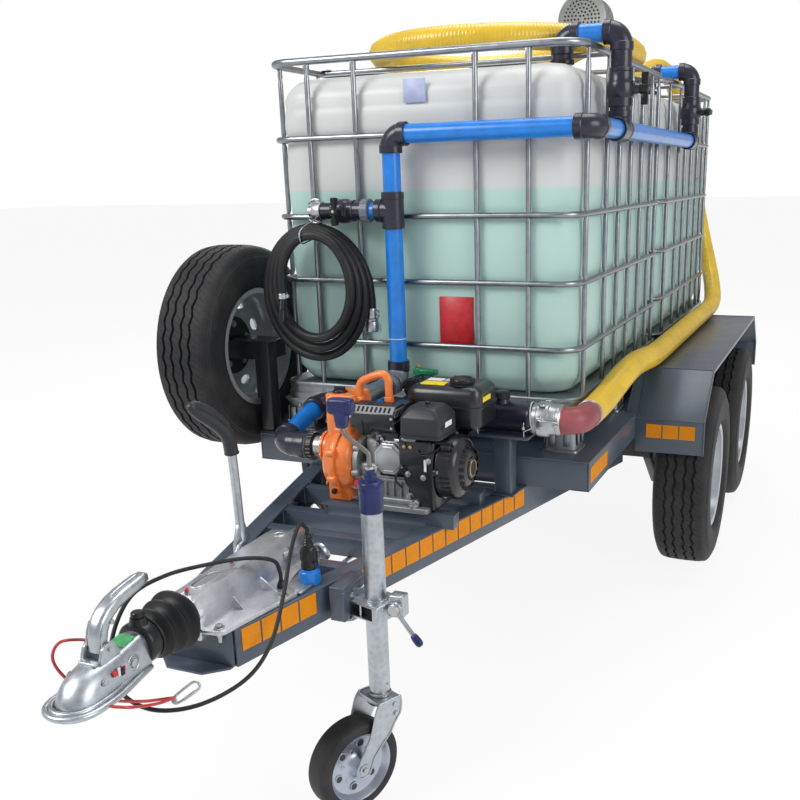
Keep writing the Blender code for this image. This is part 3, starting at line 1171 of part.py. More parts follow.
SOCKET_X, SOCKET_Y, SOCKET_HEIGHT = 0.122, -0.905, 0.036
CABLE_ROUTE = (
    (0.122, -0.905, 0.0283), (0.122, -0.905, 0.042), (0.125, -0.940, 0.062), (0.138, -1.000, 0.026),
    (0.156, -1.070, -0.050), (0.162, -1.140, -0.128), (0.142, -1.210, -0.176), (0.090, -1.300, -0.194),
    (0.020, -1.356, -0.184), (-0.055, -1.355, -0.148), (-0.100, -1.305, -0.085), (-0.100, -1.240, -0.018),
    (-0.066, -1.170, 0.006), (-0.015, -1.095, 0.009), (0.036, -1.020, 0.002), (0.074, -0.975, -0.016),
    (0.084, -0.966, -0.048), (0.084, -0.966, -0.0660))


def cable_plug():
    start = BEAM_TOP + GAP + SOCKET_HEIGHT + GAP
    barrel = rod(at(SOCKET_X, SOCKET_Y, start), at(SOCKET_X, SOCKET_Y, start + 0.050), 0.019, 14)
    boot = rod(at(SOCKET_X, SOCKET_Y, start + 0.048), at(SOCKET_X, SOCKET_Y, 0.028), 0.013, 10, 0.008)
    piece("cable_plug", fuse(barrel, boot), BLACK_PLASTIC, at(SOCKET_X, SOCKET_Y, start))


def plug_cable():
    points = [at(*point) for point in CABLE_ROUTE]
    route = points[:1] + smooth_route(points[1:-1], 2) + points[-1:]
    piece("plug_cable", tube("plug_cable", route, CABLE, 2), RUBBER)


SAFETY_ROUTE = (
    (0.0538, -1.490, -0.095), (0.066, -1.490, -0.095), (0.086, -1.468, -0.104), (0.097, -1.415, -0.124),
    (0.090, -1.360, -0.143), (0.058, -1.345, -0.160), (0.020, -1.385, -0.152), (-0.034, -1.436, -0.126),
    (-0.080, -1.452, -0.086), (-0.089, -1.466, -0.042), (-0.078, -1.456, -0.012), (-0.062, -1.424, -0.018),
    (-0.047, -1.400, -0.032), (-0.0343, -1.400, -0.032))


def safety_cable():
    points = [at(*point) for point in SAFETY_ROUTE]
    route = points[:1] + smooth_route(points[1:-1], 2) + points[-1:]
    piece("breakaway_cable", tube("breakaway_cable", route, SAFETY_CABLE, 2), RED)


deck_frame()
drawbar_frame()
axle("front_axle", FRONT_AXLE)
axle("rear_axle", FRONT_AXLE + AXLE_SPACING)
for side_name, side_sign in (("left", -1), ("right", 1)):
    mudguard("mudguard_" + side_name, side_sign)
    for place, wheel_place in (("front", FRONT_AXLE), ("rear", FRONT_AXLE + AXLE_SPACING)):
        road_wheel(place + "_" + side_name, side_sign, wheel_place)
spare_wheel()
for place, tank_front in (("front", 0.0), ("rear", TANK_PITCH)):
    pallet(place + "_pallet", tank_front)
    bottle(place + "_bottle", tank_front, place == "front")
    cage(place + "_cage", tank_front)
rear_lid()
pump()
impeller()
engine()
engine_covers()
delivery_pipework()
suction_pipework()
tank_valve_handle()
top_valve_handle("front_valve_handle", TOP_VALVES[0], 0.0)
top_valve_handle("rear_valve_handle", TOP_VALVES[1], pi / 2)
branch_valve_handle()
suction_camlock()
suction_hose()
suction_coil()
strainer()
delivery_hose()
overrun_housing()
coupling_head()
coupling_handle()
bellows()
handbrake()
brake_rod()
jockey_bracket()
jockey_clamp_lever()
jockey_outer_tube()
jockey_crank()
jockey_inner_tube()
jockey_fork()
jockey_wheel()
cable_plug()
plug_cable()
safety_cable()
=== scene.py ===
"""Looks of the water tank trailer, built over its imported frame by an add-on's operators."""

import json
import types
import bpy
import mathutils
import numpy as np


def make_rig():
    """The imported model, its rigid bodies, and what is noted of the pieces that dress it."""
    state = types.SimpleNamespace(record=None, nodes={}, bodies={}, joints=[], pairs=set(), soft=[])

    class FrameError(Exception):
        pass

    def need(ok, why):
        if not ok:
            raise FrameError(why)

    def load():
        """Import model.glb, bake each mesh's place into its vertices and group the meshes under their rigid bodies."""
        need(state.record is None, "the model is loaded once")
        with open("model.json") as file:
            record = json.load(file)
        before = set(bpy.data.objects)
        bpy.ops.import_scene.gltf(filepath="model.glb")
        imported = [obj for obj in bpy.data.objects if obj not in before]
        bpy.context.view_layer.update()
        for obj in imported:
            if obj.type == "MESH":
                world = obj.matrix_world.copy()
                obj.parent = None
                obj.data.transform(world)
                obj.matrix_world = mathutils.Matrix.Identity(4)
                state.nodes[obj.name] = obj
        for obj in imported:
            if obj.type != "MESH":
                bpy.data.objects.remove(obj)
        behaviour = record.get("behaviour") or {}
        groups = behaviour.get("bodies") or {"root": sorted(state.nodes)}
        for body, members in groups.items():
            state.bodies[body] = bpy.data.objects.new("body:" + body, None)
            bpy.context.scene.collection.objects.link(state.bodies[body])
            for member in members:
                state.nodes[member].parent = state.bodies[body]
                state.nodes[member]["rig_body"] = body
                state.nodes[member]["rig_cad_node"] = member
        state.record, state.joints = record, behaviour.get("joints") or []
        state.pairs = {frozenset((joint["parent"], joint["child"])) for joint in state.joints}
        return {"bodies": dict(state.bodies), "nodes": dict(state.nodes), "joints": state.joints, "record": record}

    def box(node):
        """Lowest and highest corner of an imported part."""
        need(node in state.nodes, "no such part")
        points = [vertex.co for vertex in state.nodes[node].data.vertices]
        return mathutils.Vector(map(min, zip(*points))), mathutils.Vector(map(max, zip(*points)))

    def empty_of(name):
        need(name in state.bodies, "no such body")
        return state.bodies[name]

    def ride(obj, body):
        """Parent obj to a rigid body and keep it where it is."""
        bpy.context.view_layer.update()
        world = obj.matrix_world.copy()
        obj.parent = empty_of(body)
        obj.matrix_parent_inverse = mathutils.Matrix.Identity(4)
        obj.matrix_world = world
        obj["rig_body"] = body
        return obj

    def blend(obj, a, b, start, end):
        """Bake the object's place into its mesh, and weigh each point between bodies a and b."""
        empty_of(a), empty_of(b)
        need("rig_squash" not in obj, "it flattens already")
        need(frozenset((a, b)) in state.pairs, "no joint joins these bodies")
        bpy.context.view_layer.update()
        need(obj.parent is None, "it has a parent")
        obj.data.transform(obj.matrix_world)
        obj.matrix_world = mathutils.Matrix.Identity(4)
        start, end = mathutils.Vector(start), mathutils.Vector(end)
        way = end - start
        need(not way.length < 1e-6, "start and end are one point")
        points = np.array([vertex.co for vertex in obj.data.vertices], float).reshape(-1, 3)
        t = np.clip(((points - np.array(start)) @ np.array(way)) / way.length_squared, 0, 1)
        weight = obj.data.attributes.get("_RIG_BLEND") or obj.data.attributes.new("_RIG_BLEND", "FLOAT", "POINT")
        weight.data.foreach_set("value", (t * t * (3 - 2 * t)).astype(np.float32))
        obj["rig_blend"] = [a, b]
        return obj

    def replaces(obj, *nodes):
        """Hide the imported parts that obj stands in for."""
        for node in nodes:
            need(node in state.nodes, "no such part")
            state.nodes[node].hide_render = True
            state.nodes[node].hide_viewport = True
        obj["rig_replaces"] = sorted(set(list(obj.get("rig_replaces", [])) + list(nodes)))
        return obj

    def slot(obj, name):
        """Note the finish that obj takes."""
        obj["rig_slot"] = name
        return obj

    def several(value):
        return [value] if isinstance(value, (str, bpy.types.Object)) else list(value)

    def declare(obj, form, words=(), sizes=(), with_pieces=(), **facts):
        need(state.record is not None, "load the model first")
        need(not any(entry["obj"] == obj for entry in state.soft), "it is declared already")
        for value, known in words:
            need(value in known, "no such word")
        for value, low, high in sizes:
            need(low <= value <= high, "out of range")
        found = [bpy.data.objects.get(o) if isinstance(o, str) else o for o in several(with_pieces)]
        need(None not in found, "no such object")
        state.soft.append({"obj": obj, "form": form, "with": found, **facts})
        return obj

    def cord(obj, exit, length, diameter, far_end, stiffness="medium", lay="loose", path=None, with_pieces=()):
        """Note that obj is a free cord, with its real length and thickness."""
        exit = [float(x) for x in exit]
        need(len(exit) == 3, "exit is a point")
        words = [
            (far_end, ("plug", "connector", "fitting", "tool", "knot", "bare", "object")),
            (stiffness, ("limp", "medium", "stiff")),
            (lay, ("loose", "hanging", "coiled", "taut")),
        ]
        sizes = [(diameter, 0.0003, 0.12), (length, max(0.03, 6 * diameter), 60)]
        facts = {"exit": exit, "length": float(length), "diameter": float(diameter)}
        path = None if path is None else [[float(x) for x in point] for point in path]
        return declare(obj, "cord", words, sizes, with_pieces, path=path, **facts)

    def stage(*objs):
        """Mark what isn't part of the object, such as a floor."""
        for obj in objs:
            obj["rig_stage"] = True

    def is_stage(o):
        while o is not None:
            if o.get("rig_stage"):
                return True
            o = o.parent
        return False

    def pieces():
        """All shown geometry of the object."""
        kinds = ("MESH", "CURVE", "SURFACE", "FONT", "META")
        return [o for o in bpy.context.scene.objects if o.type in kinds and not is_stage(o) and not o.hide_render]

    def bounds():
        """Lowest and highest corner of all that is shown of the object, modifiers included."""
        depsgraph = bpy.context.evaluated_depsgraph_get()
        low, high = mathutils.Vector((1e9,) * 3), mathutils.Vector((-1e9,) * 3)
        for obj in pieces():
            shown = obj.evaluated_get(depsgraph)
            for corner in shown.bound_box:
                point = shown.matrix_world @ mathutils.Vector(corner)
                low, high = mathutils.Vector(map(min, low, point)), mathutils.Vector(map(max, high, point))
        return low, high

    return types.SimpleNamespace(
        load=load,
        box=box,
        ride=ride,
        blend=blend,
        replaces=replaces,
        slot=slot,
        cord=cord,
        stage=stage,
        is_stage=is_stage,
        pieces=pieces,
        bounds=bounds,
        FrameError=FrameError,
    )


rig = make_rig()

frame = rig.load()

import json
from math import atan2, ceil, cos, hypot, pi, radians, sin

import bmesh
import bpy
from mathutils import Matrix, Vector

bl_info = {
    "name": "Water Tank Trailer",
    "version": (1, 0, 0),
    "blender": (4, 5, 0),
    "location": "View3D > Sidebar > Trailer",
    "description": "Builds the finished surfaces of a twin-tank water trailer over its frame",
    "category": "Object",
}

CAD_BOX = [list(corner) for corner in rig.bounds()]
DECK_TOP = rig.box("deck_frame")[1].z
TANK_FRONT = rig.box("front_cage")[0].y
TANK_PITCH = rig.box("rear_cage")[0].y - TANK_FRONT
X, Y, Z = Vector((1, 0, 0)), Vector((0, 1, 0)), Vector((0, 0, 1))


def at(x, y, z):
    """A point measured from the front tank's face and the deck's top."""
    return Vector((x, y + TANK_FRONT, z + DECK_TOP))


# Shader maths: a wrapped socket, and a finish that makes nodes

class Link:
    """An output socket whose arithmetic adds Math nodes to its finish."""

    def __init__(self, finish, socket):
        self.finish, self.socket = finish, socket

    def math(self, operation, *values):
        return self.finish.node("ShaderNodeMath", {"operation": operation}, *values)

    def __add__(self, other): return self.math("ADD", self, other)
    def __radd__(self, other): return self.math("ADD", other, self)
    def __sub__(self, other): return self.math("SUBTRACT", self, other)
    def __rsub__(self, other): return self.math("SUBTRACT", other, self)
    def __mul__(self, other): return self.math("MULTIPLY", self, other)
    def __rmul__(self, other): return self.math("MULTIPLY", other, self)
    def __truediv__(self, other): return self.math("DIVIDE", self, other)
    def __pow__(self, other): return self.math("POWER", self, other)
    def __gt__(self, other): return self.math("GREATER_THAN", self, other)
    def __lt__(self, other): return self.math("LESS_THAN", self, other)

    def wave(self): return self.math("SINE", self)
    def fraction(self): return self.math("FRACT", self)
    def size(self): return self.math("ABSOLUTE", self)
    def most(self, other): return self.math("MAXIMUM", self, other)

    def span(self, low, high):
        """0 at low, 1 at high, clamped."""
        return self.finish.node("ShaderNodeMapRange", {}, self, low, high, 0.0, 1.0)


class Finish:
    """A procedural material on a Principled shader."""

    def __init__(self, name, color, roughness, metallic=0.0, **shader):
        self.material = bpy.data.materials.new(name)
        self.material.use_nodes = True
        self.tree = self.material.node_tree
        self.shader = self.tree.nodes["Principled BSDF"]
        self.color = tuple(color)
        self.material.diffuse_color = (*self.color, 1.0)
        self.set(Base_Color=(*self.color, 1.0), Roughness=roughness, Metallic=metallic, **shader)
        self.place = None

    def node(self, kind, settings, *values, out=0, **named):
        """A node of a kind: its settings first, then its sockets by order or by name."""
        node = self.tree.nodes.new(kind)
        for key, value in settings.items():
            if key == "stops":
                ramp = node.color_ramp
                while len(ramp.elements) < len(value):
                    ramp.elements.new(0.5)
                for element, (position, tone) in zip(ramp.elements, value):
                    element.position, element.color = position, (*tone, 1.0)
            else:
                setattr(node, key, value)
        for key, value in [*enumerate(values), *named.items()]:
            socket = node.inputs[key if isinstance(key, int) else key.replace("_", " ")]
            self.join(socket, value)
        return Link(self, node.outputs[out])

    def join(self, socket, value):
        if isinstance(value, Link):
            self.tree.links.new(value.socket, socket)
        elif value is not None:
            socket.default_value = value

    def set(self, **sockets):
        for key, value in sockets.items():
            self.join(self.shader.inputs[key.replace("_", " ")], value)
        return self

    def where(self):
        if self.place is None:
            self.place = self.node("ShaderNodeTexCoord", {}, out="Object")
        return self.place

    def axis(self, which):
        return self.node("ShaderNodeSeparateXYZ", {}, self.where(), out="XYZ".index(which))

    def surface(self, which):
        """u or v of the piece's own map."""
        chart = self.node("ShaderNodeUVMap", {"uv_map": "chart"})
        return self.node("ShaderNodeSeparateXYZ", {}, chart, out="uv".index(which))

    def noise(self, scale, detail=3.0, roughness=0.55, stretch=None):
        spot = self.where()
        if stretch:
            spot = self.node("ShaderNodeMapping", {}, Vector=spot, Scale=stretch)
        return self.node("ShaderNodeTexNoise", {}, Vector=spot, Scale=scale, Detail=detail,
                         Roughness=roughness)

    def cells(self, scale):
        return self.node("ShaderNodeTexVoronoi", {}, Vector=self.where(), Scale=scale, out="Distance")

    def blend(self, factor, first, second):
        pair = [tone if isinstance(tone, Link) else (*tone, 1.0) for tone in (first, second)]
        node = self.tree.nodes.new("ShaderNodeMix")
        node.data_type = "RGBA"
        self.join(node.inputs["Factor"], factor)
        self.join(node.inputs[6], pair[0])
        self.join(node.inputs[7], pair[1])
        return Link(self, node.outputs[2])

    def bump(self, height, depth, strength=1.0):
        """Height from 0 to 1 over a depth in metres."""
        return self.set(Normal=self.node("ShaderNodeBump", {}, Strength=strength, Distance=depth,
                                         Height=height, out="Normal"))


def tone(color, factor):
    return tuple(min(1.0, part * factor) for part in color)


def srgb(red, green, blue):
    return tuple((part / 255 / 12.92) if part / 255 <= 0.04045 else ((part / 255 + 0.055) / 1.055) ** 2.4
                 for part in (red, green, blue))


# Shapes: mesh parts gathered into one piece

move = Matrix.Translation


def turn_to(direction):
    """The rotation that takes +X to a direction."""
    way = Vector(direction).normalized()
    if way.x < -0.99999:
        return Matrix.Rotation(pi, 4, "Z")
    return X.rotation_difference(way).to_matrix().to_4x4()


def facing(centre, axis):
    """A matrix whose X runs along an axis, at a centre."""
    return move(centre) @ turn_to(axis)


def basis(origin, *axes):
    """A matrix that has the three axes given, at an origin."""
    return move(origin) @ Matrix(axes).transposed().to_4x4()


def frame_of(origin, across, up):
    """A matrix whose X runs across and whose Y runs up, at an origin."""
    across, up = Vector(across).normalized(), Vector(up).normalized()
    return basis(origin, across, up, across.cross(up))


def around(count, start=0.0):
    """Angles spread evenly over a turn."""
    return [2 * pi * index / count + start for index in range(count)]


def smooth_route(points, steps):
    """Points on a smooth curve through a route's own points."""
    points = [Vector(point) for point in points]
    ends = [2 * points[0] - points[1]] + points + [2 * points[-1] - points[-2]]
    route = []
    for before, start, end, after in zip(ends, ends[1:], ends[2:], ends[3:]):
        for step in range(steps):
            t = step / steps
            route.append(0.5 * (2 * start + (end - before) * t
                                + (2 * before - 5 * start + 4 * end - after) * t * t
                                + (3 * start - before - 3 * end + after) * t * t * t))
    return route + [points[-1]]


def arc(start, corner, end, steps):
    """Points on a curve that heads for a corner and turns off before it."""
    parts = [step / steps for step in range(steps + 1)]
    return [(1 - t) * (1 - t) * start + 2 * t * (1 - t) * corner + t * t * end for t in parts]


def rounded(points, radius, steps=5):
    """A route with its corners turned on arcs."""
    points = [Vector(point) for point in points]
    out = points[:1]
    for before, corner, after in zip(points, points[1:], points[2:]):
        back, ahead = before - corner, after - corner
        reach = min(radius, back.length * 0.48, ahead.length * 0.48)
        out += arc(corner + back.normalized() * reach, corner, corner + ahead.normalized() * reach, steps)
    return out + points[-1:]


def round_outline(width, height, radius, steps):
    """A rectangle's outline about the origin, with round corners."""
    out = []
    for index, (x, y) in enumerate(((1, 1), (-1, 1), (-1, -1), (1, -1))):
        for step in range(steps + 1):
            angle = (index + step / steps) * pi / 2
            out.append((x * (width / 2 - radius) + radius * cos(angle),
                        y * (height / 2 - radius) + radius * sin(angle)))
    return out


def skin(sections):
    """A closed skin through outlines that have the same number of points."""
    part = bmesh.new()
    rings = [[part.verts.new(point) for point in section] for section in sections]
    for first, second in zip(rings, rings[1:]):
        for index in range(len(first)):
            after = (index + 1) % len(first)
            part.faces.new((first[index], first[after], second[after], second[index]))
    part.faces.new(rings[0])
    part.faces.new(rings[-1])
    bmesh.ops.recalc_face_normals(part, faces=part.faces)
    return part


def spun(profile, sides, closed):
    """A profile of (along, radius) spun about X."""
    part = bmesh.new()
    verts = [part.verts.new((along, 0, radius)) for along, radius in profile]
    after = verts[1:] + (verts[:1] if closed else [])
    edges = [part.edges.new(pair) for pair in zip(verts, after)]
    bmesh.ops.spin(part, geom=verts + edges, cent=(0, 0, 0), axis=(1, 0, 0), dvec=(0, 0, 0), angle=2 * pi,
                   steps=sides, use_merge=True, use_duplicate=False)
    bmesh.ops.remove_doubles(part, verts=part.verts, dist=1e-6)
    bmesh.ops.recalc_face_normals(part, faces=part.faces)
    return part


def slab(points, depth):
    """A face through points, thickened along Z."""
    part = bmesh.new()
    face = part.faces.new([part.verts.new(point) for point in points])
    made = bmesh.ops.extrude_face_region(part, geom=[face])
    lifted = [vert for vert in made["geom"] if isinstance(vert, bmesh.types.BMVert)]
    bmesh.ops.translate(part, verts=lifted, vec=(0, 0, depth))
    bmesh.ops.recalc_face_normals(part, faces=part.faces)
    return part


def put_box(part, low, high):
    """Adds a box between two corners."""
    size = high - low
    scale = Matrix.Diagonal((abs(size.x), abs(size.y), abs(size.z), 1))
    bmesh.ops.create_cube(part, size=1.0, matrix=move((low + high) / 2) @ scale)


def put_bar(part, start, end, radius, sides=40, end_radius=None):
    """Adds a round bar or a cone between two points."""
    place = facing((start + end) / 2, end - start) @ Matrix.Rotation(pi / 2, 4, "Y")
    bmesh.ops.create_cone(part, cap_ends=True, segments=sides, radius1=radius, radius2=end_radius or radius,
                          depth=(end - start).length, matrix=place)


def soften(part, edges, width, segments=2):
    """Bevels edges over a width."""
    bmesh.ops.bevel(part, geom=edges, offset=width, segments=segments, profile=0.5, affect="EDGES",
                    material=-1)


class Shape:
    """Parts with their finishes, gathered into one mesh."""

    def __init__(self):
        self.bm = bmesh.new()
        self.finishes = []

    def take(self, part, finish, place=None):
        if place is not None:
            bmesh.ops.transform(part, matrix=place, verts=part.verts)
            if place.to_3x3().determinant() < 0:
                bmesh.ops.reverse_faces(part, faces=part.faces)
        if finish not in self.finishes:
            self.finishes.append(finish)
        index = self.finishes.index(finish)
        for face in part.faces:
            face.material_index, face.smooth = index, True
        mesh = bpy.data.meshes.new("part")
        part.to_mesh(mesh)
        part.free()
        self.bm.from_mesh(mesh)
        bpy.data.meshes.remove(mesh)
        return self

    def box(self, low, high, finish, bevel=0.002, segments=2, place=None):
        part = bmesh.new()
        put_box(part, Vector(low), Vector(high))
        soften(part, part.edges[:], bevel, segments)
        return self.take(part, finish, place)

    def rod(self, start, end, radius, finish, sides=24, end_radius=None, bevel=0.0):
        part = bmesh.new()
        put_bar(part, Vector(start), Vector(end), radius, sides, end_radius)
        if bevel:
            caps = [face for face in part.faces if len(face.verts) == sides]
            soften(part, list({edge for face in caps for edge in face.edges}), bevel)
        return self.take(part, finish)

    def turned(self, profile, centre, axis, finish, sides=48, closed=False):
        """A profile of (along, radius) spun about an axis through the centre."""
        return self.take(spun(profile, sides, closed), finish, facing(centre, axis))

    def solid(self, profile, centre, axis, finish, sides=48):
        """A profile spun into a solid: it is drawn in to the axis at both ends."""
        first, last = (profile[0][0], 0.0), (profile[-1][0], 0.0)
        return self.turned([first, *profile, last], centre, axis, finish, sides)

    def torus(self, centre, axis, radius, thick, finish, sides=32, ring=10):
        profile = [(thick * cos(angle), radius + thick * sin(angle)) for angle in around(ring)]
        return self.turned(profile, centre, axis, finish, sides, closed=True)

    def plate(self, outline, depth, finish, place=Matrix(), bevel=0.0, segments=2):
        """An outline in X and Y, thickened along Z and put in its place."""
        part = slab([(*point, 0) for point in outline], depth)
        if bevel:
            sharp = [edge for edge in part.edges if edge.calc_face_angle(0) > 0.6]
            soften(part, sharp, bevel, segments)
        return self.take(part, finish, place)

    def loft(self, sections, finish):
        return self.take(skin(sections), finish)

    def carved(self, body, cutters, finish, place=None):
        """A solid with other solids cut out of it."""
        made = []
        for part in (body, cutters):
            mesh = bpy.data.meshes.new("solid")
            part.to_mesh(mesh)
            part.free()
            solid = bpy.data.objects.new("solid", mesh)
            bpy.context.scene.collection.objects.link(solid)
            made.append(solid)
        cut = made[0].modifiers.new("cut", "BOOLEAN")
        cut.operation, cut.solver, cut.object = "DIFFERENCE", "EXACT", made[1]
        cut.use_self = True
        bpy.context.view_layer.update()
        done = made[0].evaluated_get(bpy.context.evaluated_depsgraph_get())
        part = bmesh.new()
        part.from_mesh(done.to_mesh())
        done.to_mesh_clear()
        for solid in made:
            mesh = solid.data
            bpy.data.objects.remove(solid)
            bpy.data.meshes.remove(mesh)
        return self.take(part, finish, place)

    def tube(self, points, radius, finish, resolution=4, closed=False, radii=None):
        """A round bar along a route, with a factor on its radius at each point."""
        curve = bpy.data.curves.new("route", "CURVE")
        curve.dimensions = "3D"
        curve.bevel_depth, curve.bevel_resolution, curve.use_fill_caps = radius, resolution, True
        spline = curve.splines.new("POLY")
        spline.points.add(len(points) - 1)
        for index, (spot, point) in enumerate(zip(spline.points, points)):
            spot.co = (*point, 1.0)
            spot.radius = radii[index] if radii else 1.0
        spline.use_cyclic_u = closed
        carrier = bpy.data.objects.new("route", curve)
        mesh = bpy.data.meshes.new_from_object(carrier)
        part = bmesh.new()
        part.from_mesh(mesh)
        bmesh.ops.remove_doubles(part, verts=part.verts, dist=1e-6)
        bmesh.ops.recalc_face_normals(part, faces=part.faces)
        bpy.data.objects.remove(carrier)
        bpy.data.curves.remove(curve)
        bpy.data.meshes.remove(mesh)
        return self.take(part, finish)

    def bolt(self, seat, axis, size, finish, washer=True, tall=0.62):
        """A hexagon head on its washer, standing on a seat."""
        seat, axis = Vector(seat), Vector(axis).normalized()
        if washer:
            self.rod(seat, seat + axis * size * 0.14, size * 1.12, finish, 20, bevel=size * 0.03)
        return self.rod(seat + axis * size * 0.1, seat + axis * size * tall, size * 0.92, finish, 6,
                        bevel=size * 0.08)

    def ridges(self, foot, count, low, high, thick, finish):
        """Grip ridges round a cap; low and high are each a radius and a height over its foot."""
        for angle in around(count):
            out = Vector((cos(angle), sin(angle), 0))
            self.rod(foot + out * low[0] + Z * low[1], foot + out * high[0] + Z * high[1], thick, finish, 6)

    def done(self, name, body="trailer", slot=None, replaces=(), angle=32):
        """Makes the object, which rides on its body."""
        mesh = bpy.data.meshes.new(name)
        self.bm.to_mesh(mesh)
        self.bm.free()
        for finish in self.finishes:
            mesh.materials.append(finish.material)
        mesh.set_sharp_from_angle(angle=radians(angle))
        made = bpy.data.objects.new(name, mesh)
        bpy.context.scene.collection.objects.link(made)
        if body:
            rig.ride(made, body)
        if slot:
            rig.slot(made, slot)
        if replaces:
            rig.replaces(made, *([replaces] if isinstance(replaces, str) else replaces))
        return made


def dress(node, finish):
    """Gives a kept node a finish."""
    mesh = frame["nodes"][node].data
    mesh.materials.clear()
    mesh.materials.append(finish.material)


# Sizes and colours that a user would change

def shade(name, description, value):
    return bpy.props.FloatVectorProperty(name=name, description=description, default=value, subtype="COLOR",
                                         size=3, min=0.0, max=1.0)


def metres(name, description, value, low=0.0, high=10.0):
    return bpy.props.FloatProperty(name=name, description=description, default=value, min=low, max=high,
                                   subtype="DISTANCE", unit="LENGTH")


class TrailerColors(bpy.types.PropertyGroup):
    """Base colours of the trailer's finishes."""
    charcoal: shade("Frame paint", "Paint of the deck, drawbar and mudguards", srgb(67, 77, 90))
    black: shade("Black paint", "Paint of the axles and the spare wheel's carrier", srgb(22, 23, 26))
    zinc: shade("Zinc", "Zinc plating of the coupling and the jockey leg", srgb(186, 192, 197))
    cage: shade("Cage tube", "Galvanised tube round the tanks", srgb(150, 155, 160))
    silver: shade("Rim paint", "Silver paint of the steel rims", srgb(186, 190, 196))
    tyre: shade("Tyre rubber", "Tread and sidewalls", srgb(32, 33, 36))
    rubber: shade("Black rubber", "Bellows, cables and the delivery hose", srgb(23, 24, 27))
    tank: shade("Tank wall", "Tank plastic above the water", srgb(198, 201, 200))
    water: shade("Water tint", "Tank plastic where water lies behind it", srgb(170, 204, 196))
    blue: shade("Blue pipe", "Delivery pipe", srgb(20, 118, 206))
    fitting: shade("Pipe fitting", "Moulded elbows, tees and valves", srgb(33, 34, 49))
    orange: shade("Pump paint", "Pump casting", srgb(236, 124, 48))
    casting: shade("Bare casting", "Engine and housing castings", srgb(150, 154, 154))
    engine: shade("Engine black", "Engine covers and fuel tank", srgb(23, 24, 28))
    hose: shade("Suction hose", "Yellow ribbed hose", srgb(222, 184, 40))
    amber: shade("Reflector", "Amber reflective tape", srgb(228, 140, 0))
    jockey: shade("Jockey cap", "Cap and grip of the jockey crank", srgb(13, 30, 84))
    green: shade("Valve grip", "Grip of the outlet valve", srgb(20, 120, 84))
    red: shade("Safety cable", "Coating of the breakaway cable", srgb(186, 52, 56))


class TrailerSizes(bpy.types.PropertyGroup):
    """Sizes of the trailer's fine parts."""
    water_level: metres("Water level", "Height of the water above the deck", 0.76, 0.2, 1.05)
    bar_radius: metres("Cage bar radius", "Half the width of an upright bar", 0.0078, 0.004, 0.009)
    ring_radius: metres("Cage ring radius", "Half the thickness of a ring", 0.0088, 0.005, 0.009)
    groove_depth: metres("Tread depth", "Depth of the tyre's grooves", 0.008, 0.002, 0.012)
    hose_rib: metres("Hose rib pitch", "Spacing of the suction hose's ribs", 0.0105, 0.006, 0.03)
    edge: metres("Edge rounding", "Bevel of cut steel edges", 0.0015, 0.0002, 0.004)


def colors():
    return bpy.context.scene.trailer_colors


def sizes():
    return bpy.context.scene.trailer_sizes


# Finishes

def painted(name, color, roughness=0.4, depth=0.0004, coat=0.3, wear=0.10):
    """Brushed or sprayed paint with clouded colour, orange peel and dust."""
    f = Finish(name, color, roughness, 0.0, Coat_Weight=coat, Coat_Roughness=0.18, Specular_IOR_Level=0.4)
    cloud = f.noise(4.0, 5.0, 0.6)
    grit = f.noise(90.0, 4.0, 0.7)
    shift = cloud.span(0.30, 0.72) * 0.7 + grit.span(0.35, 0.75) * 0.3
    f.set(Base_Color=f.blend(shift, tone(color, 1 - wear * 1.6), tone(color, 1 + wear * 2.2)),
          Roughness=roughness - 0.08 + 0.2 * f.noise(11.0, 5.0, 0.7))
    return f.bump(f.noise(170.0, 2.0) * 0.7 + grit * 0.3, depth, 0.6)


def plated(name, color, roughness=0.32, spangle=55.0, metallic=1.0, spread=(0.74, 1.12), depth=0.00025):
    """Zinc with its crystal cells, faint streaks and dull spots."""
    f = Finish(name, color, roughness, metallic)
    cell = f.cells(spangle)
    cloud = f.noise(16.0, 5.0, 0.65)
    mix = cell.span(0.1, 0.75) * 0.45 + cloud.span(0.3, 0.72) * 0.55
    f.set(Base_Color=f.blend(mix, tone(color, spread[0]), tone(color, spread[1])),
          Roughness=roughness - 0.08 + cloud * 0.26 + cell * 0.06)
    return f.bump(f.noise(240.0, 3.0) * 0.6 + cell * 0.4, depth, 0.5)


def cast(name, color, roughness=0.48, metallic=0.85, depth=0.0006):
    """Sand-cast metal with a grainy skin."""
    f = Finish(name, color, roughness, metallic)
    grain = f.noise(300.0, 4.0, 0.7)
    cloud = f.noise(18.0, 4.0, 0.6)
    f.set(Base_Color=f.blend(cloud.span(0.32, 0.7) * 0.6 + grain.span(0.3, 0.7) * 0.4, tone(color, 0.72),
                             tone(color, 1.15)),
          Roughness=roughness - 0.1 + grain * 0.2 + cloud * 0.1)
    return f.bump(grain, depth, 0.7)


def moulded(name, color, roughness=0.35, coat=0.15, texture=0.0002):
    """Moulded plastic: an even skin with faint flow marks and fine grain."""
    f = Finish(name, color, roughness, 0.0, Coat_Weight=coat, Coat_Roughness=0.2, Specular_IOR_Level=0.36)
    cloud = f.noise(22.0, 4.0, 0.6)
    f.set(Base_Color=f.blend(cloud.span(0.3, 0.72), tone(color, 0.84), tone(color, 1.18)),
          Roughness=roughness - 0.07 + 0.16 * f.noise(48.0, 4.0, 0.7))
    return f.bump(f.noise(420.0, 2.0), texture, 0.5)


def rubbery(name, color, roughness=0.62, dust=0.35):
    """Rubber with a bloom of dust."""
    f = Finish(name, color, roughness, 0.0, Specular_IOR_Level=0.34)
    cloud = f.noise(9.0, 6.0, 0.7)
    f.set(Base_Color=f.blend(cloud.span(0.42, 0.85) * dust, color, srgb(112, 108, 100)),
          Roughness=roughness - 0.06 + cloud * 0.2)
    return f.bump(f.noise(330.0, 3.0, 0.65), 0.0004, 0.6)


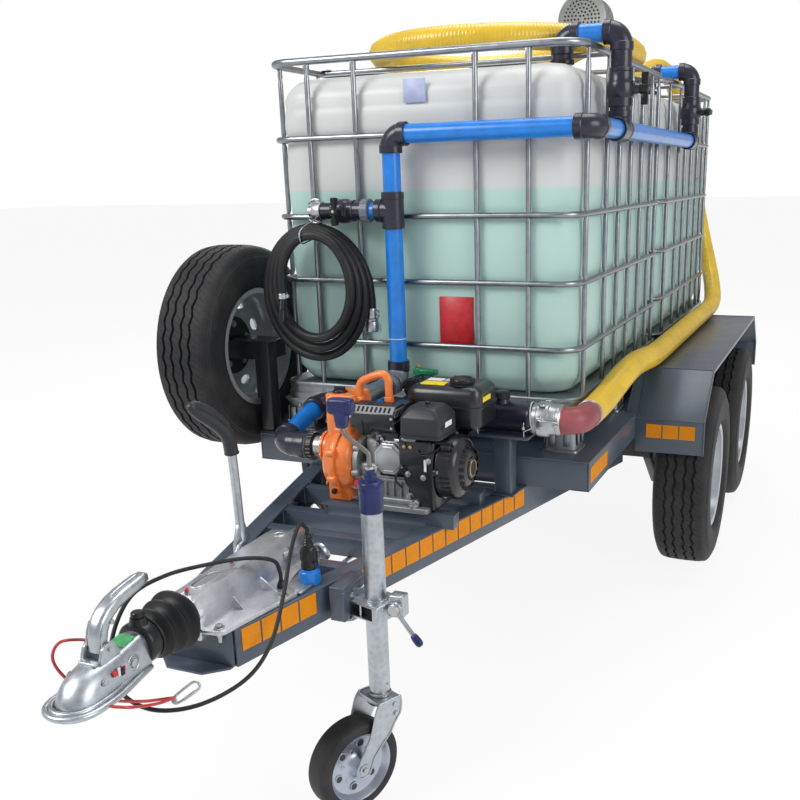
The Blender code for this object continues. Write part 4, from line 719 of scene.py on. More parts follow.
def tyre_rubber(c):
    """Tread rubber with fine cross cuts on the ribs and rings on the sidewall, on the tyre's own map."""
    f = Finish("tyre_rubber", c.tyre, 0.66, 0.0, Specular_IOR_Level=0.34)
    turn, across = f.surface("u"), f.surface("v")
    side = across.size()
    tread = 1 - side.span(0.070, 0.082)
    slant = turn * 96 + across * 34
    cut = (slant.fraction() - 0.5).size().span(0.035, 0.085)
    ring = (side * 2000).wave() * 0.5 + 0.5
    cloud = f.noise(7.0, 6.0, 0.7)
    dusty = cloud.span(0.42, 0.85) * 0.3
    f.set(Base_Color=f.blend(dusty, c.tyre, srgb(104, 100, 94)), Roughness=0.56 + cloud * 0.2)
    height = (tread * cut + (1 - tread) * (0.8 + ring * 0.2)) * 0.9 + f.noise(300.0, 3.0) * 0.1
    return f.bump(height, 0.0030, 0.9)


def tank_wall(c):
    """Milky plastic, tinted where water stands behind it, with painted shade that darkens it towards the bottom, soft
    streaks and cloudy thickness.
    """
    f = Finish("tank_wall", c.tank, 0.34, 0.0, Coat_Weight=0.08, Coat_Roughness=0.3, Specular_IOR_Level=0.36)
    level = sizes().water_level + DECK_TOP
    height = f.axis("Z")
    under = 1 - height.span(level - 0.006, level + 0.006)
    # Painted shade: under the water line the wall darkens towards the bottom, from 0.17 above the deck down.
    depth = 1 - height.span(DECK_TOP + 0.17, level)
    cloud = f.noise(2.6, 3.0, 0.5).span(0.3, 0.7)
    streak = f.noise(5.0, 3.0, 0.6, stretch=(1.0, 1.0, 0.12)).span(0.3, 0.7)
    dry = f.blend(cloud * 0.5 + streak * 0.3, tone(c.tank, 0.95), tone(c.tank, 1.06))
    wet = f.blend(depth, c.water, tone(c.water, 0.88))
    wet = f.blend(cloud * 0.30, wet, tone(c.water, 1.08))
    f.set(Base_Color=f.blend(under * 0.94, dry, wet), Roughness=0.30 + 0.12 * streak)
    return f.bump(f.noise(55.0, 3.0, 0.6) * 0.5 + cloud * 0.5, 0.0010, 0.35)


def hose_wall(c):
    """Yellow reinforced hose: glossy, clouded and lightly scuffed."""
    f = Finish("suction_hose", c.hose, 0.36, 0.0, Coat_Weight=0.35, Coat_Roughness=0.2)
    scuff = f.noise(26.0, 6.0, 0.75).span(0.5, 0.78)
    cloud = f.noise(6.0, 4.0, 0.6).span(0.3, 0.7)
    base = f.blend(cloud, tone(c.hose, 0.86), tone(c.hose, 1.12))
    f.set(Base_Color=f.blend(scuff * 0.28, base, srgb(150, 124, 52)), Roughness=0.30 + scuff * 0.2)
    return f.bump(f.noise(180.0, 3.0), 0.0004, 0.5)


def amber_tape(c):
    """Reflective tape with small glass cells."""
    f = Finish("amber_tape", c.amber, 0.5, 0.0, Specular_IOR_Level=0.25)
    cell = f.cells(420.0)
    cloud = f.noise(30.0, 4.0, 0.6).span(0.3, 0.72)
    mix = cell.span(0.15, 0.6) * 0.55 + cloud * 0.35
    f.set(Base_Color=f.blend(mix, tone(c.amber, 1.05), tone(c.amber, 0.74)),
          Roughness=0.44 + 0.2 * cell)
    return f.bump(cell, 0.0003, 0.5)


def brushed_label(name, color, second, scale=60.0):
    """A plain printed label."""
    f = Finish(name, color, 0.4)
    f.set(Base_Color=f.blend(f.noise(scale, 3.0, 0.6).span(0.4, 0.66), color, second),
          Roughness=0.34 + 0.15 * f.noise(80.0, 3.0))
    return f.bump(f.noise(300.0, 2.0), 0.0001, 0.4)


MAKERS = {
    "charcoal": lambda c: painted("charcoal_paint", c.charcoal, 0.36, 0.0005, 0.35),
    "black": lambda c: painted("black_paint", c.black, 0.42, 0.0004, 0.2),
    # Painted shade: a near-black finish for sheets and discs that stand in for the shade inside holes, slots and
    # slits.
    "dark": lambda c: moulded("painted_hollow_shade", (0.006, 0.006, 0.007), 0.7, 0.0),
    "zinc": lambda c: plated("zinc_plate", c.zinc, 0.30, 70.0),
    "cage": lambda c: plated("cage_tube", c.cage, 0.24, 38.0),
    "pan": lambda c: plated("pallet_sheet", c.cage, 0.34, 24.0),
    "bright": lambda c: plated("bright_steel", srgb(184, 187, 190), 0.28, 30.0, 1.0, (0.86, 1.06), 0.00005),
    "crank": lambda c: plated("crank_rod", srgb(134, 132, 128), 0.38, 30.0, 1.0, (0.85, 1.06), 0.00005),
    "roller": lambda c: plated("roller_disc", srgb(182, 188, 200), 0.28, 26.0, 1.0, (0.82, 1.08), 0.00008),
    "silver": lambda c: painted("rim_paint", c.silver, 0.34, 0.0003, 0.4, 0.05).set(Metallic=0.55),
    "housing": lambda c: cast("housing_casting", srgb(214, 216, 221), 0.33, 0.92, 0.0005),
    "casting": lambda c: cast("engine_casting", c.casting, 0.46, 0.75, 0.0006),
    "iron": lambda c: cast("dark_iron", srgb(84, 84, 86), 0.5, 0.8, 0.0006),
    "tyre": tyre_rubber,
    "tyre_plain": lambda c: rubbery("roller_rubber", c.tyre, 0.55, 0.22),
    "rubber": lambda c: rubbery("black_rubber", c.rubber, 0.42, 0.10),
    "tank": tank_wall,
    "blue": lambda c: moulded("blue_pipe", c.blue, 0.30, 0.4),
    "fitting": lambda c: moulded("slate_fitting", c.fitting, 0.30, 0.3),
    "pale_fitting": lambda c: moulded("grey_fitting", srgb(104, 112, 124), 0.34, 0.2),
    "plastic": lambda c: moulded("black_plastic", srgb(18, 19, 22), 0.34, 0.15, 0.0003),
    "orange": lambda c: cast("pump_paint", c.orange, 0.36, 0.0, 0.0009).set(Coat_Weight=0.5),
    "engine": lambda c: painted("engine_black", c.engine, 0.34, 0.0003, 0.4),
    "satin": lambda c: moulded("satin_black", srgb(40, 42, 47), 0.42, 0.08, 0.0004),
    "hose": hose_wall,
    "amber": amber_tape,
    "jockey": lambda c: moulded("jockey_blue", c.jockey, 0.36, 0.2),
    "green": lambda c: moulded("green_grip", c.green, 0.36, 0.3),
    "red": lambda c: moulded("red_coating", c.red, 0.36, 0.3),
    "brass": lambda c: plated("brass", (0.62, 0.44, 0.16), 0.28, 90.0),
    "sticker": lambda c: brushed_label("yellow_label", srgb(238, 214, 30), srgb(226, 200, 30)),
    "label": lambda c: brushed_label("pale_label", srgb(176, 184, 216), srgb(160, 168, 204), 26.0),
    "green_label": lambda c: brushed_label("green_label", srgb(126, 224, 156), srgb(108, 210, 142)),
    # Painted reflection: a light grey that stands in for the sky reflected on the black guard's bevel and side.
    "guard_painted_reflection": lambda c: painted("guard_painted_reflection", srgb(132, 134, 138), 0.32, 0.0002, 0.2),
    "notice": lambda c: brushed_label("red_label", srgb(196, 40, 46), srgb(176, 34, 42)),
    "pale": lambda c: moulded("pale_plastic", srgb(222, 224, 224), 0.4),
    "cuff": lambda c: moulded("rust_rubber", srgb(142, 72, 76), 0.46, 0.1),
    "clear_tie": lambda c: moulded("cable_tie", srgb(206, 210, 214), 0.35, 0.3),
}
made_finishes = {}


def use(name):
    if name not in made_finishes:
        made_finishes[name] = MAKERS[name](colors())
    return made_finishes[name]


class TRAILER_OT_stage(bpy.types.Operator):
    """Pale floor, soft studio light and the camera"""
    bl_idname = "trailer.stage"
    bl_label = "Stage"

    def execute(self, context):
        scene = context.scene
        floor = Finish("floor", (0.86, 0.86, 0.86), 0.9)
        ray = floor.node("ShaderNodeLightPath", {}, out="Is Camera Ray")
        glossy = floor.node("ShaderNodeLightPath", {}, out="Is Glossy Ray")
        white = floor.node("ShaderNodeEmission", {}, Color=(1, 1, 1, 1), Strength=1.0)
        mixed = floor.node("ShaderNodeMixShader", {}, ray.most(glossy) * 0.90)
        tree = floor.tree
        tree.links.new(floor.shader.outputs[0], mixed.socket.node.inputs[1])
        tree.links.new(white.socket, mixed.socket.node.inputs[2])
        tree.links.new(mixed.socket, tree.nodes["Material Output"].inputs["Surface"])
        part = bmesh.new()
        bmesh.ops.create_grid(part, x_segments=1, y_segments=1, size=60.0)
        mesh = bpy.data.meshes.new("floor")
        part.to_mesh(mesh)
        part.free()
        mesh.materials.append(floor.material)
        ground = bpy.data.objects.new("floor", mesh)
        ground.location.z = -0.0005
        scene.collection.objects.link(ground)
        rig.stage(ground)

        world = bpy.data.worlds.new("studio")
        scene.world = world
        world.use_nodes = True
        tree = world.node_tree
        back = tree.nodes["Background"]
        seen = tree.nodes.new("ShaderNodeLightPath")
        either = tree.nodes.new("ShaderNodeMath")
        either.operation = "MAXIMUM"
        tree.links.new(seen.outputs["Is Camera Ray"], either.inputs[0])
        tree.links.new(seen.outputs["Is Transmission Ray"], either.inputs[1])
        strength = tree.nodes.new("ShaderNodeMapRange")
        strength.inputs["To Min"].default_value = 0.47
        strength.inputs["To Max"].default_value = 1.0
        tree.links.new(either.outputs[0], strength.inputs["Value"])
        tree.links.new(strength.outputs[0], back.inputs["Strength"])
        back.inputs["Color"].default_value = (1.0, 1.0, 1.0, 1.0)

        for name, place, aim, size, power in (
                ("key", (-3.4, -4.6, 4.8), (0, -0.2, 0.8), 3.2, 262.0),
                ("fill", (5.2, -2.2, 3.0), (0, 0.2, 0.8), 3.5, 135.0),
                ("top", (0.2, 1.0, 6.2), (0, 0.4, 0.5), 4.0, 160.0),
                ("back", (-2.5, 5.5, 3.6), (0, 0.5, 1.0), 3.0, 105.0)):
            lamp = bpy.data.lights.new(name, "AREA")
            lamp.shape, lamp.size, lamp.energy = "DISK", size, power
            holder = bpy.data.objects.new(name, lamp)
            holder.location = place
            holder.rotation_euler = (Vector(aim) - Vector(place)).to_track_quat("-Z", "Y").to_euler()
            scene.collection.objects.link(holder)

        camera = bpy.data.cameras.new("photo_view")
        camera.sensor_width, camera.lens = 36.0, 42.979
        camera.shift_x, camera.shift_y = -0.06046, 0.07134
        camera.clip_end = 200.0
        eye = bpy.data.objects.new("photo_view", camera)
        eye.location = at(1.20743, -2.63973, 0.78835)
        eye.rotation_euler = (1.287899, 0.021885, 0.394581)
        scene.collection.objects.link(eye)
        scene.camera = eye
        scene.view_settings.view_transform = "Standard"
        return {"FINISHED"}


# Hoses and cables: routes as the frame has them

def resampled(route, step):
    """Points a step apart along a route."""
    out, need = [route[0]], step
    for start, end in zip(route, route[1:]):
        span = (end - start).length
        while span >= need:
            start = start + (end - start) * (need / span)
            out.append(start)
            span, need = (end - start).length, step
        need -= span
    return out + [route[-1]]


def length_of(route):
    return sum((b - a).length for a, b in zip(route, route[1:]))


SUCTION_HOSE, DELIVERY_HOSE, CABLE, SAFETY_CABLE = 0.08, 0.028, 0.009, 0.006
COIL_X, COIL_Z, HOSE_X, SUCTION_Z = 0.452, 1.1874, 0.548, 0.14
SUCTION_ROUTE = ((HOSE_X, -0.0447, SUCTION_Z), (HOSE_X, 0.04, SUCTION_Z), (0.552, 0.15, 0.152),
    (0.56, 0.3, 0.178), (0.566, 0.45, 0.19), (0.571, 0.6, 0.183), (0.574, 0.74, 0.1725),
    (0.576, 0.9, 0.1713), (0.576, 1.15, 0.1713), (0.577, 1.4, 0.1713), (0.578, 1.65, 0.1713),
    (0.579, 1.9, 0.1713), (0.58, 2.1, 0.174), (0.574, 2.24, 0.19), (0.552, 2.37, 0.245),
    (0.515, 2.475, 0.34), (0.47, 2.545, 0.47), (0.425, 2.575, 0.64), (0.385, 2.58, 0.83), (0.35, 2.57, 1),
    (0.32, 2.51, 1.15), (0.292, 2.4, 1.245), (0.268, 2.25, 1.275), (0.248, 2.08, 1.25), (0.235, 1.9, 1.208),
    (0.23, 1.72, 1.1885), (0.243, 1.54, COIL_Z), (0.28, 1.37, COIL_Z), (0.337, 1.21, COIL_Z),
    (0.397, 1.06, COIL_Z), (0.438, 0.92, COIL_Z), (COIL_X, 0.8, COIL_Z), (COIL_X, 0.7003, COIL_Z))
CABLE_ROUTE = ((0.122, -0.905, 0.0283), (0.122, -0.905, 0.042), (0.125, -0.94, 0.062), (0.138, -1, 0.026),
    (0.156, -1.07, -0.05), (0.162, -1.14, -0.128), (0.142, -1.21, -0.176), (0.09, -1.3, -0.194),
    (0.02, -1.356, -0.184), (-0.055, -1.355, -0.148), (-0.1, -1.305, -0.085), (-0.1, -1.24, -0.018),
    (-0.066, -1.17, 0.006), (-0.015, -1.095, 0.009), (0.036, -1.02, 0.002), (0.074, -0.975, -0.016),
    (0.084, -0.966, -0.048), (0.084, -0.966, -0.066))
SAFETY_ROUTE = ((0.0538, -1.49, -0.095), (0.066, -1.49, -0.095), (0.086, -1.468, -0.104),
    (0.097, -1.415, -0.124), (0.09, -1.36, -0.143), (0.058, -1.345, -0.16), (0.02, -1.385, -0.152),
    (-0.034, -1.436, -0.126), (-0.08, -1.452, -0.086), (-0.089, -1.466, -0.042), (-0.078, -1.456, -0.012),
    (-0.062, -1.424, -0.018), (-0.047, -1.4, -0.032), (-0.0343, -1.4, -0.032))


def suction_coil_route():
    """The loop on the front tank, drawing in and rising to the strainer."""
    route = []
    for step in range(21):
        turn = step / 24
        drawn, angle = 0.113 * turn, -2 * pi * turn
        route.append(at(0.03 + (0.422 - drawn) * cos(angle), 0.62 + (0.46 - drawn) * sin(angle),
            COIL_Z + max(0, turn - 0.62) ** 2 * 0.55))
    return route + [at(0.283, 0.862, COIL_Z + 0.044), at(0.324, 0.818, 1.248), at(0.35, 0.765, 1.262),
        at(0.35, 0.68, 1.262)]


def delivery_route():
    """From the nozzle, down at the left, over the top and round to the coupler at the right."""
    route = []
    for step in range(85):
        turn = step / 24
        angle = pi - 2 * pi * turn
        route.append(at(-0.266 - 0.0165 * turn + (0.11 + 0.022 * turn) * cos(angle), -0.156 + 0.033 * turn,
            0.5005 - 0.015 * turn + (0.1385 + 0.0205 * turn) * sin(angle)))
    drop = Vector((0, 0, -DELIVERY_HOSE - 0.002))
    return [route[0] + drop] + route + [route[-1] + drop]


class TRAILER_OT_suction_hose(bpy.types.Operator):
    """Yellow ribbed hose, its end clamp and the strainer on its far end"""
    bl_idname = "trailer.suction_hose"
    bl_label = "Suction Hose"

    def execute(self, context):
        spine = smooth_route([at(*point) for point in SUCTION_ROUTE] + suction_coil_route()[1:], 4)
        pitch = sizes().hose_rib
        route = resampled(spine + [spine[-1] + Vector((0, -0.022, 0))], pitch / 3)
        crest, valley = 1, 0.945
        radii = [valley if index % 3 == 0 else crest for index in range(len(route))]
        hose = Shape()
        hose.tube(route, SUCTION_HOSE / 2, use("hose"), 4, radii=radii)
        hose = hose.done("suction_hose_wall", "trailer", "yellow_hose",
            ("suction_hose", "suction_hose_coil"), 80)

        end, back = spine[-1], -Y
        basket = Shape()
        basket.solid([(0, 0.04), (0.002, 0.044), (0.02, 0.044), (0.022, 0.04)], end + back * 0.0003, back,
            use("fitting"), 40)
        for turn in range(3):
            basket.torus(end + back * (0.005 + 0.006 * turn), back, 0.044, 0.0016, use("bright"), 40, 8)
        place = end + back * 0.024
        profile = [(0, 0), (0, 0.06), (0.003, 0.07), (0.012, 0.0765)]
        for index in range(12):
            low = 0.014 + index * 0.0083
            profile += [(low, 0.0765), (low + 0.001, 0.0742), (low + 0.0052, 0.0742), (low + 0.0062, 0.0765)]
        profile += [(0.1165, 0.0772), (0.119, 0.077), (0.123, 0.072), (0.1215, 0.066), (0.1215, 0)]
        basket.turned(profile, place, back, use("casting"), 60)
        # Painted shade: near-black discs on the strainer's end stand in for its holes.
        for ring in range(1, 6):
            for angle in around(6 * ring):
                spot = place + back * 0.1213 + Vector((0.011 * ring * cos(angle), 0,
                    0.011 * ring * sin(angle)))
                basket.rod(spot, spot + back * 0.0012, 0.003, use("dark"), 8)
        for angle in around(36):
            out = Vector((cos(angle), 0, sin(angle)))
            basket.rod(place + back * 0.014 + out * 0.0762, place + back * 0.113 + out * 0.0762, 0.0011,
                use("casting"), 6)
        strainer = basket.done("strainer_basket", "trailer", "engine_casting", "strainer")
        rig.cord(hose, exit=at(HOSE_X, -0.0447, SUCTION_Z), length=round(length_of(route), 3),
            diameter=SUCTION_HOSE, far_end="fitting", stiffness="stiff", lay="coiled",
            path=route[::6] + [route[-1]], with_pieces=[strainer])
        return {"FINISHED"}


class TRAILER_OT_delivery_hose(bpy.types.Operator):
    """Black hose in hanging loops, with its spray nozzle, its coupler and their clamps"""
    bl_idname = "trailer.delivery_hose"
    bl_label = "Delivery Hose"

    def execute(self, context):
        anchor = delivery_route()
        spine = anchor[:1] + smooth_route(anchor[1:-1], 5) + anchor[-1:]
        route = resampled(spine, 0.006)
        hose = Shape()
        hose.tube(route, DELIVERY_HOSE / 2, use("rubber"), 5)
        hose = hose.done("delivery_hose_wall", "trailer", "black_rubber", "delivery_hose", 60)

        tip = route[0] + Vector((0, 0, -0.0003))
        nozzle = Shape()
        down = -Z
        nozzle.solid([(0, 0.0142), (0.016, 0.0142)], tip, down, use("bright"), 28)
        for drop in (0.003, 0.013):
            nozzle.torus(tip + down * drop, down, 0.0142, 0.001, use("bright"), 28, 8)
        nozzle.box(tip + Vector((0.012, -0.004, -0.013)), tip + Vector((0.022, 0.004, -0.004)),
            use("bright"), 0.001)
        lean = Vector((-0.006, -0.006, -0.072)).normalized()
        profile = [(0, 0), (0, 0.0105), (0.006, 0.0125), (0.01, 0.0105)]
        for index in range(5):
            low = 0.012 + index * 0.005
            profile += [(low, 0.0108), (low + 0.002, 0.012), (low + 0.004, 0.0108)]
        profile += [(0.04, 0.0112), (0.052, 0.0128), (0.066, 0.0142), (0.07, 0.0142), (0.071, 0.012),
            (0.066, 0.008), (0.062, 0)]
        nozzle.turned(profile, tip + down * 0.014, lean, use("plastic"), 28)
        nozzle = nozzle.done("nozzle", "trailer", "black_plastic", "spray_nozzle")

        start = route[-1] + Vector((0, 0, -0.0003))
        coupler = Shape()
        coupler.solid([(0, 0.015), (0.004, 0.016), (0.03, 0.016), (0.032, 0.0195), (0.036, 0.02),
            (0.04, 0.0185), (0.044, 0.02), (0.066, 0.02), (0.07, 0.0192), (0.072, 0.017), (0.062, 0.015)],
            start, down, use("bright"), 36)
        for low in (0.006, 0.02):
            coupler.turned([(low, 0.0162), (low + 0.0004, 0.0172), (low + 0.0075, 0.0172),
                (low + 0.008, 0.0162)], start, down, use("bright"), 36)
            coupler.box(start + Vector((0.014, -0.005, -low - 0.008)),
                start + Vector((0.0235, 0.005, -low)), use("bright"), 0.001)
            coupler.rod(start + Vector((0.019, -0.0075, -low - 0.004)),
                start + Vector((0.019, 0.0075, -low - 0.004)), 0.0024, use("bright"), 12)
        for side in (-1, 1):
            coupler.tube(rounded([start + Vector((side * 0.02, 0, -0.048)),
                start + Vector((side * 0.0265, 0, -0.05)), start + Vector((side * 0.027, 0, -0.068))],
                0.004), 0.0026, use("bright"), 4)
            coupler.torus(start + Vector((side * 0.0235, -0.002, -0.0685)), Vector((0.3 * side, 1, 0)),
                0.0062, 0.0009, use("zinc"), 28, 8)
        coupler = coupler.done("hose_coupler", "trailer", "galvanised_steel", "delivery_hose_coupler")
        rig.cord(hose, exit=route[-1], length=round(length_of(route), 3), diameter=DELIVERY_HOSE,
            far_end="fitting", stiffness="medium", lay="hanging", path=(route[::3] + [route[-1]])[::-1],
            with_pieces=[nozzle, coupler])
        return {"FINISHED"}


class TRAILER_OT_cables(bpy.types.Operator):
    """Lamp cable with its plug, and the red safety cable with its spring hook"""
    bl_idname = "trailer.cables"
    bl_label = "Cables"

    def execute(self, context):
        points = [at(*point) for point in CABLE_ROUTE][::-1]
        route = points[:1] + smooth_route(points[1:-1], 8) + points[-1:]
        cable = Shape()
        cable.tube(route, CABLE / 2, use("rubber"), 4)
        cable = cable.done("lamp_cable", "trailer", "black_rubber", "plug_cable", 60)
        foot = Vector((points[-1].x, points[-1].y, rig.box("cable_plug")[0].z))
        plug = Shape()
        plug.solid([(0, 0.0175), (0.002, 0.0188), (0.01, 0.0188), (0.012, 0.0176), (0.018, 0.0176),
            (0.02, 0.0188), (0.044, 0.0185), (0.05, 0.016), (0.052, 0.012), (0.058, 0.0125),
            (0.061, 0.0105), (0.064, 0.0115), (0.067, 0.0092), (0.07, 0.0102), (0.073, 0.008),
            (0.076, 0.0088), (0.0815, 0.0058)], foot, Z, use("plastic"), 40)
        plug.ridges(foot, 20, (0.0185, 0.021), (0.0183, 0.042), 0.0011, use("plastic"))
        plug = plug.done("plug", "trailer", "black_plastic", "cable_plug")
        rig.cord(cable, exit=points[0], length=round(length_of(route), 3), diameter=CABLE, far_end="plug",
            stiffness="limp", lay="hanging", path=route, with_pieces=[plug])

        points = [at(*point) for point in SAFETY_ROUTE]
        route = points[:1] + smooth_route(points[1:-1], 8) + points[-1:]
        safety = Shape()
        safety.tube(route, SAFETY_CABLE / 2, use("red"), 4)
        safety = safety.done("safety_cable", "coupling", "red_cable", "breakaway_cable", 60)
        link, steel = Shape(), use("bright")
        tip, foot = at(0.1184, -1.3255, -0.1299), at(0.0905, -1.3605, -0.15)
        scale = (foot - tip).length / 0.074
        along = (foot - tip).normalized() * scale
        side = along.cross(Vector((0.567, -0.674, 0.476))).normalized() * scale
        loop = [tip + along * a + side * b for a, b in ((-0.006, 0), (-0.003, 0.0095), (0.01, 0.015),
            (0.058, 0.012), (0.074, 0.008), (0.08, 0), (0.074, -0.008), (0.058, -0.011), (0.01, -0.011),
            (-0.003, -0.008))]
        link.tube(smooth_route(loop + loop[:1], 5)[:-1], 0.0026, steel, 6, closed=True)
        link.rod(tip + along * 0.012 - side * 0.0112, tip + along * 0.054 - side * 0.0114, 0.0032, steel,
            20, bevel=0.0006)
        pin, half = tip + along * 0.074, along.cross(side).normalized() * 0.0045
        link.rod(pin - half, pin + half, 0.0052, steel, 24, bevel=0.0008)
        link = link.done("spring_hook", "coupling", "galvanised_steel")
        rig.cord(safety, exit=points[0], length=round(length_of(route), 3), diameter=SAFETY_CABLE,
            far_end="object", stiffness="limp", lay="hanging", path=route, with_pieces=[link])
        return {"FINISHED"}


# Tanks: bottles, cages, pallets and lids

TANKS = (("front", 0), ("rear", TANK_PITCH))
RINGS = (0.304, 0.4945, 0.686, 0.916)
BAR_FOOT, BAR_HEAD = 0.128, 1.133
TANK_HALF, TANK_LENGTH = 0.5, 1.2
FRONT_BARS = (-0.346, -0.19, 0.19, 0.346)
SIDE_BARS = (0.095, 0.33, 0.495, 0.66, 0.83, 0.99, 1.105)


def plan(half_x, front, back, radius, z, steps=6):
    """A round-cornered outline at a height."""
    middle = (front + back) / 2
    return [at(x, middle + y, z) for x, y in round_outline(2 * half_x, back - front, radius, steps)]


def upright(cage, x, y, out, finish):
    """An upright bar, pinched where the rings are welded to it and flattened at its top."""
    welds = [ring + step for ring in RINGS for step in (-0.02, -0.008, 0.008, 0.02)]
    points, radii = [], []
    for z in sorted({BAR_FOOT, BAR_HEAD, BAR_HEAD - 0.05, BAR_HEAD - 0.035, *welds}):
        near = min(abs(z - ring) for ring in RINGS) < 0.01
        points.append(at(x, y, z) + out * (0.0016 if near else 0))
        radii.append(0.7 if z > BAR_HEAD - 0.04 else 0.72 if near else 1)
    return cage.tube(points, sizes().bar_radius, finish, 3, radii=radii)


class TRAILER_OT_tanks(bpy.types.Operator):
    """Two water tanks: moulded bottles with their lids and plain labels"""
    bl_idname = "trailer.tanks"
    bl_label = "Tanks"

    def execute(self, context):
        for name, front in TANKS:
            wall = use("tank")
            levels = [(0.1655, 0.06), (0.17, 0.034), (0.182, 0.022), (0.2, 0.0125)]
            for low, high in zip((0.2,) + RINGS, RINGS + (1.005,)):
                for step in range(1, 9):
                    t = step / 8
                    levels.append((low + (high - low) * t, 0.0055 * (1 - sin(pi * t)) ** 1.5 + 0.0006))
            levels += [(1.03, 0.0045), (1.05, 0.012), (1.068, 0.025), (1.082, 0.042), (1.0915, 0.066),
                (1.096, 0.095)]
            tank = Shape()
            sections = [plan(0.479 - inset, front + 0.021 + inset, front + 1.179 - inset,
                max(0.03, 0.092 - inset * 0.5), z, 8) for z, inset in levels]
            tank.loft(sections, wall)
            middle = front + 0.6
            for side in (-1, 1):
                for y in (-0.36, 0.36):
                    tank.plate(round_outline(0.26, 0.3, 0.07, 5), 0.0035, wall,
                        move(at(side * 0.24, middle + y, 1.0955)), 0.003)
            tank.solid([(0, 0.104), (0.008, 0.1), (0.012, 0.0865), (0.019, 0.0865)], at(0, middle, 1.0945),
                Z, wall, 48)
            for z in (0.004, 0.0095):
                tank.torus(at(0, middle, 1.103 + z), Z, 0.0865, 0.0022, wall, 48, 8)
            if name == "front":
                self.lid(tank, at(0, middle, 1.1135))
            tank.box(at(-0.035, front + 0.0195, 1.0025), at(0.035, front + 0.0208, 1.0675), use("label"),
                0.0004, 1)
            if name == "front":
                tank.box(at(0.062, front + 0.0195, 0.311), at(0.172, front + 0.0208, 0.451), use("notice"),
                    0.0004, 1)
            tank.done(f"{name}_tank", "trailer", "tank_plastic", f"{name}_bottle", 50)
        lid = Shape()
        self.lid(lid, at(0, TANK_PITCH + 0.6, 1.1155))
        lid.done("rear_lid_cap", "rear_lid", "black_plastic", "rear_tank_lid")
        return {"FINISHED"}

    def lid(self, shape, foot):
        finish = use("plastic")
        shape.solid([(0, 0.094), (0.002, 0.0946), (0.014, 0.0946), (0.0178, 0.09), (0.019, 0.082),
            (0.017, 0.078), (0.016, 0.05), (0.0175, 0.046), (0.0192, 0.03)], foot, Z, finish, 64)
        shape.ridges(foot, 40, (0.0945, 0.002), (0.0938, 0.014), 0.0016, finish)
        for index in range(6):
            shape.box((0.05, -0.003, 0), (0.078, 0.003, 0.003), finish, 0.0008,
                place=move(foot + Z * 0.016) @ Matrix.Rotation(index * pi / 3, 4, "Z"))


class TRAILER_OT_cages(bpy.types.Operator):
    """Galvanised tube cages: bent rings, pinched uprights and top bars"""
    bl_idname = "trailer.cages"
    bl_label = "Cages"

    def execute(self, context):
        steel, ring = use("cage"), sizes().ring_radius
        for name, front in TANKS:
            cage = Shape()
            for z in RINGS:
                cage.tube(plan(TANK_HALF - ring, front + ring, front + TANK_LENGTH - ring, 0.082, z, 9),
                    ring, steel, 5, closed=True)
            cage.tube(plan(0.489, front + 0.011, front + 1.189, 0.08, 1.134, 9), 0.0108, steel, 6,
                closed=True)
            inset = 0.01
            for x in FRONT_BARS:
                for y, out in ((front + inset, -Y), (front + TANK_LENGTH - inset, Y)):
                    upright(cage, x, y, out, steel)
                    cage.box(at(x - 0.0095, y - 0.003, 1.098), at(x + 0.0095, y + 0.003, 1.13), steel, 0.0012)
            for y in SIDE_BARS:
                for x, out in ((-TANK_HALF + inset, -X), (TANK_HALF - inset, X)):
                    upright(cage, x, front + y, out, steel)
                    cage.box(at(x - 0.003, front + y - 0.0095, 1.098),
                        at(x + 0.003, front + y + 0.0095, 1.13), steel, 0.0012)
            for y in (0.3625, 0.8625):
                cage.tube([at(-0.486, front + y, 1.136), at(0.486, front + y, 1.136)], 0.0078, steel, 4)
                for side in (-1, 1):
                    cage.plate(round_outline(0.034, 0.03, 0.006, 3), 0.003, steel,
                        move(at(side * 0.474, front + y, 1.143)), 0.0008)
                    cage.bolt(at(side * 0.474, front + y, 1.1455), Z, 0.0052, use("bright"), False)
            cage.done(f"{name}_tube_cage", "trailer", "cage_steel", f"{name}_cage", 40)
        return {"FINISHED"}


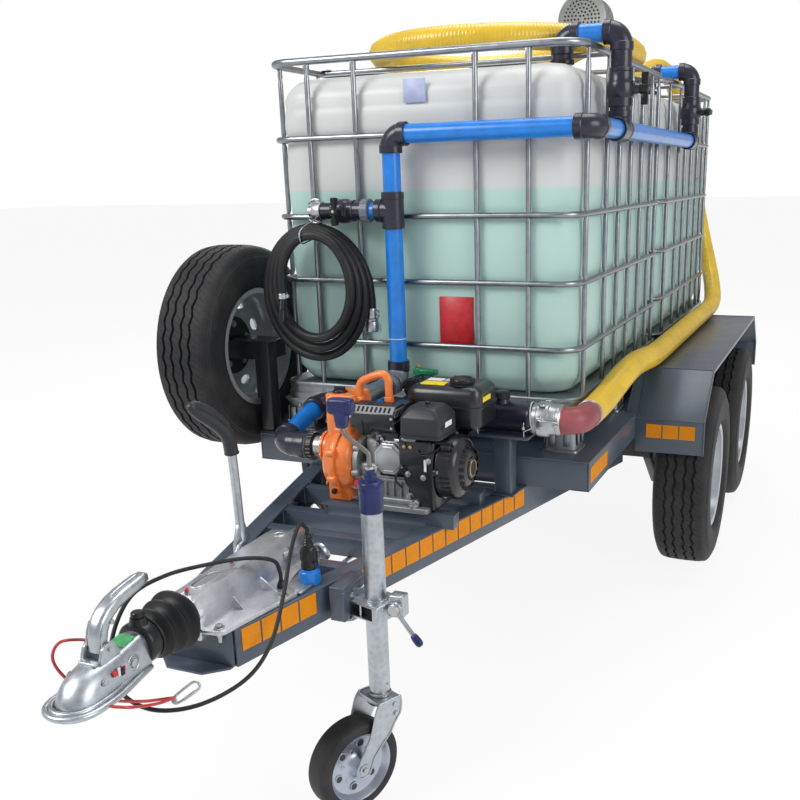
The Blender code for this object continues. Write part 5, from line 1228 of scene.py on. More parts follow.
class TRAILER_OT_pallets(bpy.types.Operator):
    """Galvanised pallet pans on pressed feet"""
    bl_idname = "trailer.pallets"
    bl_label = "Pallets"

    def execute(self, context):
        steel = use("pan")
        for name, front in TANKS:
            pallet = Shape()
            sections = [plan(TANK_HALF - inset, front + inset, front + TANK_LENGTH - inset, radius, z, 6)
                for z, inset, radius in ((0.1005, 0.01, 0.055), (0.1005, 0.003, 0.06),
                (0.104, 0.0005, 0.062), (0.128, 0.0005, 0.062), (0.132, 0.004, 0.06), (0.15, 0.004, 0.06),
                (0.153, 0.0015, 0.062), (0.16, 0, 0.062), (0.1645, 0.003, 0.06), (0.1648, 0.006, 0.058))]
            pallet.loft(sections, steel)
            pallet.tube(plan(0.4945, front + 0.0055, front + 1.1945, 0.058, 0.16, 7), 0.0052, steel, 3,
                closed=True)
            for y in range(7):
                pallet.box(at(-0.45, front + 0.1 + 0.16 * y, 0.0985),
                    at(0.45, front + 0.14 + 0.16 * y, 0.1015), steel, 0.0012)
            for x in (-0.5, -0.055, 0.39):
                for y in (0, 0.545, 1.09):
                    self.foot(pallet, at(x, front + y, 0.0004), steel)
            pallet.done(f"{name}_pallet_pan", "trailer", "galvanised_steel", f"{name}_pallet", 40)
        return {"FINISHED"}

    def foot(self, shape, low, steel):
        """A tapered pressed foot with a ribbed face on each side and a flat sole."""
        middle = low + Vector((0.055, 0.055, 0))
        shape.loft([[middle + Vector((x, y, z)) for x, y in round_outline(size, size, radius, 4)] for z,
            size, radius in ((0, 0.104, 0.01), (0, 0.1095, 0.013), (0.004, 0.11, 0.014),
            (0.007, 0.108, 0.014), (0.01, 0.096, 0.016), (0.085, 0.09, 0.018), (0.1, 0.108, 0.014),
            (0.108, 0.108, 0.014))], steel)
        for turn in range(4):
            place = move(middle) @ Matrix.Rotation(turn * pi / 2, 4, "Z")
            for x in (-0.022, 0.022):
                shape.plate([(px * 0.01, py * 0.028) for px, py in ((-1, -1), (1, -1), (1, 1), (-1, 1))],
                    0.004, steel, place @ frame_of((x, -0.0495, 0.048), X, Z), 0.002)
            shape.rod(place @ Vector((0, -0.0455, 0.084)), place @ Vector((0, -0.0505, 0.084)), 0.0075,
                steel, 16, bevel=0.0015)


# Deck and drawbar

DECK_HALF, DECK_FRONT, DECK_BACK = 0.556, -0.068, 2.512
RAIL_DEPTH, SHEET, SHEET_FOOT = 0.09, 0.005, -0.0052
BEAM_SLOPE = 0.2436
BEAM_TOP, BEAM_HEIGHT = -0.0903, 0.085


def beam_x(y):
    """The drawbar's outer edge at a distance along it."""
    return 0.1 + BEAM_SLOPE * (y + 1.17)


class TRAILER_OT_deck(bpy.types.Operator):
    """Deck sheet on its folded rails and cross members"""
    bl_idname = "trailer.deck"
    bl_label = "Deck"

    def execute(self, context):
        paint, edge = use("charcoal"), sizes().edge
        deck = Shape()
        deck.box(at(-DECK_HALF, DECK_FRONT, -SHEET), at(DECK_HALF, DECK_BACK, 0), paint, edge)
        for side in (-1, 1):
            low, high = sorted((side * DECK_HALF, side * 0.506))
            web = sorted((side * DECK_HALF, side * 0.551))
            deck.box(at(web[0], DECK_FRONT, -RAIL_DEPTH), at(web[1], DECK_BACK, SHEET_FOOT), paint, edge)
            deck.box(at(low, DECK_FRONT, -RAIL_DEPTH), at(high, DECK_BACK, -0.085), paint, edge)
        for y0, y1 in ((-0.068, -0.063), (2.507, 2.512)):
            deck.box(at(-0.5508, y0, -RAIL_DEPTH), at(0.5508, y1, SHEET_FOOT), paint, edge)
        inner = -0.063
        deck.box(at(-0.5508, inner, -RAIL_DEPTH), at(0.5508, inner + 0.045, -0.085), paint, edge)
        deck.box(at(-0.5508, 2.507 - 0.045, -RAIL_DEPTH), at(0.5508, 2.507, -0.085), paint, edge)
        for y in deck_members():
            deck.box(at(-0.551, y, -0.085), at(0.551, y + 0.005, SHEET_FOOT), paint, edge)
            deck.box(at(-0.551, y, -RAIL_DEPTH), at(0.551, y + 0.05, -0.085), paint, edge)
            deck.tube([at(-0.5, y, SHEET_FOOT), at(0.5, y, SHEET_FOOT)], 0.0022, paint, 2)
        for side in (-1, 1):
            deck.tube([at(side * 0.5545, -0.066, -0.0048), at(side * 0.5545, 2.51, -0.0048)], 0.0018, paint,
                2)
        deck.done("deck_platform", "trailer", "charcoal_paint", "deck_frame")
        tape = Shape()
        for x in (0.5562, -0.5572):
            for index in range(4):
                y = -0.055 + index * 0.0515
                tape.box(at(x, y, -0.068), at(x + 0.001, y + 0.049, -0.02), use("amber"), 0.0003, 1)
        tape.done("deck_tape", "trailer")
        return {"FINISHED"}


def deck_members():
    """Where each inner cross member starts."""
    return [DECK_FRONT + index * 0.3614 for index in range(1, 7)]


def beam_span(side, y0, y1, gap=0, drop=0):
    """A start by the drawbar's outer edge, the way along the edge and the distance."""
    start, end = [at(side * (beam_x(y) + gap), y, BEAM_TOP - drop) for y in (y0, y1)]
    return start, (end - start).normalized(), (end - start).length


def channel(shape, side, y0, y1, finish):
    """An open channel along a drawbar side, its web outside and its flanges inward."""
    start, along, length = beam_span(side, y0, y1)
    thick, flange = 0.006, 0.05
    outline = [(0, 0), (flange, 0), (flange, -thick), (thick, -thick), (thick, -BEAM_HEIGHT + thick),
        (flange, -BEAM_HEIGHT + thick), (flange, -BEAM_HEIGHT), (0, -BEAM_HEIGHT)]
    inward = along.cross(Z) * -side
    return shape.plate(outline, length, finish, basis(start, inward, Z, along), sizes().edge)


class TRAILER_OT_drawbar(bpy.types.Operator):
    """Channel beams of the drawbar with cross members, nose plate, engine rails, welds and tape"""
    bl_idname = "trailer.drawbar"
    bl_label = "Drawbar"

    def execute(self, context):
        paint, edge = use("charcoal"), sizes().edge
        bar = Shape()
        for side in (-1, 1):
            channel(bar, side, -1.17, 0.55, paint)
        for y in (-0.8, -0.62, -0.475, -0.28, -0.1):
            reach = beam_x(y) - 0.008
            bar.box(at(-reach, y, -0.0983), at(reach, y + 0.04, -0.0943), paint, edge)
            bar.box(at(-reach, y, -0.1453), at(reach, y + 0.004, -0.0983), paint, edge)
            bar.box(at(-reach, y, -0.1453), at(reach, y + 0.04, -0.1413), paint, edge)
            for side in (-1, 1):
                bar.tube([at(side * (reach - 0.04), y - 0.0003, -0.0955),
                    at(side * (reach - 0.04), y - 0.0003, -0.1445)], 0.0022, paint, 2)
                bar.tube([at(side * (reach - 0.042), y, -0.094), at(side * (reach - 0.034), y + 0.04,
                    -0.094)], 0.0022, paint, 2)
        for y in (-0.475, -0.28):
            bar.box(at(-0.075, y, -0.0943), at(0.3, y + 0.04, -0.0573), paint, 0.002)
            bar.box(at(-0.077, y - 0.001, -0.0583), at(0.302, y + 0.041, -0.0545), paint, edge)
        outline = [(-0.088, -1.02), (-0.088, -1.18), (-0.044, -1.22), (0.044, -1.22), (0.088, -1.18),
            (0.088, -1.02)]
        bar.plate(outline, 0.006, paint, move(at(0, 0, -0.1783)), 0.0012)
        bar.box(at(-0.094, -1.176, -0.172), at(0.094, -1.17, -0.094), paint, edge)
        bar.done("drawbar_channels", "trailer", "charcoal_paint", "drawbar_frame")

        tape = Shape()
        for side in (-1, 1):
            for first, count in ((-1.155, 4), (-0.79, 13)):
                for index in range(count):
                    y0 = first + index * 0.0545
                    start, along, length = beam_span(side, y0, y0 + 0.05, 0.0006, 0.004)
                    tape.plate([(0, 0), (length, 0), (length, 0.05), (0, 0.05)], 0.0009, use("amber"),
                        basis(start, along, -Z, along.cross(Z) * side), 0.0003, 1)
        tape.done("drawbar_tape", "trailer")
        return {"FINISHED"}


# Wheels, their axles and mudguards

TYRE_RADIUS = 0.33
TREAD_GROOVES = (-0.0465, -0.017, 0.017, 0.0465)
AXLES = (("front", 0.876), ("rear", 1.73))
SIDES = ((-1, "left"), (1, "right"))
WHEEL_X, WHEEL_Z = 0.715, -0.29
RIM_HOLES = 8


def tyre_line():
    """Closed section of the tyre: beads, bulged sidewalls, shoulders and a grooved tread."""
    half = [(0.0765, 0.1795), (0.077, 0.1935), (0.085, 0.1975), (0.0925, 0.208), (0.093, 0.2105),
        (0.0958, 0.214), (0.0975, 0.232), (0.098, 0.25), (0.0975, 0.264), (0.098, 0.266), (0.0972, 0.28),
        (0.095, 0.292), (0.093, 0.2945), (0.09, 0.304), (0.0855, 0.3135), (0.08, 0.3205), (0.074, 0.3245)]
    depth = sizes().groove_depth
    tread = []
    for middle in TREAD_GROOVES:
        for along, cut in ((-0.0045, 0), (-0.0032, depth), (0.0032, depth), (0.0045, 0)):
            spot = middle + along
            tread.append((spot, TYRE_RADIUS - (spot / 0.098) ** 2 * 0.0045 - cut))
    inside = [(-0.055, 0.203), (-0.08, 0.235), (-0.078, 0.29), (-0.05, 0.312), (0, 0.315), (0.05, 0.312),
        (0.078, 0.29), (0.08, 0.235), (0.055, 0.203)]
    left = [(-along, radius) for along, radius in half]
    return left + tread + half[::-1] + inside[::-1]


def zigzag(along, radius, angle):
    """The tread's zigzag, as a shift along the axle."""
    if radius < 0.3185 or abs(along) > 0.064:
        return 0
    turn = angle * 36 / (2 * pi) + (0.25 if along > 0 else 0)
    return 0.0036 * (abs((turn % 1) * 4 - 2) - 1)


def tyre(shape, centre, axis):
    """A tyre with its zigzag tread, and the map that its rubber is drawn on."""
    part = spun(tyre_line(), 144, True)
    for vert in part.verts:
        vert.co.x += zigzag(vert.co.x, hypot(vert.co.y, vert.co.z), atan2(vert.co.y, vert.co.z))
    layer = part.loops.layers.uv.new("chart")
    for face in part.faces:
        middle = face.calc_center_median()
        main = atan2(middle.y, middle.z)
        for loop in face.loops:
            angle = atan2(loop.vert.co.y, loop.vert.co.z)
            angle += 2 * pi * round((main - angle) / (2 * pi))
            loop[layer].uv = (angle / (2 * pi), loop.vert.co.x)
    return shape.take(part, use("tyre"), facing(centre, axis))


def rim_disc(shape, finish, centre, axis, bore):
    """The dished disc with its oval holes."""
    outer = [(0.01, 0.169), (0.018, 0.16), (0.0245, 0.15), (0.03, 0.136), (0.0355, 0.12), (0.0375, 0.112),
        (0.037, 0.104), (0.032, 0.096), (0.029, 0.09), (0.029, 0.054), (0.032, 0.048), (0.033, bore)]
    inner = [(along - 0.005, radius - 0.001) for along, radius in outer[:-1]] + [(0.028, bore)]
    place, cutters = facing(centre, axis), bmesh.new()
    turns = [Matrix.Rotation(2 * pi * (index + 0.5) / RIM_HOLES, 4, "X") for index in range(RIM_HOLES)]
    for turn in turns:
        oval = Matrix.Rotation(pi / 2, 4, "Y") @ Matrix.Diagonal((0.0115, 0.023, 1, 1))
        bmesh.ops.create_cone(cutters, cap_ends=True, segments=24, radius1=1, radius2=1, depth=0.08,
            matrix=turn @ move((0.026, 0, 0.137)) @ oval)
    shape.carved(spun(outer + inner[::-1], 64, True), cutters, finish, place)
    for turn in turns:
        points = []
        for angle in around(24):
            radius, side = 0.137 + 0.0118 * cos(angle), 0.0235 * sin(angle)
            points.append(place @ turn @ Vector((0.0305 - (hypot(radius, side) - 0.135) * 0.36, side,
                radius)))
        shape.tube(points, 0.0015, finish, 2, closed=True)


def rim_barrel(shape, finish, centre, axis):
    """The rim's flanges, bead seats and drop well, with its valve."""
    line = [(-0.083, 0.1915), (-0.0812, 0.1925), (-0.0785, 0.1915), (-0.077, 0.189), (-0.0765, 0.1785),
        (-0.05, 0.1765), (-0.04, 0.1705), (0.03, 0.1705), (0.045, 0.1765), (0.0765, 0.1785), (0.077, 0.189),
        (0.0785, 0.1915), (0.0812, 0.1925), (0.083, 0.1915), (0.0815, 0.187), (0.08, 0.175),
        (0.047, 0.1728), (0.032, 0.1665), (-0.042, 0.1665), (-0.052, 0.1728), (-0.08, 0.175),
        (-0.0815, 0.187)]
    shape.turned(line, centre, axis, finish, 96, closed=True)
    place = facing(centre, axis) @ Matrix.Rotation(0.4, 4, "X")
    shape.rod(place @ Vector((0.05, 0, 0.169)), place @ Vector((0.078, 0, 0.161)), 0.0044, use("rubber"), 14)
    shape.rod(place @ Vector((0.076, 0, 0.1616)), place @ Vector((0.088, 0, 0.1582)), 0.0036,
        use("plastic"), 14, bevel=0.0006)


def wheel_nuts(shape, centre, axis, finish):
    for angle in around(5):
        turn = facing(centre, axis) @ Matrix.Rotation(angle, 4, "X")
        foot, way = turn @ Vector((0.029, 0, 0.071)), turn.to_3x3() @ X
        shape.rod(foot - way * 0.001, foot + way * 0.004, 0.014, finish, 24, end_radius=0.0115)
        shape.rod(foot + way * 0.003, foot + way * 0.017, 0.0108, finish, 6, bevel=0.0012)
        shape.rod(foot + way * 0.016, foot + way * 0.021, 0.0055, finish, 16, bevel=0.0006)


class TRAILER_OT_wheels(bpy.types.Operator):
    """Four road wheels: treaded tyres on silver steel rims with hubs, nuts and brake drums"""
    bl_idname = "trailer.wheels"
    bl_label = "Wheels"

    def execute(self, context):
        for side, hand in SIDES:
            for tag, y in AXLES:
                name, body = f"{tag}_{hand}", f"wheel_{tag}_{hand}"
                centre, axis = at(side * WHEEL_X, y, WHEEL_Z), X * side
                tyre(Shape(), centre, axis).done(f"tread_{name}", body, "tyre_rubber", f"tyre_{name}", 38)
                rim = Shape()
                rim_barrel(rim, use("silver"), centre, axis)
                rim_disc(rim, use("silver"), centre, axis, 0.0345)
                rim.turned([(0, 0), (0, 0.056), (0.0285, 0.0545), (0.03, 0.042), (0.033, 0.0352),
                    (0.04, 0.034), (0.048, 0.033), (0.053, 0.0285), (0.055, 0.02), (0.0555, 0)], centre,
                    axis, use("zinc"), 40)
                rim.solid([(0, 0.118), (-0.004, 0.121), (-0.01, 0.118), (-0.04, 0.118), (-0.0445, 0.1205),
                    (-0.045, 0.11), (-0.045, 0.028), (-0.03, 0.028)], centre, axis, use("iron"), 64)
                wheel_nuts(rim, centre, axis, use("zinc"))
                rim.done(f"disc_{name}", body, "galvanised_steel", f"rim_{name}", 34)
        return {"FINISHED"}


class TRAILER_OT_spare_wheel(bpy.types.Operator):
    """Spare wheel, and the black carrier that bolts through its disc"""
    bl_idname = "trailer.spare_wheel"
    bl_label = "Spare Wheel"

    def execute(self, context):
        x, y, z = -0.672, 0.02, 0.27
        centre = at(x, y, z)
        tyre(Shape(), centre, -X).done("spare_tread", "trailer", "tyre_rubber", "spare_tyre", 38)
        rim = Shape()
        rim_barrel(rim, use("silver"), centre, -X)
        rim_disc(rim, use("silver"), centre, -X, 0.0305)
        rim.done("spare_disc", "trailer", "galvanised_steel", "spare_rim", 34)

        paint, edge = use("black"), sizes().edge
        disc = x - 0.024
        holder = Shape()
        holder.box(at(-0.55, -0.062, 0.0003), at(-0.505, -0.012, z + 0.03), paint, 0.004, 3)
        holder.box(at(disc + 0.008, -0.058, z - 0.03), at(-0.512, y + 0.034, z + 0.03), paint, 0.004, 3)
        holder.plate(round_outline(0.066, 0.052, 0.006, 3), 0.0035, paint,
            move(at(-0.5275, -0.037, z + 0.029)), 0.001)
        holder.solid([(0, 0.0935), (0.001, 0.095), (0.007, 0.095), (0.008, 0.0935)], at(disc, y, z), X,
            paint, 56)
        holder.solid([(0, 0.0255), (0.003, 0.0285), (0.034, 0.0285)], at(disc - 0.03, y, z), X, paint, 40)
        holder.plate([(-0.05, z - 0.02), (-0.05, z - 0.16), (-0.03, z - 0.16), (y + 0.03, z - 0.02)], 0.008,
            paint, frame_of(at(-0.566, 0, 0), Y, Z), 0.001)
        for angle in around(5):
            seat = at(disc + 0.008, y + 0.071 * sin(angle), z + 0.071 * cos(angle))
            holder.bolt(seat, X, 0.0105, use("zinc"))
        holder.box(at(-0.553, -0.066, 0.0003), at(-0.5, -0.008, 0.0063), paint, edge)
        holder.tube([at(-0.551, -0.0625, 0.0065), at(-0.504, -0.0625, 0.0065)], 0.003, paint, 2)
        holder.tube([at(-0.5045, -0.0625, 0.0065), at(-0.5045, -0.0115, 0.0065)], 0.003, paint, 2)
        holder.done("wheel_holder", "trailer", "black_steel", "spare_wheel_carrier")
        return {"FINISHED"}


GUARD_FRONT, GUARD_BACK, GUARD_TOP = 0.56, 2.295, 0.13
GUARD_OUTER = 0.5562


def guard_line(depth):
    """Closed section of a mudguard's sheet."""
    start, end, top, skirt, slope = GUARD_FRONT, GUARD_BACK, GUARD_TOP, -0.134, 0.175
    low = top - 0.145
    outer = [(start, skirt), (start, low), (start + slope, top), (end - slope, top), (end, low), (end, skirt)]
    ease = depth * 0.42
    inner = [(end - depth, skirt), (end - depth, low - ease), (end - slope - ease, top - depth),
        (start + slope + ease, top - depth), (start + depth, low - ease), (start + depth, skirt)]
    return outer + inner


class TRAILER_OT_mudguards(bpy.types.Operator):
    """Folded mudguards with welded lips, and amber tape on their front aprons"""
    bl_idname = "trailer.mudguards"
    bl_label = "Mudguards"

    def execute(self, context):
        paint, edge = use("charcoal"), sizes().edge
        for side, hand in SIDES:
            guard = Shape()
            flip = Matrix.Identity(4) if side > 0 else Matrix.Diagonal((-1, 1, 1, 1))
            guard.plate(guard_line(0.004), 0.79 - GUARD_OUTER, paint, flip @ frame_of(at(GUARD_OUTER, 0, 0),
                Y, Z), edge * 0.7)
            guard.plate(guard_line(0.013), 0.004, paint, flip @ frame_of(at(0.786, 0, 0), Y, Z), edge * 0.7)
            inner = [(0.58, 0.0006), (0.58, 0.005), (0.735, 0.129), (2.12, 0.129), (2.275, 0.005),
                (2.275, 0.0006)]
            guard.plate(inner, 0.004, paint, flip @ frame_of(at(0.52, 0, 0), Y, Z), edge * 0.7)
            guard.plate([(0.735, 0.126), (0.735, GUARD_TOP), (2.12, GUARD_TOP), (2.12, 0.126)], 0.0366,
                paint, flip @ frame_of(at(0.52, 0, 0), Y, Z), edge * 0.5)
            for y0, z0, y1, z1 in ((0.566, -0.012, 0.735, 0.1285), (2.12, 0.1285, 2.289, -0.012)):
                slope = Vector((0, y1 - y0, z1 - z0))
                guard.plate([(0, 0), (slope.length, 0), (slope.length, -0.004), (0, -0.004)], 0.0366, paint,
                    flip @ frame_of(at(0.52, y0, z0), slope, X.cross(slope)), edge * 0.5)
            for y, z in ((0.735, GUARD_TOP), (2.12, GUARD_TOP), (GUARD_FRONT, -0.015), (GUARD_BACK, -0.015)):
                guard.tube([flip @ at(0.5566, y, z - 0.0006), flip @ at(0.7895, y, z - 0.0006)], 0.0024,
                    paint, 3)
            guard.tube([flip @ at(0.7885, y, z) for y, z in ((GUARD_FRONT, -0.134), (GUARD_FRONT, -0.015),
                (0.735, GUARD_TOP), (2.12, GUARD_TOP), (GUARD_BACK, -0.015), (GUARD_BACK, -0.134))], 0.0026,
                paint, 3)
            for y in (0.8, 1.3, 1.8, 2.06):
                guard.tube([flip @ at(0.5185, y, 0.0025), flip @ at(0.5185, y + 0.05, 0.0025)], 0.0032,
                    paint, 2)
            guard.done(f"fender_{hand}", "trailer", "charcoal_paint", f"mudguard_{hand}")
            tape = Shape()
            for index in range(3):
                low = 0.594 + index * 0.0565
                ends = sorted((side * low, side * (low + 0.052)))
                tape.box(at(ends[0], 0.5588, -0.082), at(ends[1], 0.5597, -0.034), use("amber"), 0.0003, 1)
            tape.done(f"fender_tape_{hand}", "trailer")
        return {"FINISHED"}


class TRAILER_OT_axles(bpy.types.Operator):
    """Square axle tubes with trailing arms, stub shafts and brake back plates"""
    bl_idname = "trailer.axles"
    bl_label = "Axles"

    def execute(self, context):
        paint = use("black")
        for name, wheel_y in AXLES:
            wheel_z, y, z = WHEEL_Z, wheel_y - 0.15, -0.16
            axle = Shape()
            axle.box(at(-0.566, y - 0.035, z - 0.035), at(0.566, y + 0.035, z + 0.035), paint, 0.008, 3)
            arm = [(y - 0.05, z - 0.03), (wheel_y - 0.02, wheel_z - 0.045),
                (wheel_y + 0.035, wheel_z - 0.03), (wheel_y + 0.04, wheel_z + 0.03), (y + 0.05, z + 0.045),
                (y - 0.05, z + 0.045)]
            for side in (-1, 1):
                low, high = sorted((side * 0.562, side * 0.594))
                axle.plate(arm, high - low, paint, frame_of(at(low, 0, 0), Y, Z), 0.006, 3)
                axle.rod(at(side * 0.586, wheel_y, wheel_z), at(side * 0.744, wheel_y, wheel_z), 0.02,
                    use("iron"), 32)
                axle.solid([(0, 0.1095), (0.002, 0.112), (0.0115, 0.112), (0.012, 0.11)],
                    at(side * 0.6577, wheel_y, wheel_z), X * side, use("zinc"), 56)
                axle.turned([(0, 0), (0, 0.07), (0.006, 0.074), (0.0065, 0)],
                    at(side * 0.6515, wheel_y, wheel_z), X * side, use("zinc"), 48)
                for angle in around(4, pi / 4):
                    axle.bolt(at(side * 0.658, wheel_y + 0.048 * cos(angle), wheel_z + 0.048 * sin(angle)),
                        X * -side, 0.0085, use("zinc"))
                low, high = sorted((side * 0.485, side * 0.535))
                axle.box(at(low, y - 0.06, z + 0.031), at(high, y + 0.06, -0.0903), paint, 0.0025)
                for offset in (-0.05, 0.05):
                    axle.bolt(at(side * 0.51, y + offset, z + 0.031), -Z, 0.0095, use("zinc"))
                axle.bolt(at(side * 0.594, y, z), X * side, 0.015, use("zinc"))
            axle.done(f"{name}_axle_beam", "trailer", "black_steel", f"{name}_axle")
        return {"FINISHED"}


# Pump and engine

PUMP = (-0.045, -0.4, 0.052)


def octagon(radius):
    return [(radius * cos(angle), radius * sin(angle)) for angle in around(8, pi / 8)]


def rounded_block(shape, low, high, radius, rise, finish):
    """A block with round upright corners and rounded top and bottom edges."""
    low, high = Vector(low), Vector(high)
    middle, size = (low + high) / 2, high - low
    sections = []
    for z, inset in ((low.z, rise), (low.z + rise * 0.3, rise * 0.3), (low.z + rise, 0), (high.z - rise, 0),
            (high.z - rise * 0.6, rise * 0.12), (high.z - rise * 0.3, rise * 0.35),
            (high.z - rise * 0.08, rise * 0.7), (high.z, rise * 1.15)):
        ring = round_outline(size.x - 2 * inset, size.y - 2 * inset, max(radius - inset * 0.4, 0.002), 5)
        sections.append([Vector((middle.x + x, middle.y + y, z)) for x, y in ring])
    return shape.loft(sections, finish)


class TRAILER_OT_pump(bpy.types.Operator):
    """Orange cast pump: volute, outlet box, flanges with bolts, carrying handle and priming plug"""
    bl_idname = "trailer.pump"
    bl_label = "Pump"

    def execute(self, context):
        paint, steel, black = use("orange"), use("zinc"), use("plastic")
        pump = Shape()
        x, y, z = PUMP
        pump.solid([(-0.045, 0.052), (-0.043, 0.058), (-0.04, 0.072), (-0.035, 0.081), (-0.026, 0.0865),
            (-0.012, 0.0885), (-0.01, 0.09), (-0.01, 0.0945), (-0.0085, 0.0955), (0.005, 0.0955),
            (0.0065, 0.0945), (0.0065, 0.0885), (0.03, 0.087), (0.04, 0.08), (0.045, 0.07)], at(x, y, z), X,
            paint, 72)
        for index in range(8):
            angle = 2 * pi * (index + 0.5) / 8
            out = Vector((0, sin(angle), cos(angle)))
            middle = at(x, y, z) + out * 0.095
            pump.rod(middle - X * 0.013, middle + X * 0.009, 0.0105, paint, 20, bevel=0.002)
            pump.bolt(middle - X * 0.0125, -X, 0.0062, steel)
        for angle in around(5):
            pump.box((-0.0015, -0.003, 0.04), (0.003, 0.003, 0.083), paint, 0.0012,
                place=move(at(x - 0.0445, y, z)) @ Matrix.Rotation(-angle, 4, "X"))
        rounded_block(pump, at(-0.087, -0.442, 0.045), at(-0.009, -0.344, 0.2), 0.016, 0.006, paint)
        rounded_block(pump, at(-0.0925, -0.431, 0.165), at(-0.0035, -0.324, 0.232), 0.014, 0.006, paint)
        pump.box(at(-0.09, -0.4285, 0.227), at(-0.006, -0.3265, 0.2345), paint, 0.003, 3)
        for px, py in ((-0.082, -0.42), (-0.014, -0.42), (-0.082, -0.335), (-0.014, -0.335)):
            pump.rod(at(px, py, 0.224), at(px, py, 0.2365), 0.009, paint, 20, bevel=0.002)
            pump.bolt(at(px, py, 0.236), Z, 0.0052, steel)
        pump.solid([(0, 0.04), (0.001, 0.046), (0.008, 0.046), (0.01, 0.042), (0.026, 0.042),
            (0.03, 0.046)], at(-0.112, -0.4, 0.078), X, paint, 40)
        for angle in (0.6, 2.2, 3.8, 5.4):
            pump.bolt(at(-0.112, -0.4 + 0.0385 * cos(angle), 0.078 + 0.0385 * sin(angle)), -X, 0.005, steel)
        pump.solid([(0, 0.03), (0.012, 0.031), (0.014, 0.036), (0.024, 0.036), (0.025, 0.034)],
            at(-0.05, -0.33, 0.2), Y, paint, 40)
        for px in (-0.079, -0.021):
            pump.rod(at(px, -0.32, 0.2), at(px, -0.305, 0.2), 0.009, paint, 20, bevel=0.002)
        plug = at(-0.065, -0.39, 0.228)
        pump.solid([(0, 0.0195), (0.01, 0.02), (0.0125, 0.0185), (0.015, 0.013)], plug, Z, black, 32)
        pump.box(plug + Vector((-0.0165, -0.004, 0.012)), plug + Vector((0.0165, 0.004, 0.023)), black, 0.002)
        pump.ridges(plug, 16, (0.0198, 0.001), (0.0198, 0.0105), 0.0016, black)
        pump.solid([(0, 0.0115), (0.007, 0.0115)], at(-0.045, -0.461, 0.06), -Y, paint, 24)
        pump.rod(at(-0.045, -0.461, 0.06), at(-0.045, -0.486, 0.06), 0.0095, steel, 6, bevel=0.001)
        pump.solid([(0, 0.0115), (0.01, 0.0115)], at(-0.045, -0.47, -0.02), -Y, paint, 24)
        pump.rod(at(-0.045, -0.475, -0.02), at(-0.045, -0.489, -0.02), 0.0085, black, 6, bevel=0.001)
        rounded_block(pump, at(-0.08, -0.457, -0.054), at(-0.01, -0.343, 0.014), 0.008, 0.005, paint)
        for px in (-0.07, -0.02):
            for py in (-0.448, -0.352):
                pump.bolt(at(px, py, -0.0535), Z, 0.0065, steel)
        grip = smooth_route([at(*point) for point in ((0.002, -0.4, 0.222), (0.002, -0.4, 0.246),
            (0.004, -0.4, 0.262), (0.013, -0.4, 0.273), (0.03, -0.4, 0.281), (0.05, -0.4, 0.289),
            (0.068, -0.4, 0.294), (0.081, -0.4, 0.291), (0.089, -0.4, 0.279), (0.09, -0.4, 0.26),
            (0.09, -0.4, 0.228))], 5)
        pump.tube(grip, 0.0102, paint, 6, radii=[1 + 0.1 * sin(pi * index / (len(grip) - 1))
            for index in range(len(grip))])
        pump.box(at(-0.01, -0.412, 0.196), at(0.014, -0.388, 0.23), paint, 0.004, 3)
        pump.box(at(-0.012, -0.411, 0.192), at(0.1, -0.389, 0.204), paint, 0.003, 3)
        pump.box(at(0.08, -0.411, 0.196), at(0.1, -0.389, 0.236), paint, 0.004, 3)
        pump.bolt(at(0.09, -0.411, 0.216), -Y, 0.006, steel)
        pump.done("pump_casting", "trailer", "orange_casting", "pump_body", 36)
        dress("impeller", use("casting"))
        return {"FINISHED"}


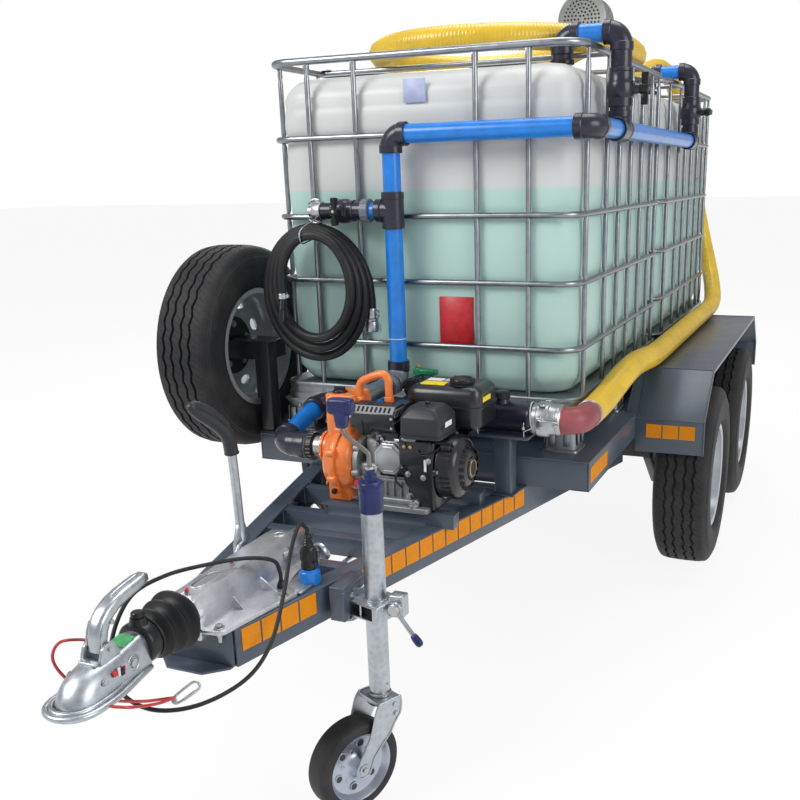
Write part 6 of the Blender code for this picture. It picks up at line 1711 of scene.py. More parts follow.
class TRAILER_OT_engine(bpy.types.Operator):
    """Engine: ribbed crankcase, finned cylinder, octagonal rocker cover, shroud and exhaust guard"""
    bl_idname = "trailer.engine"
    bl_label = "Engine"

    def execute(self, context):
        grey, black, steel, dark = use("casting"), use("engine"), use("zinc"), use("dark")
        motor = Shape()
        rounded_block(motor, at(0.001, -0.452, -0.04), at(0.25, -0.297, 0.06), 0.022, 0.01, grey)
        rounded_block(motor, at(0.02, -0.43, 0.04), at(0.25, -0.3, 0.126), 0.03, 0.016, grey)
        motor.solid([(0, 0.064), (0.002, 0.066), (0.016, 0.066), (0.018, 0.06)],
            at(0.0005, PUMP[1], PUMP[2]), X, grey, 48)
        for angle in around(6, 0.3):
            py, pz = PUMP[1] + 0.066 * cos(angle), PUMP[2] + 0.066 * sin(angle)
            motor.rod(at(0.0015, py, pz), at(0.022, py, pz), 0.0095, grey, 18, bevel=0.0015)
        for index in range(7):
            px = 0.03 + index * 0.022
            motor.box(at(px, -0.458, -0.034), at(px + 0.0045, -0.448, 0.02), grey, 0.0015)
        motor.box(at(0.01, -0.46, 0.016), at(0.16, -0.444, 0.024), grey, 0.002)
        rounded_block(motor, at(0.045, -0.495, -0.054), at(0.235, -0.275, -0.0385), 0.012, 0.003, grey)
        motor.box(at(0.055, -0.475, -0.04), at(0.2, -0.44, -0.024), grey, 0.005, 3)
        for px in (0.062, 0.19):
            motor.rod(at(px, -0.48, -0.046), at(px, -0.48, -0.03), 0.015, grey, 24, bevel=0.003)
            motor.bolt(at(px, -0.48, -0.03), Z, 0.0085, steel)
            motor.rod(at(px, -0.29, -0.046), at(px, -0.29, -0.034), 0.014, grey, 24, bevel=0.003)
            motor.bolt(at(px, -0.29, -0.034), Z, 0.0085, steel)
        for px, pz in ((0.172, -0.02), (0.06, -0.014)):
            motor.rod(at(px, -0.448, pz), at(px, -0.464, pz), 0.0125, grey, 24, bevel=0.002)
            motor.rod(at(px, -0.462, pz), at(px, -0.474, pz), 0.008, steel, 6, bevel=0.001)
        for index in range(9):
            py = -0.384 - index * 0.0078
            motor.box(at(0.07, py - 0.0026, 0.018), at(0.17, py, 0.142), grey, 0.0008, 1)
        motor.box(at(0.078, -0.452, 0.026), at(0.162, -0.38, 0.134), use("iron"), 0.003)
        face = frame_of(at(0.115, -0.4465, 0.082), X, Z)
        motor.plate(octagon(0.05), 0.012, use("bright"), face, 0.0022, 2)
        motor.plate(octagon(0.047), 0.013, use("bright"), face @ move((0, 0, 0.011)), 0.005, 3)
        motor.plate(octagon(0.038), 0.0055, use("bright"), face @ move((0, 0, 0.0215)), 0.0022, 3)
        edge = [face @ Vector((*point, 0.0268)) for point in octagon(0.0345)]
        for pair in zip(edge, edge[1:] + edge[:1]):
            motor.tube(pair, 0.0009, use("bright"), 2)
        for sx, sz in ((-0.04, 0.034), (0.04, 0.034), (-0.04, -0.034), (0.04, -0.034)):
            motor.rod(at(0.115 + sx, -0.446, 0.082 + sz), at(0.115 + sx, -0.46, 0.082 + sz), 0.0085,
                use("bright"), 20, bevel=0.0015)
            motor.rod(at(0.115 + sx, -0.459, 0.082 + sz), at(0.115 + sx, -0.466, 0.082 + sz), 0.0058, steel,
                6, bevel=0.0008)
        outline = [(0.158, 0.14), (0.158, 0.03), (0.182, -0.012), (0.205, -0.052), (0.25, -0.052),
            (0.25, 0.14)]
        motor.plate(outline, 0.15, black, frame_of(at(0, -0.326, 0), X, Z), 0.01, 4)
        motor.box(at(0.15, -0.4785, 0.07), at(0.24, -0.455, 0.141), black, 0.005, 3)
        for pz in (0.122, 0.11):
            motor.tube([at(0.153, -0.4788, pz), at(0.2375, -0.4788, pz)], 0.0014, black, 2)
        for px, pz in ((0.176, 0.05), (0.22, 0.044), (0.236, 0.09), (0.198, -0.028)):
            motor.rod(at(px, -0.474, pz), at(px, -0.483, pz), 0.008, steel, 22, bevel=0.0012)
            motor.rod(at(px, -0.482, pz), at(px, -0.487, pz), 0.0048, steel, 6, bevel=0.0006)
        motor.box(at(0.222, -0.48, 0.06), at(0.229, -0.4784, 0.092), use("pale"), 0.0004, 1)
        motor.tube(rounded([at(0.16, -0.476, 0.058), at(0.146, -0.484, 0.05), at(0.14, -0.486, 0.03),
            at(0.158, -0.48, 0.01)], 0.008), 0.0032, use("rubber"), 3)
        motor.solid([(0, 0.0115), (0.014, 0.0105), (0.016, 0.007), (0.022, 0.0065)],
            at(0.16, -0.466, 0.058), -Y, use("plastic"), 24)
        motor.box(at(0.15, -0.47, 0.126), at(0.232, -0.4, 0.1485), use("plastic"), 0.004, 3)
        rounded_block(motor, at(0.155, -0.478, 0.118), at(0.2, -0.43, 0.146), 0.006, 0.003, use("casting"))
        motor.rod(at(0.14, -0.47, 0.136), at(0.205, -0.47, 0.136), 0.0052, steel, 16, bevel=0.0006)
        for px in (0.168, 0.186):
            motor.rod(at(px, -0.474, 0.124), at(px, -0.4835, 0.124), 0.0048, use("brass"), 12, bevel=0.0006)
        motor.tube(rounded([at(0.13, -0.4, 0.13), at(0.128, -0.43, 0.141), at(0.15, -0.478, 0.143),
            at(0.172, -0.48, 0.132)], 0.012), 0.0024, use("rubber"), 3)
        motor.tube(rounded([at(0.205, -0.478, 0.12), at(0.214, -0.486, 0.104), at(0.244, -0.482, 0.108),
            at(0.262, -0.46, 0.126)], 0.01), 0.0026, use("rubber"), 3)

        guard = [(-0.49, 0.188), (-0.49, 0.206), (-0.47, 0.226), (-0.4215, 0.226), (-0.4215, 0.182),
            (-0.4215, 0.15), (-0.462, 0.15), (-0.484, 0.166)]
        motor.plate(guard, 0.13, black, frame_of(at(0.014, 0, 0), Y, Z), 0.003, 3)
        motor.box(at(0.03, -0.424, 0.152), at(0.15, -0.38, 0.178), use("iron"), 0.004, 3)
        motor.box(at(0.112, -0.424, 0.176), at(0.15, -0.38, 0.2245), black, 0.004, 3)
        motor.box(at(0.01, -0.488, 0.184), at(0.15, -0.4225, 0.188), black, 0.0012)
        # Painted reflection: light grey strips on the black guard's bevel and on its side stand in for the sky
        # reflected there.
        bevelled = move(at(0.079, -0.4798, 0.2162)) @ Matrix.Rotation(-pi / 4, 4, "X")
        motor.box((-0.062, -0.0005, -0.0118), (0.062, 0.0005, 0.0118), use("guard_painted_reflection"), 0.0006, 1,
            place=bevelled)
        motor.box(at(0.1436, -0.484, 0.199), at(0.1446, -0.424, 0.218), use("guard_painted_reflection"), 0.0005, 1)
        # Painted shade: near-black boxes on the guard's bevel, side and top stand in for the shade inside its vent
        # slots.
        for index in range(9):
            px = 0.026 + index * 0.0128
            lean = move(at(px, -0.4799, 0.2161)) @ Matrix.Rotation(-pi / 4, 4, "X")
            motor.box((-0.0032, -0.0012, -0.0082), (0.0032, 0.0008, 0.0082), dark, 0.0006, 1, place=lean)
        for index in range(7):
            py = -0.483 + index * 0.0087
            motor.box((-0.0007, -0.0024, -0.0085), (0.0007, 0.0024, 0.0085), dark, 0.0005, 1,
                place=move(at(0.1447, py + 0.003, 0.2085)) @ Matrix.Rotation(0.35, 4, "X"))
        for index in range(8):
            px = 0.026 + index * 0.0135
            motor.box(at(px, -0.464, 0.2255), at(px + 0.005, -0.43, 0.2265), dark, 0.0005, 1)
        motor.turned([(0, 0), (0, 0.0235), (0.002, 0.0245), (0.009, 0.0245), (0.013, 0.0215),
            (0.015, 0.015), (0.016, 0)], at(0.052, -0.472, 0.168), -Y, use("plastic"), 36)
        motor.box(at(0.0495, -0.4905, 0.148), at(0.0545, -0.4865, 0.188), use("plastic"), 0.001)
        for px, pz in ((0.02, 0.197), (0.138, 0.197), (0.138, 0.172)):
            motor.rod(at(px, -0.4885, pz), at(px, -0.493, pz), 0.0038, steel, 14, bevel=0.0006)
        motor.box(at(0.086, -0.45, 0.118), at(0.14, -0.406, 0.152), use("iron"), 0.004, 3)
        motor.rod(at(0.092, -0.448, 0.132), at(0.092, -0.458, 0.132), 0.0055, steel, 6, bevel=0.0008)
        motor.rod(at(0.132, -0.448, 0.132), at(0.132, -0.458, 0.132), 0.0055, steel, 6, bevel=0.0008)
        motor.rod(at(0.022, -0.456, 0.006), at(0.022, -0.478, 0.006), 0.0105, use("notice"), 20, bevel=0.0025)
        motor.done("engine_castings", "trailer", "engine_casting", "engine_block", 36)
        return {"FINISHED"}


class TRAILER_OT_engine_covers(bpy.types.Operator):
    """Recoil starter with its grille, air box with its knob, fuel tank with plain labels, and the cap"""
    bl_idname = "trailer.engine_covers"
    bl_label = "Engine Covers"

    def execute(self, context):
        black, satin, steel, dark = use("engine"), use("satin"), use("zinc"), use("dark")
        foot = at(0.2553, -0.4, 0.058)
        starter = Shape()
        starter.turned([(0, 0), (0, 0.088), (0.004, 0.088), (0.008, 0.086), (0.034, 0.085), (0.042, 0.083),
            (0.048, 0.078), (0.05, 0.076), (0.049, 0.0745), (0.056, 0.062), (0.064, 0.047), (0.069, 0.035),
            (0.069, 0.033), (0.066, 0.0315), (0.066, 0.029), (0.0715, 0.0275), (0.0735, 0.02), (0.074, 0)],
            foot, X, black, 72)
        tilt = move((0.057, 0, 0.06)) @ Matrix.Rotation(-1.02, 4, "Y")
        # Painted shade: near-black boxes stand in for the shade inside the grille's slots and openings.
        for index, angle in enumerate(around(18)):
            turn = move(foot) @ Matrix.Rotation(angle, 4, "X")
            slot = turn @ tilt
            starter.box((-0.001, -0.0046, -0.0125), (0.001, 0.0046, 0.0125), dark, 0.0005, 1, place=slot)
            starter.tube([slot @ Vector(p) for p in ((0.001, -0.0064, -0.013), (0.0014, -0.0064, 0.013))],
                0.0011, satin, 3)
            if index % 3 != 1:
                for across in (-0.01, 0.0035):
                    starter.box((0.012, across, 0.0846), (0.04, across + 0.0065, 0.0862), dark, 0.0006, 1,
                        place=turn)
        starter.torus(foot + X * 0.0728, X, 0.021, 0.0016, use("brass"), 40, 8)
        starter.solid([(0, 0.0195), (0.001, 0.019)], foot + X * 0.0732, X, satin, 40)
        for angle in around(3, 0.6):
            spot = foot + Vector((0.004, 0.09 * sin(angle), 0.09 * cos(angle)))
            starter.rod(spot - X * 0.0035, spot + X * 0.004, 0.0105, black, 20, bevel=0.0015)
            starter.bolt(spot + X * 0.0035, X, 0.006, steel)
        grip = foot + Vector((0.022, -0.056, 0.0705))
        way = Vector((0, -0.62, 0.78)).normalized()
        starter.box(grip - Vector((0.013, 0.012, 0.01)), grip + Vector((0.013, 0.004, 0.006)), black, 0.003)
        starter.rod(grip, grip + way * 0.014, 0.0085, use("plastic"), 20, end_radius=0.007, bevel=0.0015)
        starter.tube([grip + way * 0.012 + Vector((-0.019, 0, 0)), grip + way * 0.014,
            grip + way * 0.012 + Vector((0.019, 0, 0))], 0.0062, use("plastic"), 5)
        starter.done("starter_cover", "trailer", "engine_black", "recoil_starter", 40)

        box = Shape()
        sections = []
        for z, inset, radius in ((0.1492, 0.003, 0.01), (0.15, 0, 0.012), (0.157, 0, 0.012),
                (0.158, 0.0018, 0.011), (0.16, 0.0018, 0.011), (0.161, 0.0006, 0.012),
                (0.203, 0.0012, 0.012), (0.206, 0.0026, 0.013), (0.224, 0.015, 0.016),
                (0.2275, 0.0185, 0.016), (0.2285, 0.022, 0.015)):
            sections.append([at(0.2175 + x, -0.435 + y, z) for x, y in round_outline(0.115 - 2 * inset,
                0.12 - 2 * inset, radius, 5)])
        box.loft(sections, satin)
        box.box(at(0.172, -0.46, 0.1403), at(0.235, -0.4, 0.1505), use("plastic"), 0.003)
        knob = at(0.2175, -0.435, 0.2282)
        box.turned([(-0.0002, 0), (-0.0002, 0.0195), (0.001, 0.021), (0.0016, 0.0195), (0.0008, 0.0165),
            (0.0006, 0)], knob, Z, satin, 36)
        box.solid([(0, 0.007), (0.004, 0.0062), (0.006, 0.0075), (0.0085, 0.0075), (0.0095, 0.006)],
            knob + Z * 0.0003, Z, use("plastic"), 24)
        for py in (-0.47, -0.4):
            box.rod(at(0.274, py, 0.18), at(0.2775, py, 0.18), 0.006, satin, 20, bevel=0.001)
        box.box(at(0.2744, -0.455, 0.176), at(0.2752, -0.412, 0.19), use("pale"), 0.0004, 1)
        box.done("air_box", "trailer", "engine_black", "air_filter", 30)

        tank = Shape()
        sections = []
        for z, inset, radius, lean in ((0.1455, 0.016, 0.02, 0), (0.1475, 0.008, 0.024, 0),
                (0.154, 0.003, 0.026, 0), (0.2, 0.003, 0.028, 0), (0.201, 0, 0.03, 0), (0.205, 0, 0.03, 0),
                (0.206, 0.003, 0.028, 0), (0.236, 0.004, 0.028, 0.002), (0.248, 0.009, 0.026, 0.004),
                (0.256, 0.018, 0.024, 0.006), (0.26, 0.03, 0.02, 0.006), (0.261, 0.04, 0.016, 0.006)):
            sections.append([at(0.219 + lean + x, -0.275 + y, z) for x,
                y in round_outline(0.222 - 2 * inset, 0.16 - 2 * inset, radius, 6)])
        tank.loft(sections, black)
        tank.box(at(0.152, -0.333, 0.2585), at(0.222, -0.297, 0.2618), use("sticker"), 0.0004, 1)
        tank.box(at(0.15, -0.285, 0.2592), at(0.196, -0.255, 0.2616), use("pale"), 0.0004, 1)
        tank.box(at(0.2, -0.285, 0.2592), at(0.226, -0.255, 0.2616), use("label"), 0.0004, 1)
        tank.box(at(0.3268, -0.32, 0.216), at(0.3278, -0.262, 0.234), use("sticker"), 0.0004, 1)
        tank.turned([(0, 0), (0, 0.0385), (0.0015, 0.039), (0.003, 0.036), (0.0032, 0)],
            at(0.262, -0.3, 0.2588), Z, black, 44)
        for px in (0.122, 0.238):
            tank.box(at(px - 0.012, -0.345, 0.1283), at(px + 0.012, -0.302, 0.15), use("plastic"), 0.003)
        tank.tube(rounded([at(0.12, -0.35, 0.15), at(0.118, -0.372, 0.142), at(0.142, -0.38, 0.136)],
            0.008), 0.0038, use("rubber"), 3)
        tank.done("fuel_reservoir", "trailer", "engine_black", "fuel_tank", 30)

        base = at(0.262, -0.3, 0.2623)
        cap = Shape()
        cap.turned([(0, 0), (0, 0.032), (0.0015, 0.033), (0.01, 0.033), (0.013, 0.031), (0.015, 0.027),
            (0.016, 0.018), (0.0168, 0.016), (0.017, 0)], base, Z, use("plastic"), 48)
        cap.ridges(base, 24, (0.0328, 0.0008), (0.0326, 0.011), 0.0015, use("plastic"))
        cap.box(base + Vector((-0.024, -0.0035, 0.0145)), base + Vector((0.024, 0.0035, 0.0185)),
            use("plastic"), 0.0014)
        cap.done("fuel_cap_ribbed", "tank_cap", "black_plastic", "fuel_cap", 36)
        return {"FINISHED"}


# Pipework

PIPE, SOCKET = 0.0265, 0.0335
RUN_Y = -0.15
HEADER_Z, SIDE_X, TOP_Z, FILL_Z, BRANCH_Z = 0.916, 0.545, 1.18, 1.025, 0.705
RISER_X, PIPE_Y = -0.05, -0.045
FILL_Y = (0.25, 1.5)


def mouth(shape, end, out, finish, radius=SOCKET, length=0.026):
    """A fitting's thick socket round a pipe, with its mouth facing out."""
    return shape.solid([(-length, radius * 0.93), (-length + 0.0025, radius), (-0.0014, radius),
        (0, radius - 0.0014), (0, PIPE + 0.002), (-0.003, PIPE + 0.0004)], end, out, finish, 40)


def elbow(shape, corner, first, second, finish, reach=0.052, radius=SOCKET, turn=0.04):
    """A moulded elbow: a swept bend between two sockets."""
    first, second = Vector(first).normalized(), Vector(second).normalized()
    start, end = corner + first * turn, corner + second * turn
    bend = arc(start, corner + (first + second) * turn * 0.12, end, 10)
    shape.tube([corner + first * (reach - 0.004), *bend, corner + second * (reach - 0.004)], radius * 0.965,
        finish, 9)
    for out in (first, second):
        mouth(shape, corner + out * reach, out, finish, radius, 0.024)
    return shape


def tee(shape, centre, along, branch, finish):
    """A moulded tee: a run and its branch, each end in a socket."""
    reach, radius = 0.052, SOCKET
    shape.rod(centre - along * (reach - 0.004), centre + along * (reach - 0.004), radius * 0.965, finish, 40)
    shape.rod(centre, centre + branch * (reach - 0.004), radius * 0.965, finish, 40)
    shape.torus(centre + branch * (radius * 0.95), branch, radius * 0.97, 0.003, finish, 36, 8)
    for out in (along, -along, branch):
        mouth(shape, centre + out * reach, out, finish, radius, 0.022)
    return shape


def ribs(shape, centre, axis, radius, length, count, finish, thick=0.0018):
    """Grip ribs round a nut or cap."""
    half = Vector(axis).normalized() * length / 2
    for angle in around(count):
        spot = facing(centre, axis) @ Vector((0, radius * cos(angle), radius * sin(angle)))
        shape.rod(spot - half, spot + half, thick, finish, 6)
    return shape


def nut(shape, centre, axis, radius, length, finish, count=20):
    """A ribbed union nut."""
    half = length / 2
    shape.solid([(-half, radius - 0.0035), (-half + 0.002, radius - 0.0012),
        (half - 0.002, radius - 0.0012), (half, radius - 0.0035)], centre, axis, finish, 40)
    return ribs(shape, centre, axis, radius - 0.0016, length - 0.005, count, finish)


def ball_valve(shape, centre, axis, radius, half, finish):
    """A moulded valve body with a ball's bulge between its sockets."""
    neck = radius * 0.87
    shape.solid([(-half, neck - 0.0015), (-half + 0.0015, neck), (-half * 0.5, neck),
        (-half * 0.42, radius * 0.95), (-half * 0.25, radius * 0.985), (0, radius),
        (half * 0.25, radius * 0.985), (half * 0.42, radius * 0.93), (half * 0.52, neck * 0.985),
        (half - 0.0015, neck * 0.985), (half, neck - 0.002)], centre, axis, finish, 48)
    return shape


def wing_grip(name, body, base, out, along, hub, reach, low, high, half, node):
    """A T-handle: a domed hub and two ribbed wings."""
    black = use("plastic")
    grip = Shape()
    place = basis(base, along, along.cross(out), out)
    grip.turned([(0, 0), (0, hub * 0.86), (0.002, hub * 0.98), (high * 0.55, hub * 0.98),
        (high * 0.9, hub * 0.86), (high + 0.0015, hub * 0.5), (high + 0.002, 0)], base, out, black, 32)
    for side in (1, -1):
        outline = [(0, -half * 0.62), (side * reach * 0.34, -half * 0.6),
            (side * reach * 0.48, -half * 0.92), (side * (reach - 0.0035), -half),
            (side * reach, -half * 0.72), (side * reach, half * 0.72), (side * (reach - 0.0035), half),
            (side * reach * 0.48, half * 0.92), (side * reach * 0.34, half * 0.6), (0, half * 0.62)]
        grip.plate(outline, high - low - 0.001, black, place @ move((0, 0, low + 0.0005)), 0.0012)
        for index in range(6):
            where = side * reach * (0.52 + 0.085 * index)
            for edge in (-half, half):
                grip.box((where - 0.001, edge * 0.99 - 0.0007, low + 0.001),
                    (where + 0.001, edge * 0.99 + 0.0007, high - 0.001), black, 0.0004, 1, place)
            grip.box((where - 0.001, -half * 0.8, high - 0.0008),
                (where + 0.001, half * 0.8, high + 0.0006), black, 0.0004, 1, place)
    grip.bolt(base + out * (high + 0.0006), out, 0.005, use("zinc"), tall=0.4)
    return grip.done(name, body, "black_plastic", node)


class TRAILER_OT_delivery_pipes(bpy.types.Operator):
    """Blue riser and headers with slate elbows and tees, the fill valves and the branch with its hose hook"""
    bl_idname = "trailer.delivery_pipes"
    bl_label = "Delivery Pipes"

    def execute(self, context):
        blue, slate, pale, steel, black = use("blue"), use("fitting"), use("pale_fitting"), use(
            "bright"), use("plastic")
        pipes = Shape()
        foot = at(RISER_X, PIPE_Y, 0.2)
        pipes.rod(at(RISER_X, -0.3047, 0.2), at(RISER_X, -0.08, 0.2), 0.0262, steel, 40)
        pipes.turned([(0, 0), (0, 0.032), (0.002, 0.0335), (0.034, 0.0335), (0.038, 0.03), (0.04, 0)],
            at(RISER_X, -0.3047, 0.2), Y, steel, 40)
        nut(pipes, at(RISER_X, -0.118, 0.2), Y, 0.0335, 0.022, pale, 18)
        elbow(pipes, foot, -Y, Z, pale, radius=0.0335)
        mouth(pipes, at(RISER_X, PIPE_Y, 0.262), Z, slate, SOCKET + 0.0001, 0.034)
        pipes.rod(at(RISER_X, PIPE_Y, 0.25), at(RISER_X, PIPE_Y, BRANCH_Z - 0.05), PIPE, blue, 40)
        pipes.rod(at(RISER_X, PIPE_Y, BRANCH_Z + 0.05), at(RISER_X, PIPE_Y, HEADER_Z - 0.05), PIPE, blue, 40)
        tee(pipes, at(RISER_X, PIPE_Y, BRANCH_Z), Z, -X, slate)
        elbow(pipes, at(RISER_X, PIPE_Y, HEADER_Z), -Z, X, slate)
        pipes.rod(at(RISER_X + 0.05, PIPE_Y, HEADER_Z), at(SIDE_X - 0.05, PIPE_Y, HEADER_Z), PIPE, blue, 40)
        elbow(pipes, at(SIDE_X, PIPE_Y, HEADER_Z), -X, Y, slate)
        stops = [PIPE_Y + 0.05, FILL_Y[0] - 0.05, FILL_Y[0] + 0.05, FILL_Y[1] - 0.05]
        for start, end in (stops[:2], stops[2:]):
            pipes.rod(at(SIDE_X, start, HEADER_Z), at(SIDE_X, end, HEADER_Z), PIPE, blue, 40)
        pipes.solid([(0, 0.0255), (0.006, 0.0255), (0.008, 0.0235)],
            at(SIDE_X, FILL_Y[1] + 0.046, HEADER_Z), Y, slate, 32)
        for y in FILL_Y:
            tee(pipes, at(SIDE_X, y, HEADER_Z), Y, Z, slate)
            pipes.rod(at(SIDE_X, y, 0.964), at(SIDE_X, y, 0.984), 0.03, slate, 40)
            ball_valve(pipes, at(SIDE_X, y, FILL_Z), Z, 0.041, 0.0475, slate)
            pipes.rod(at(SIDE_X, y, 1.07), at(SIDE_X, y, 1.132), 0.03, slate, 40)
            mouth(pipes, at(SIDE_X, y, 1.072), -Z, slate, 0.0345, 0.012)
            pipes.solid([(0.03, 0.019), (0.04, 0.0185), (0.0425, 0.015), (0.0552, 0.013)],
                at(SIDE_X, y, FILL_Z), X, slate, 32)
            elbow(pipes, at(SIDE_X, y, TOP_Z), -Z, -X, slate)
            pipes.rod(at(0.418, y, TOP_Z), at(SIDE_X - 0.05, y, TOP_Z), 0.0262, blue, 40)
            elbow(pipes, at(0.37, y, TOP_Z), X, -Z, slate)
            pipes.rod(at(0.37, y, 1.102), at(0.37, y, 1.132), 0.0285, slate, 40)
            pipes.solid([(0, 0.034), (0.002, 0.036), (0.012, 0.036), (0.014, 0.034)], at(0.37, y, 1.1005),
                Z, black, 40)
        end = at(RISER_X, PIPE_Y, BRANCH_Z)
        pipes.rod(end - X * 0.05, end - X * 0.076, 0.023, blue, 36)
        pipes.solid([(0, 0.0325), (0.0015, 0.034), (0.0225, 0.034), (0.024, 0.0325)], end - X * 0.073, -X,
            pale, 40)
        ribs(pipes, end - X * 0.085, X, 0.0336, 0.018, 16, pale, 0.0014)
        pipes.rod(end - X * 0.096, end - X * 0.128, 0.0275, slate, 36)
        ball_valve(pipes, at(-0.21, PIPE_Y, BRANCH_Z), X, 0.036, 0.036, slate)
        nut(pipes, at(-0.236, PIPE_Y, BRANCH_Z), X, 0.0355, 0.018, black, 18)
        pipes.rod(at(-0.244, PIPE_Y, BRANCH_Z), at(-0.288, PIPE_Y, BRANCH_Z), 0.0245, slate, 36)
        pipes.solid([(0.03, 0.0165), (0.038, 0.016), (0.04, 0.012), (0.05, 0.0115)],
            at(-0.21, PIPE_Y, BRANCH_Z), -Y, slate, 32)
        pipes.solid([(-0.001, 0.0275), (0.001, 0.029), (0.024, 0.029), (0.027, 0.027), (0.027, 0.02),
            (0.032, 0.016), (0.0445, 0.016), (0.0455, 0.015)], at(-0.2845, PIPE_Y, BRANCH_Z), -X, steel, 40)
        for side in (1, -1):
            lug = at(-0.298, PIPE_Y, BRANCH_Z + side * 0.029)
            pipes.box(lug + Vector((-0.0095, -0.006, -0.005)), lug + Vector((0.0055, 0.006, 0.006)), steel,
                0.0015)
            pipes.rod(lug + Y * 0.0075 + Z * side * 0.002, lug - Y * 0.0075 + Z * side * 0.002, 0.0018,
                steel, 12)
            pipes.tube(smooth_route([lug + Vector((0.004, 0, side * 0.004)),
                lug + Vector((-0.012, 0, side * 0.006)), lug + Vector((-0.026, 0, side * 0.001)),
                lug + Vector((-0.036, 0, -side * 0.006))], 4), 0.0036, steel, 5)
        hook = [at(-0.298, y, z) for y, z in ((-0.052, 0.69), (-0.082, 0.6778), (-0.115, 0.6705),
            (-0.148, 0.6608), (-0.166, 0.65), (-0.168, 0.634), (-0.16, 0.6197), (-0.148, 0.6152),
            (-0.05, 0.6327), (-0.0335, 0.6377), (-0.0285, 0.655), (-0.036, 0.69))]
        pipes.tube(rounded(hook, 0.01, 4), 0.002, use("zinc"), 5)
        pipes.torus(at(RISER_X, PIPE_Y, 0.33), Z, PIPE + 0.0012, 0.0014, use("clear_tie"), 32, 6)
        pipes.done("delivery_pipes", "trailer", "blue_pipe", "delivery_pipework", 35)
        wing_grip("front_fill_grip", "front_fill_valve", at(0.6003, 0.25, 1.025), X, Z, 0.016, 0.044, 0.004,
            0.024, 0.009, "front_valve_handle")
        wing_grip("rear_fill_grip", "rear_fill_valve", at(0.6003, 1.5, 1.025), X, Y, 0.016, 0.044, 0.004,
            0.024, 0.009, "rear_valve_handle")
        wing_grip("branch_grip", "branch_valve", at(-0.21, -0.0953, 0.705), -Y, Z, 0.014, 0.04, 0.005,
            0.022, 0.008, "branch_valve_handle")
        return {"FINISHED"}


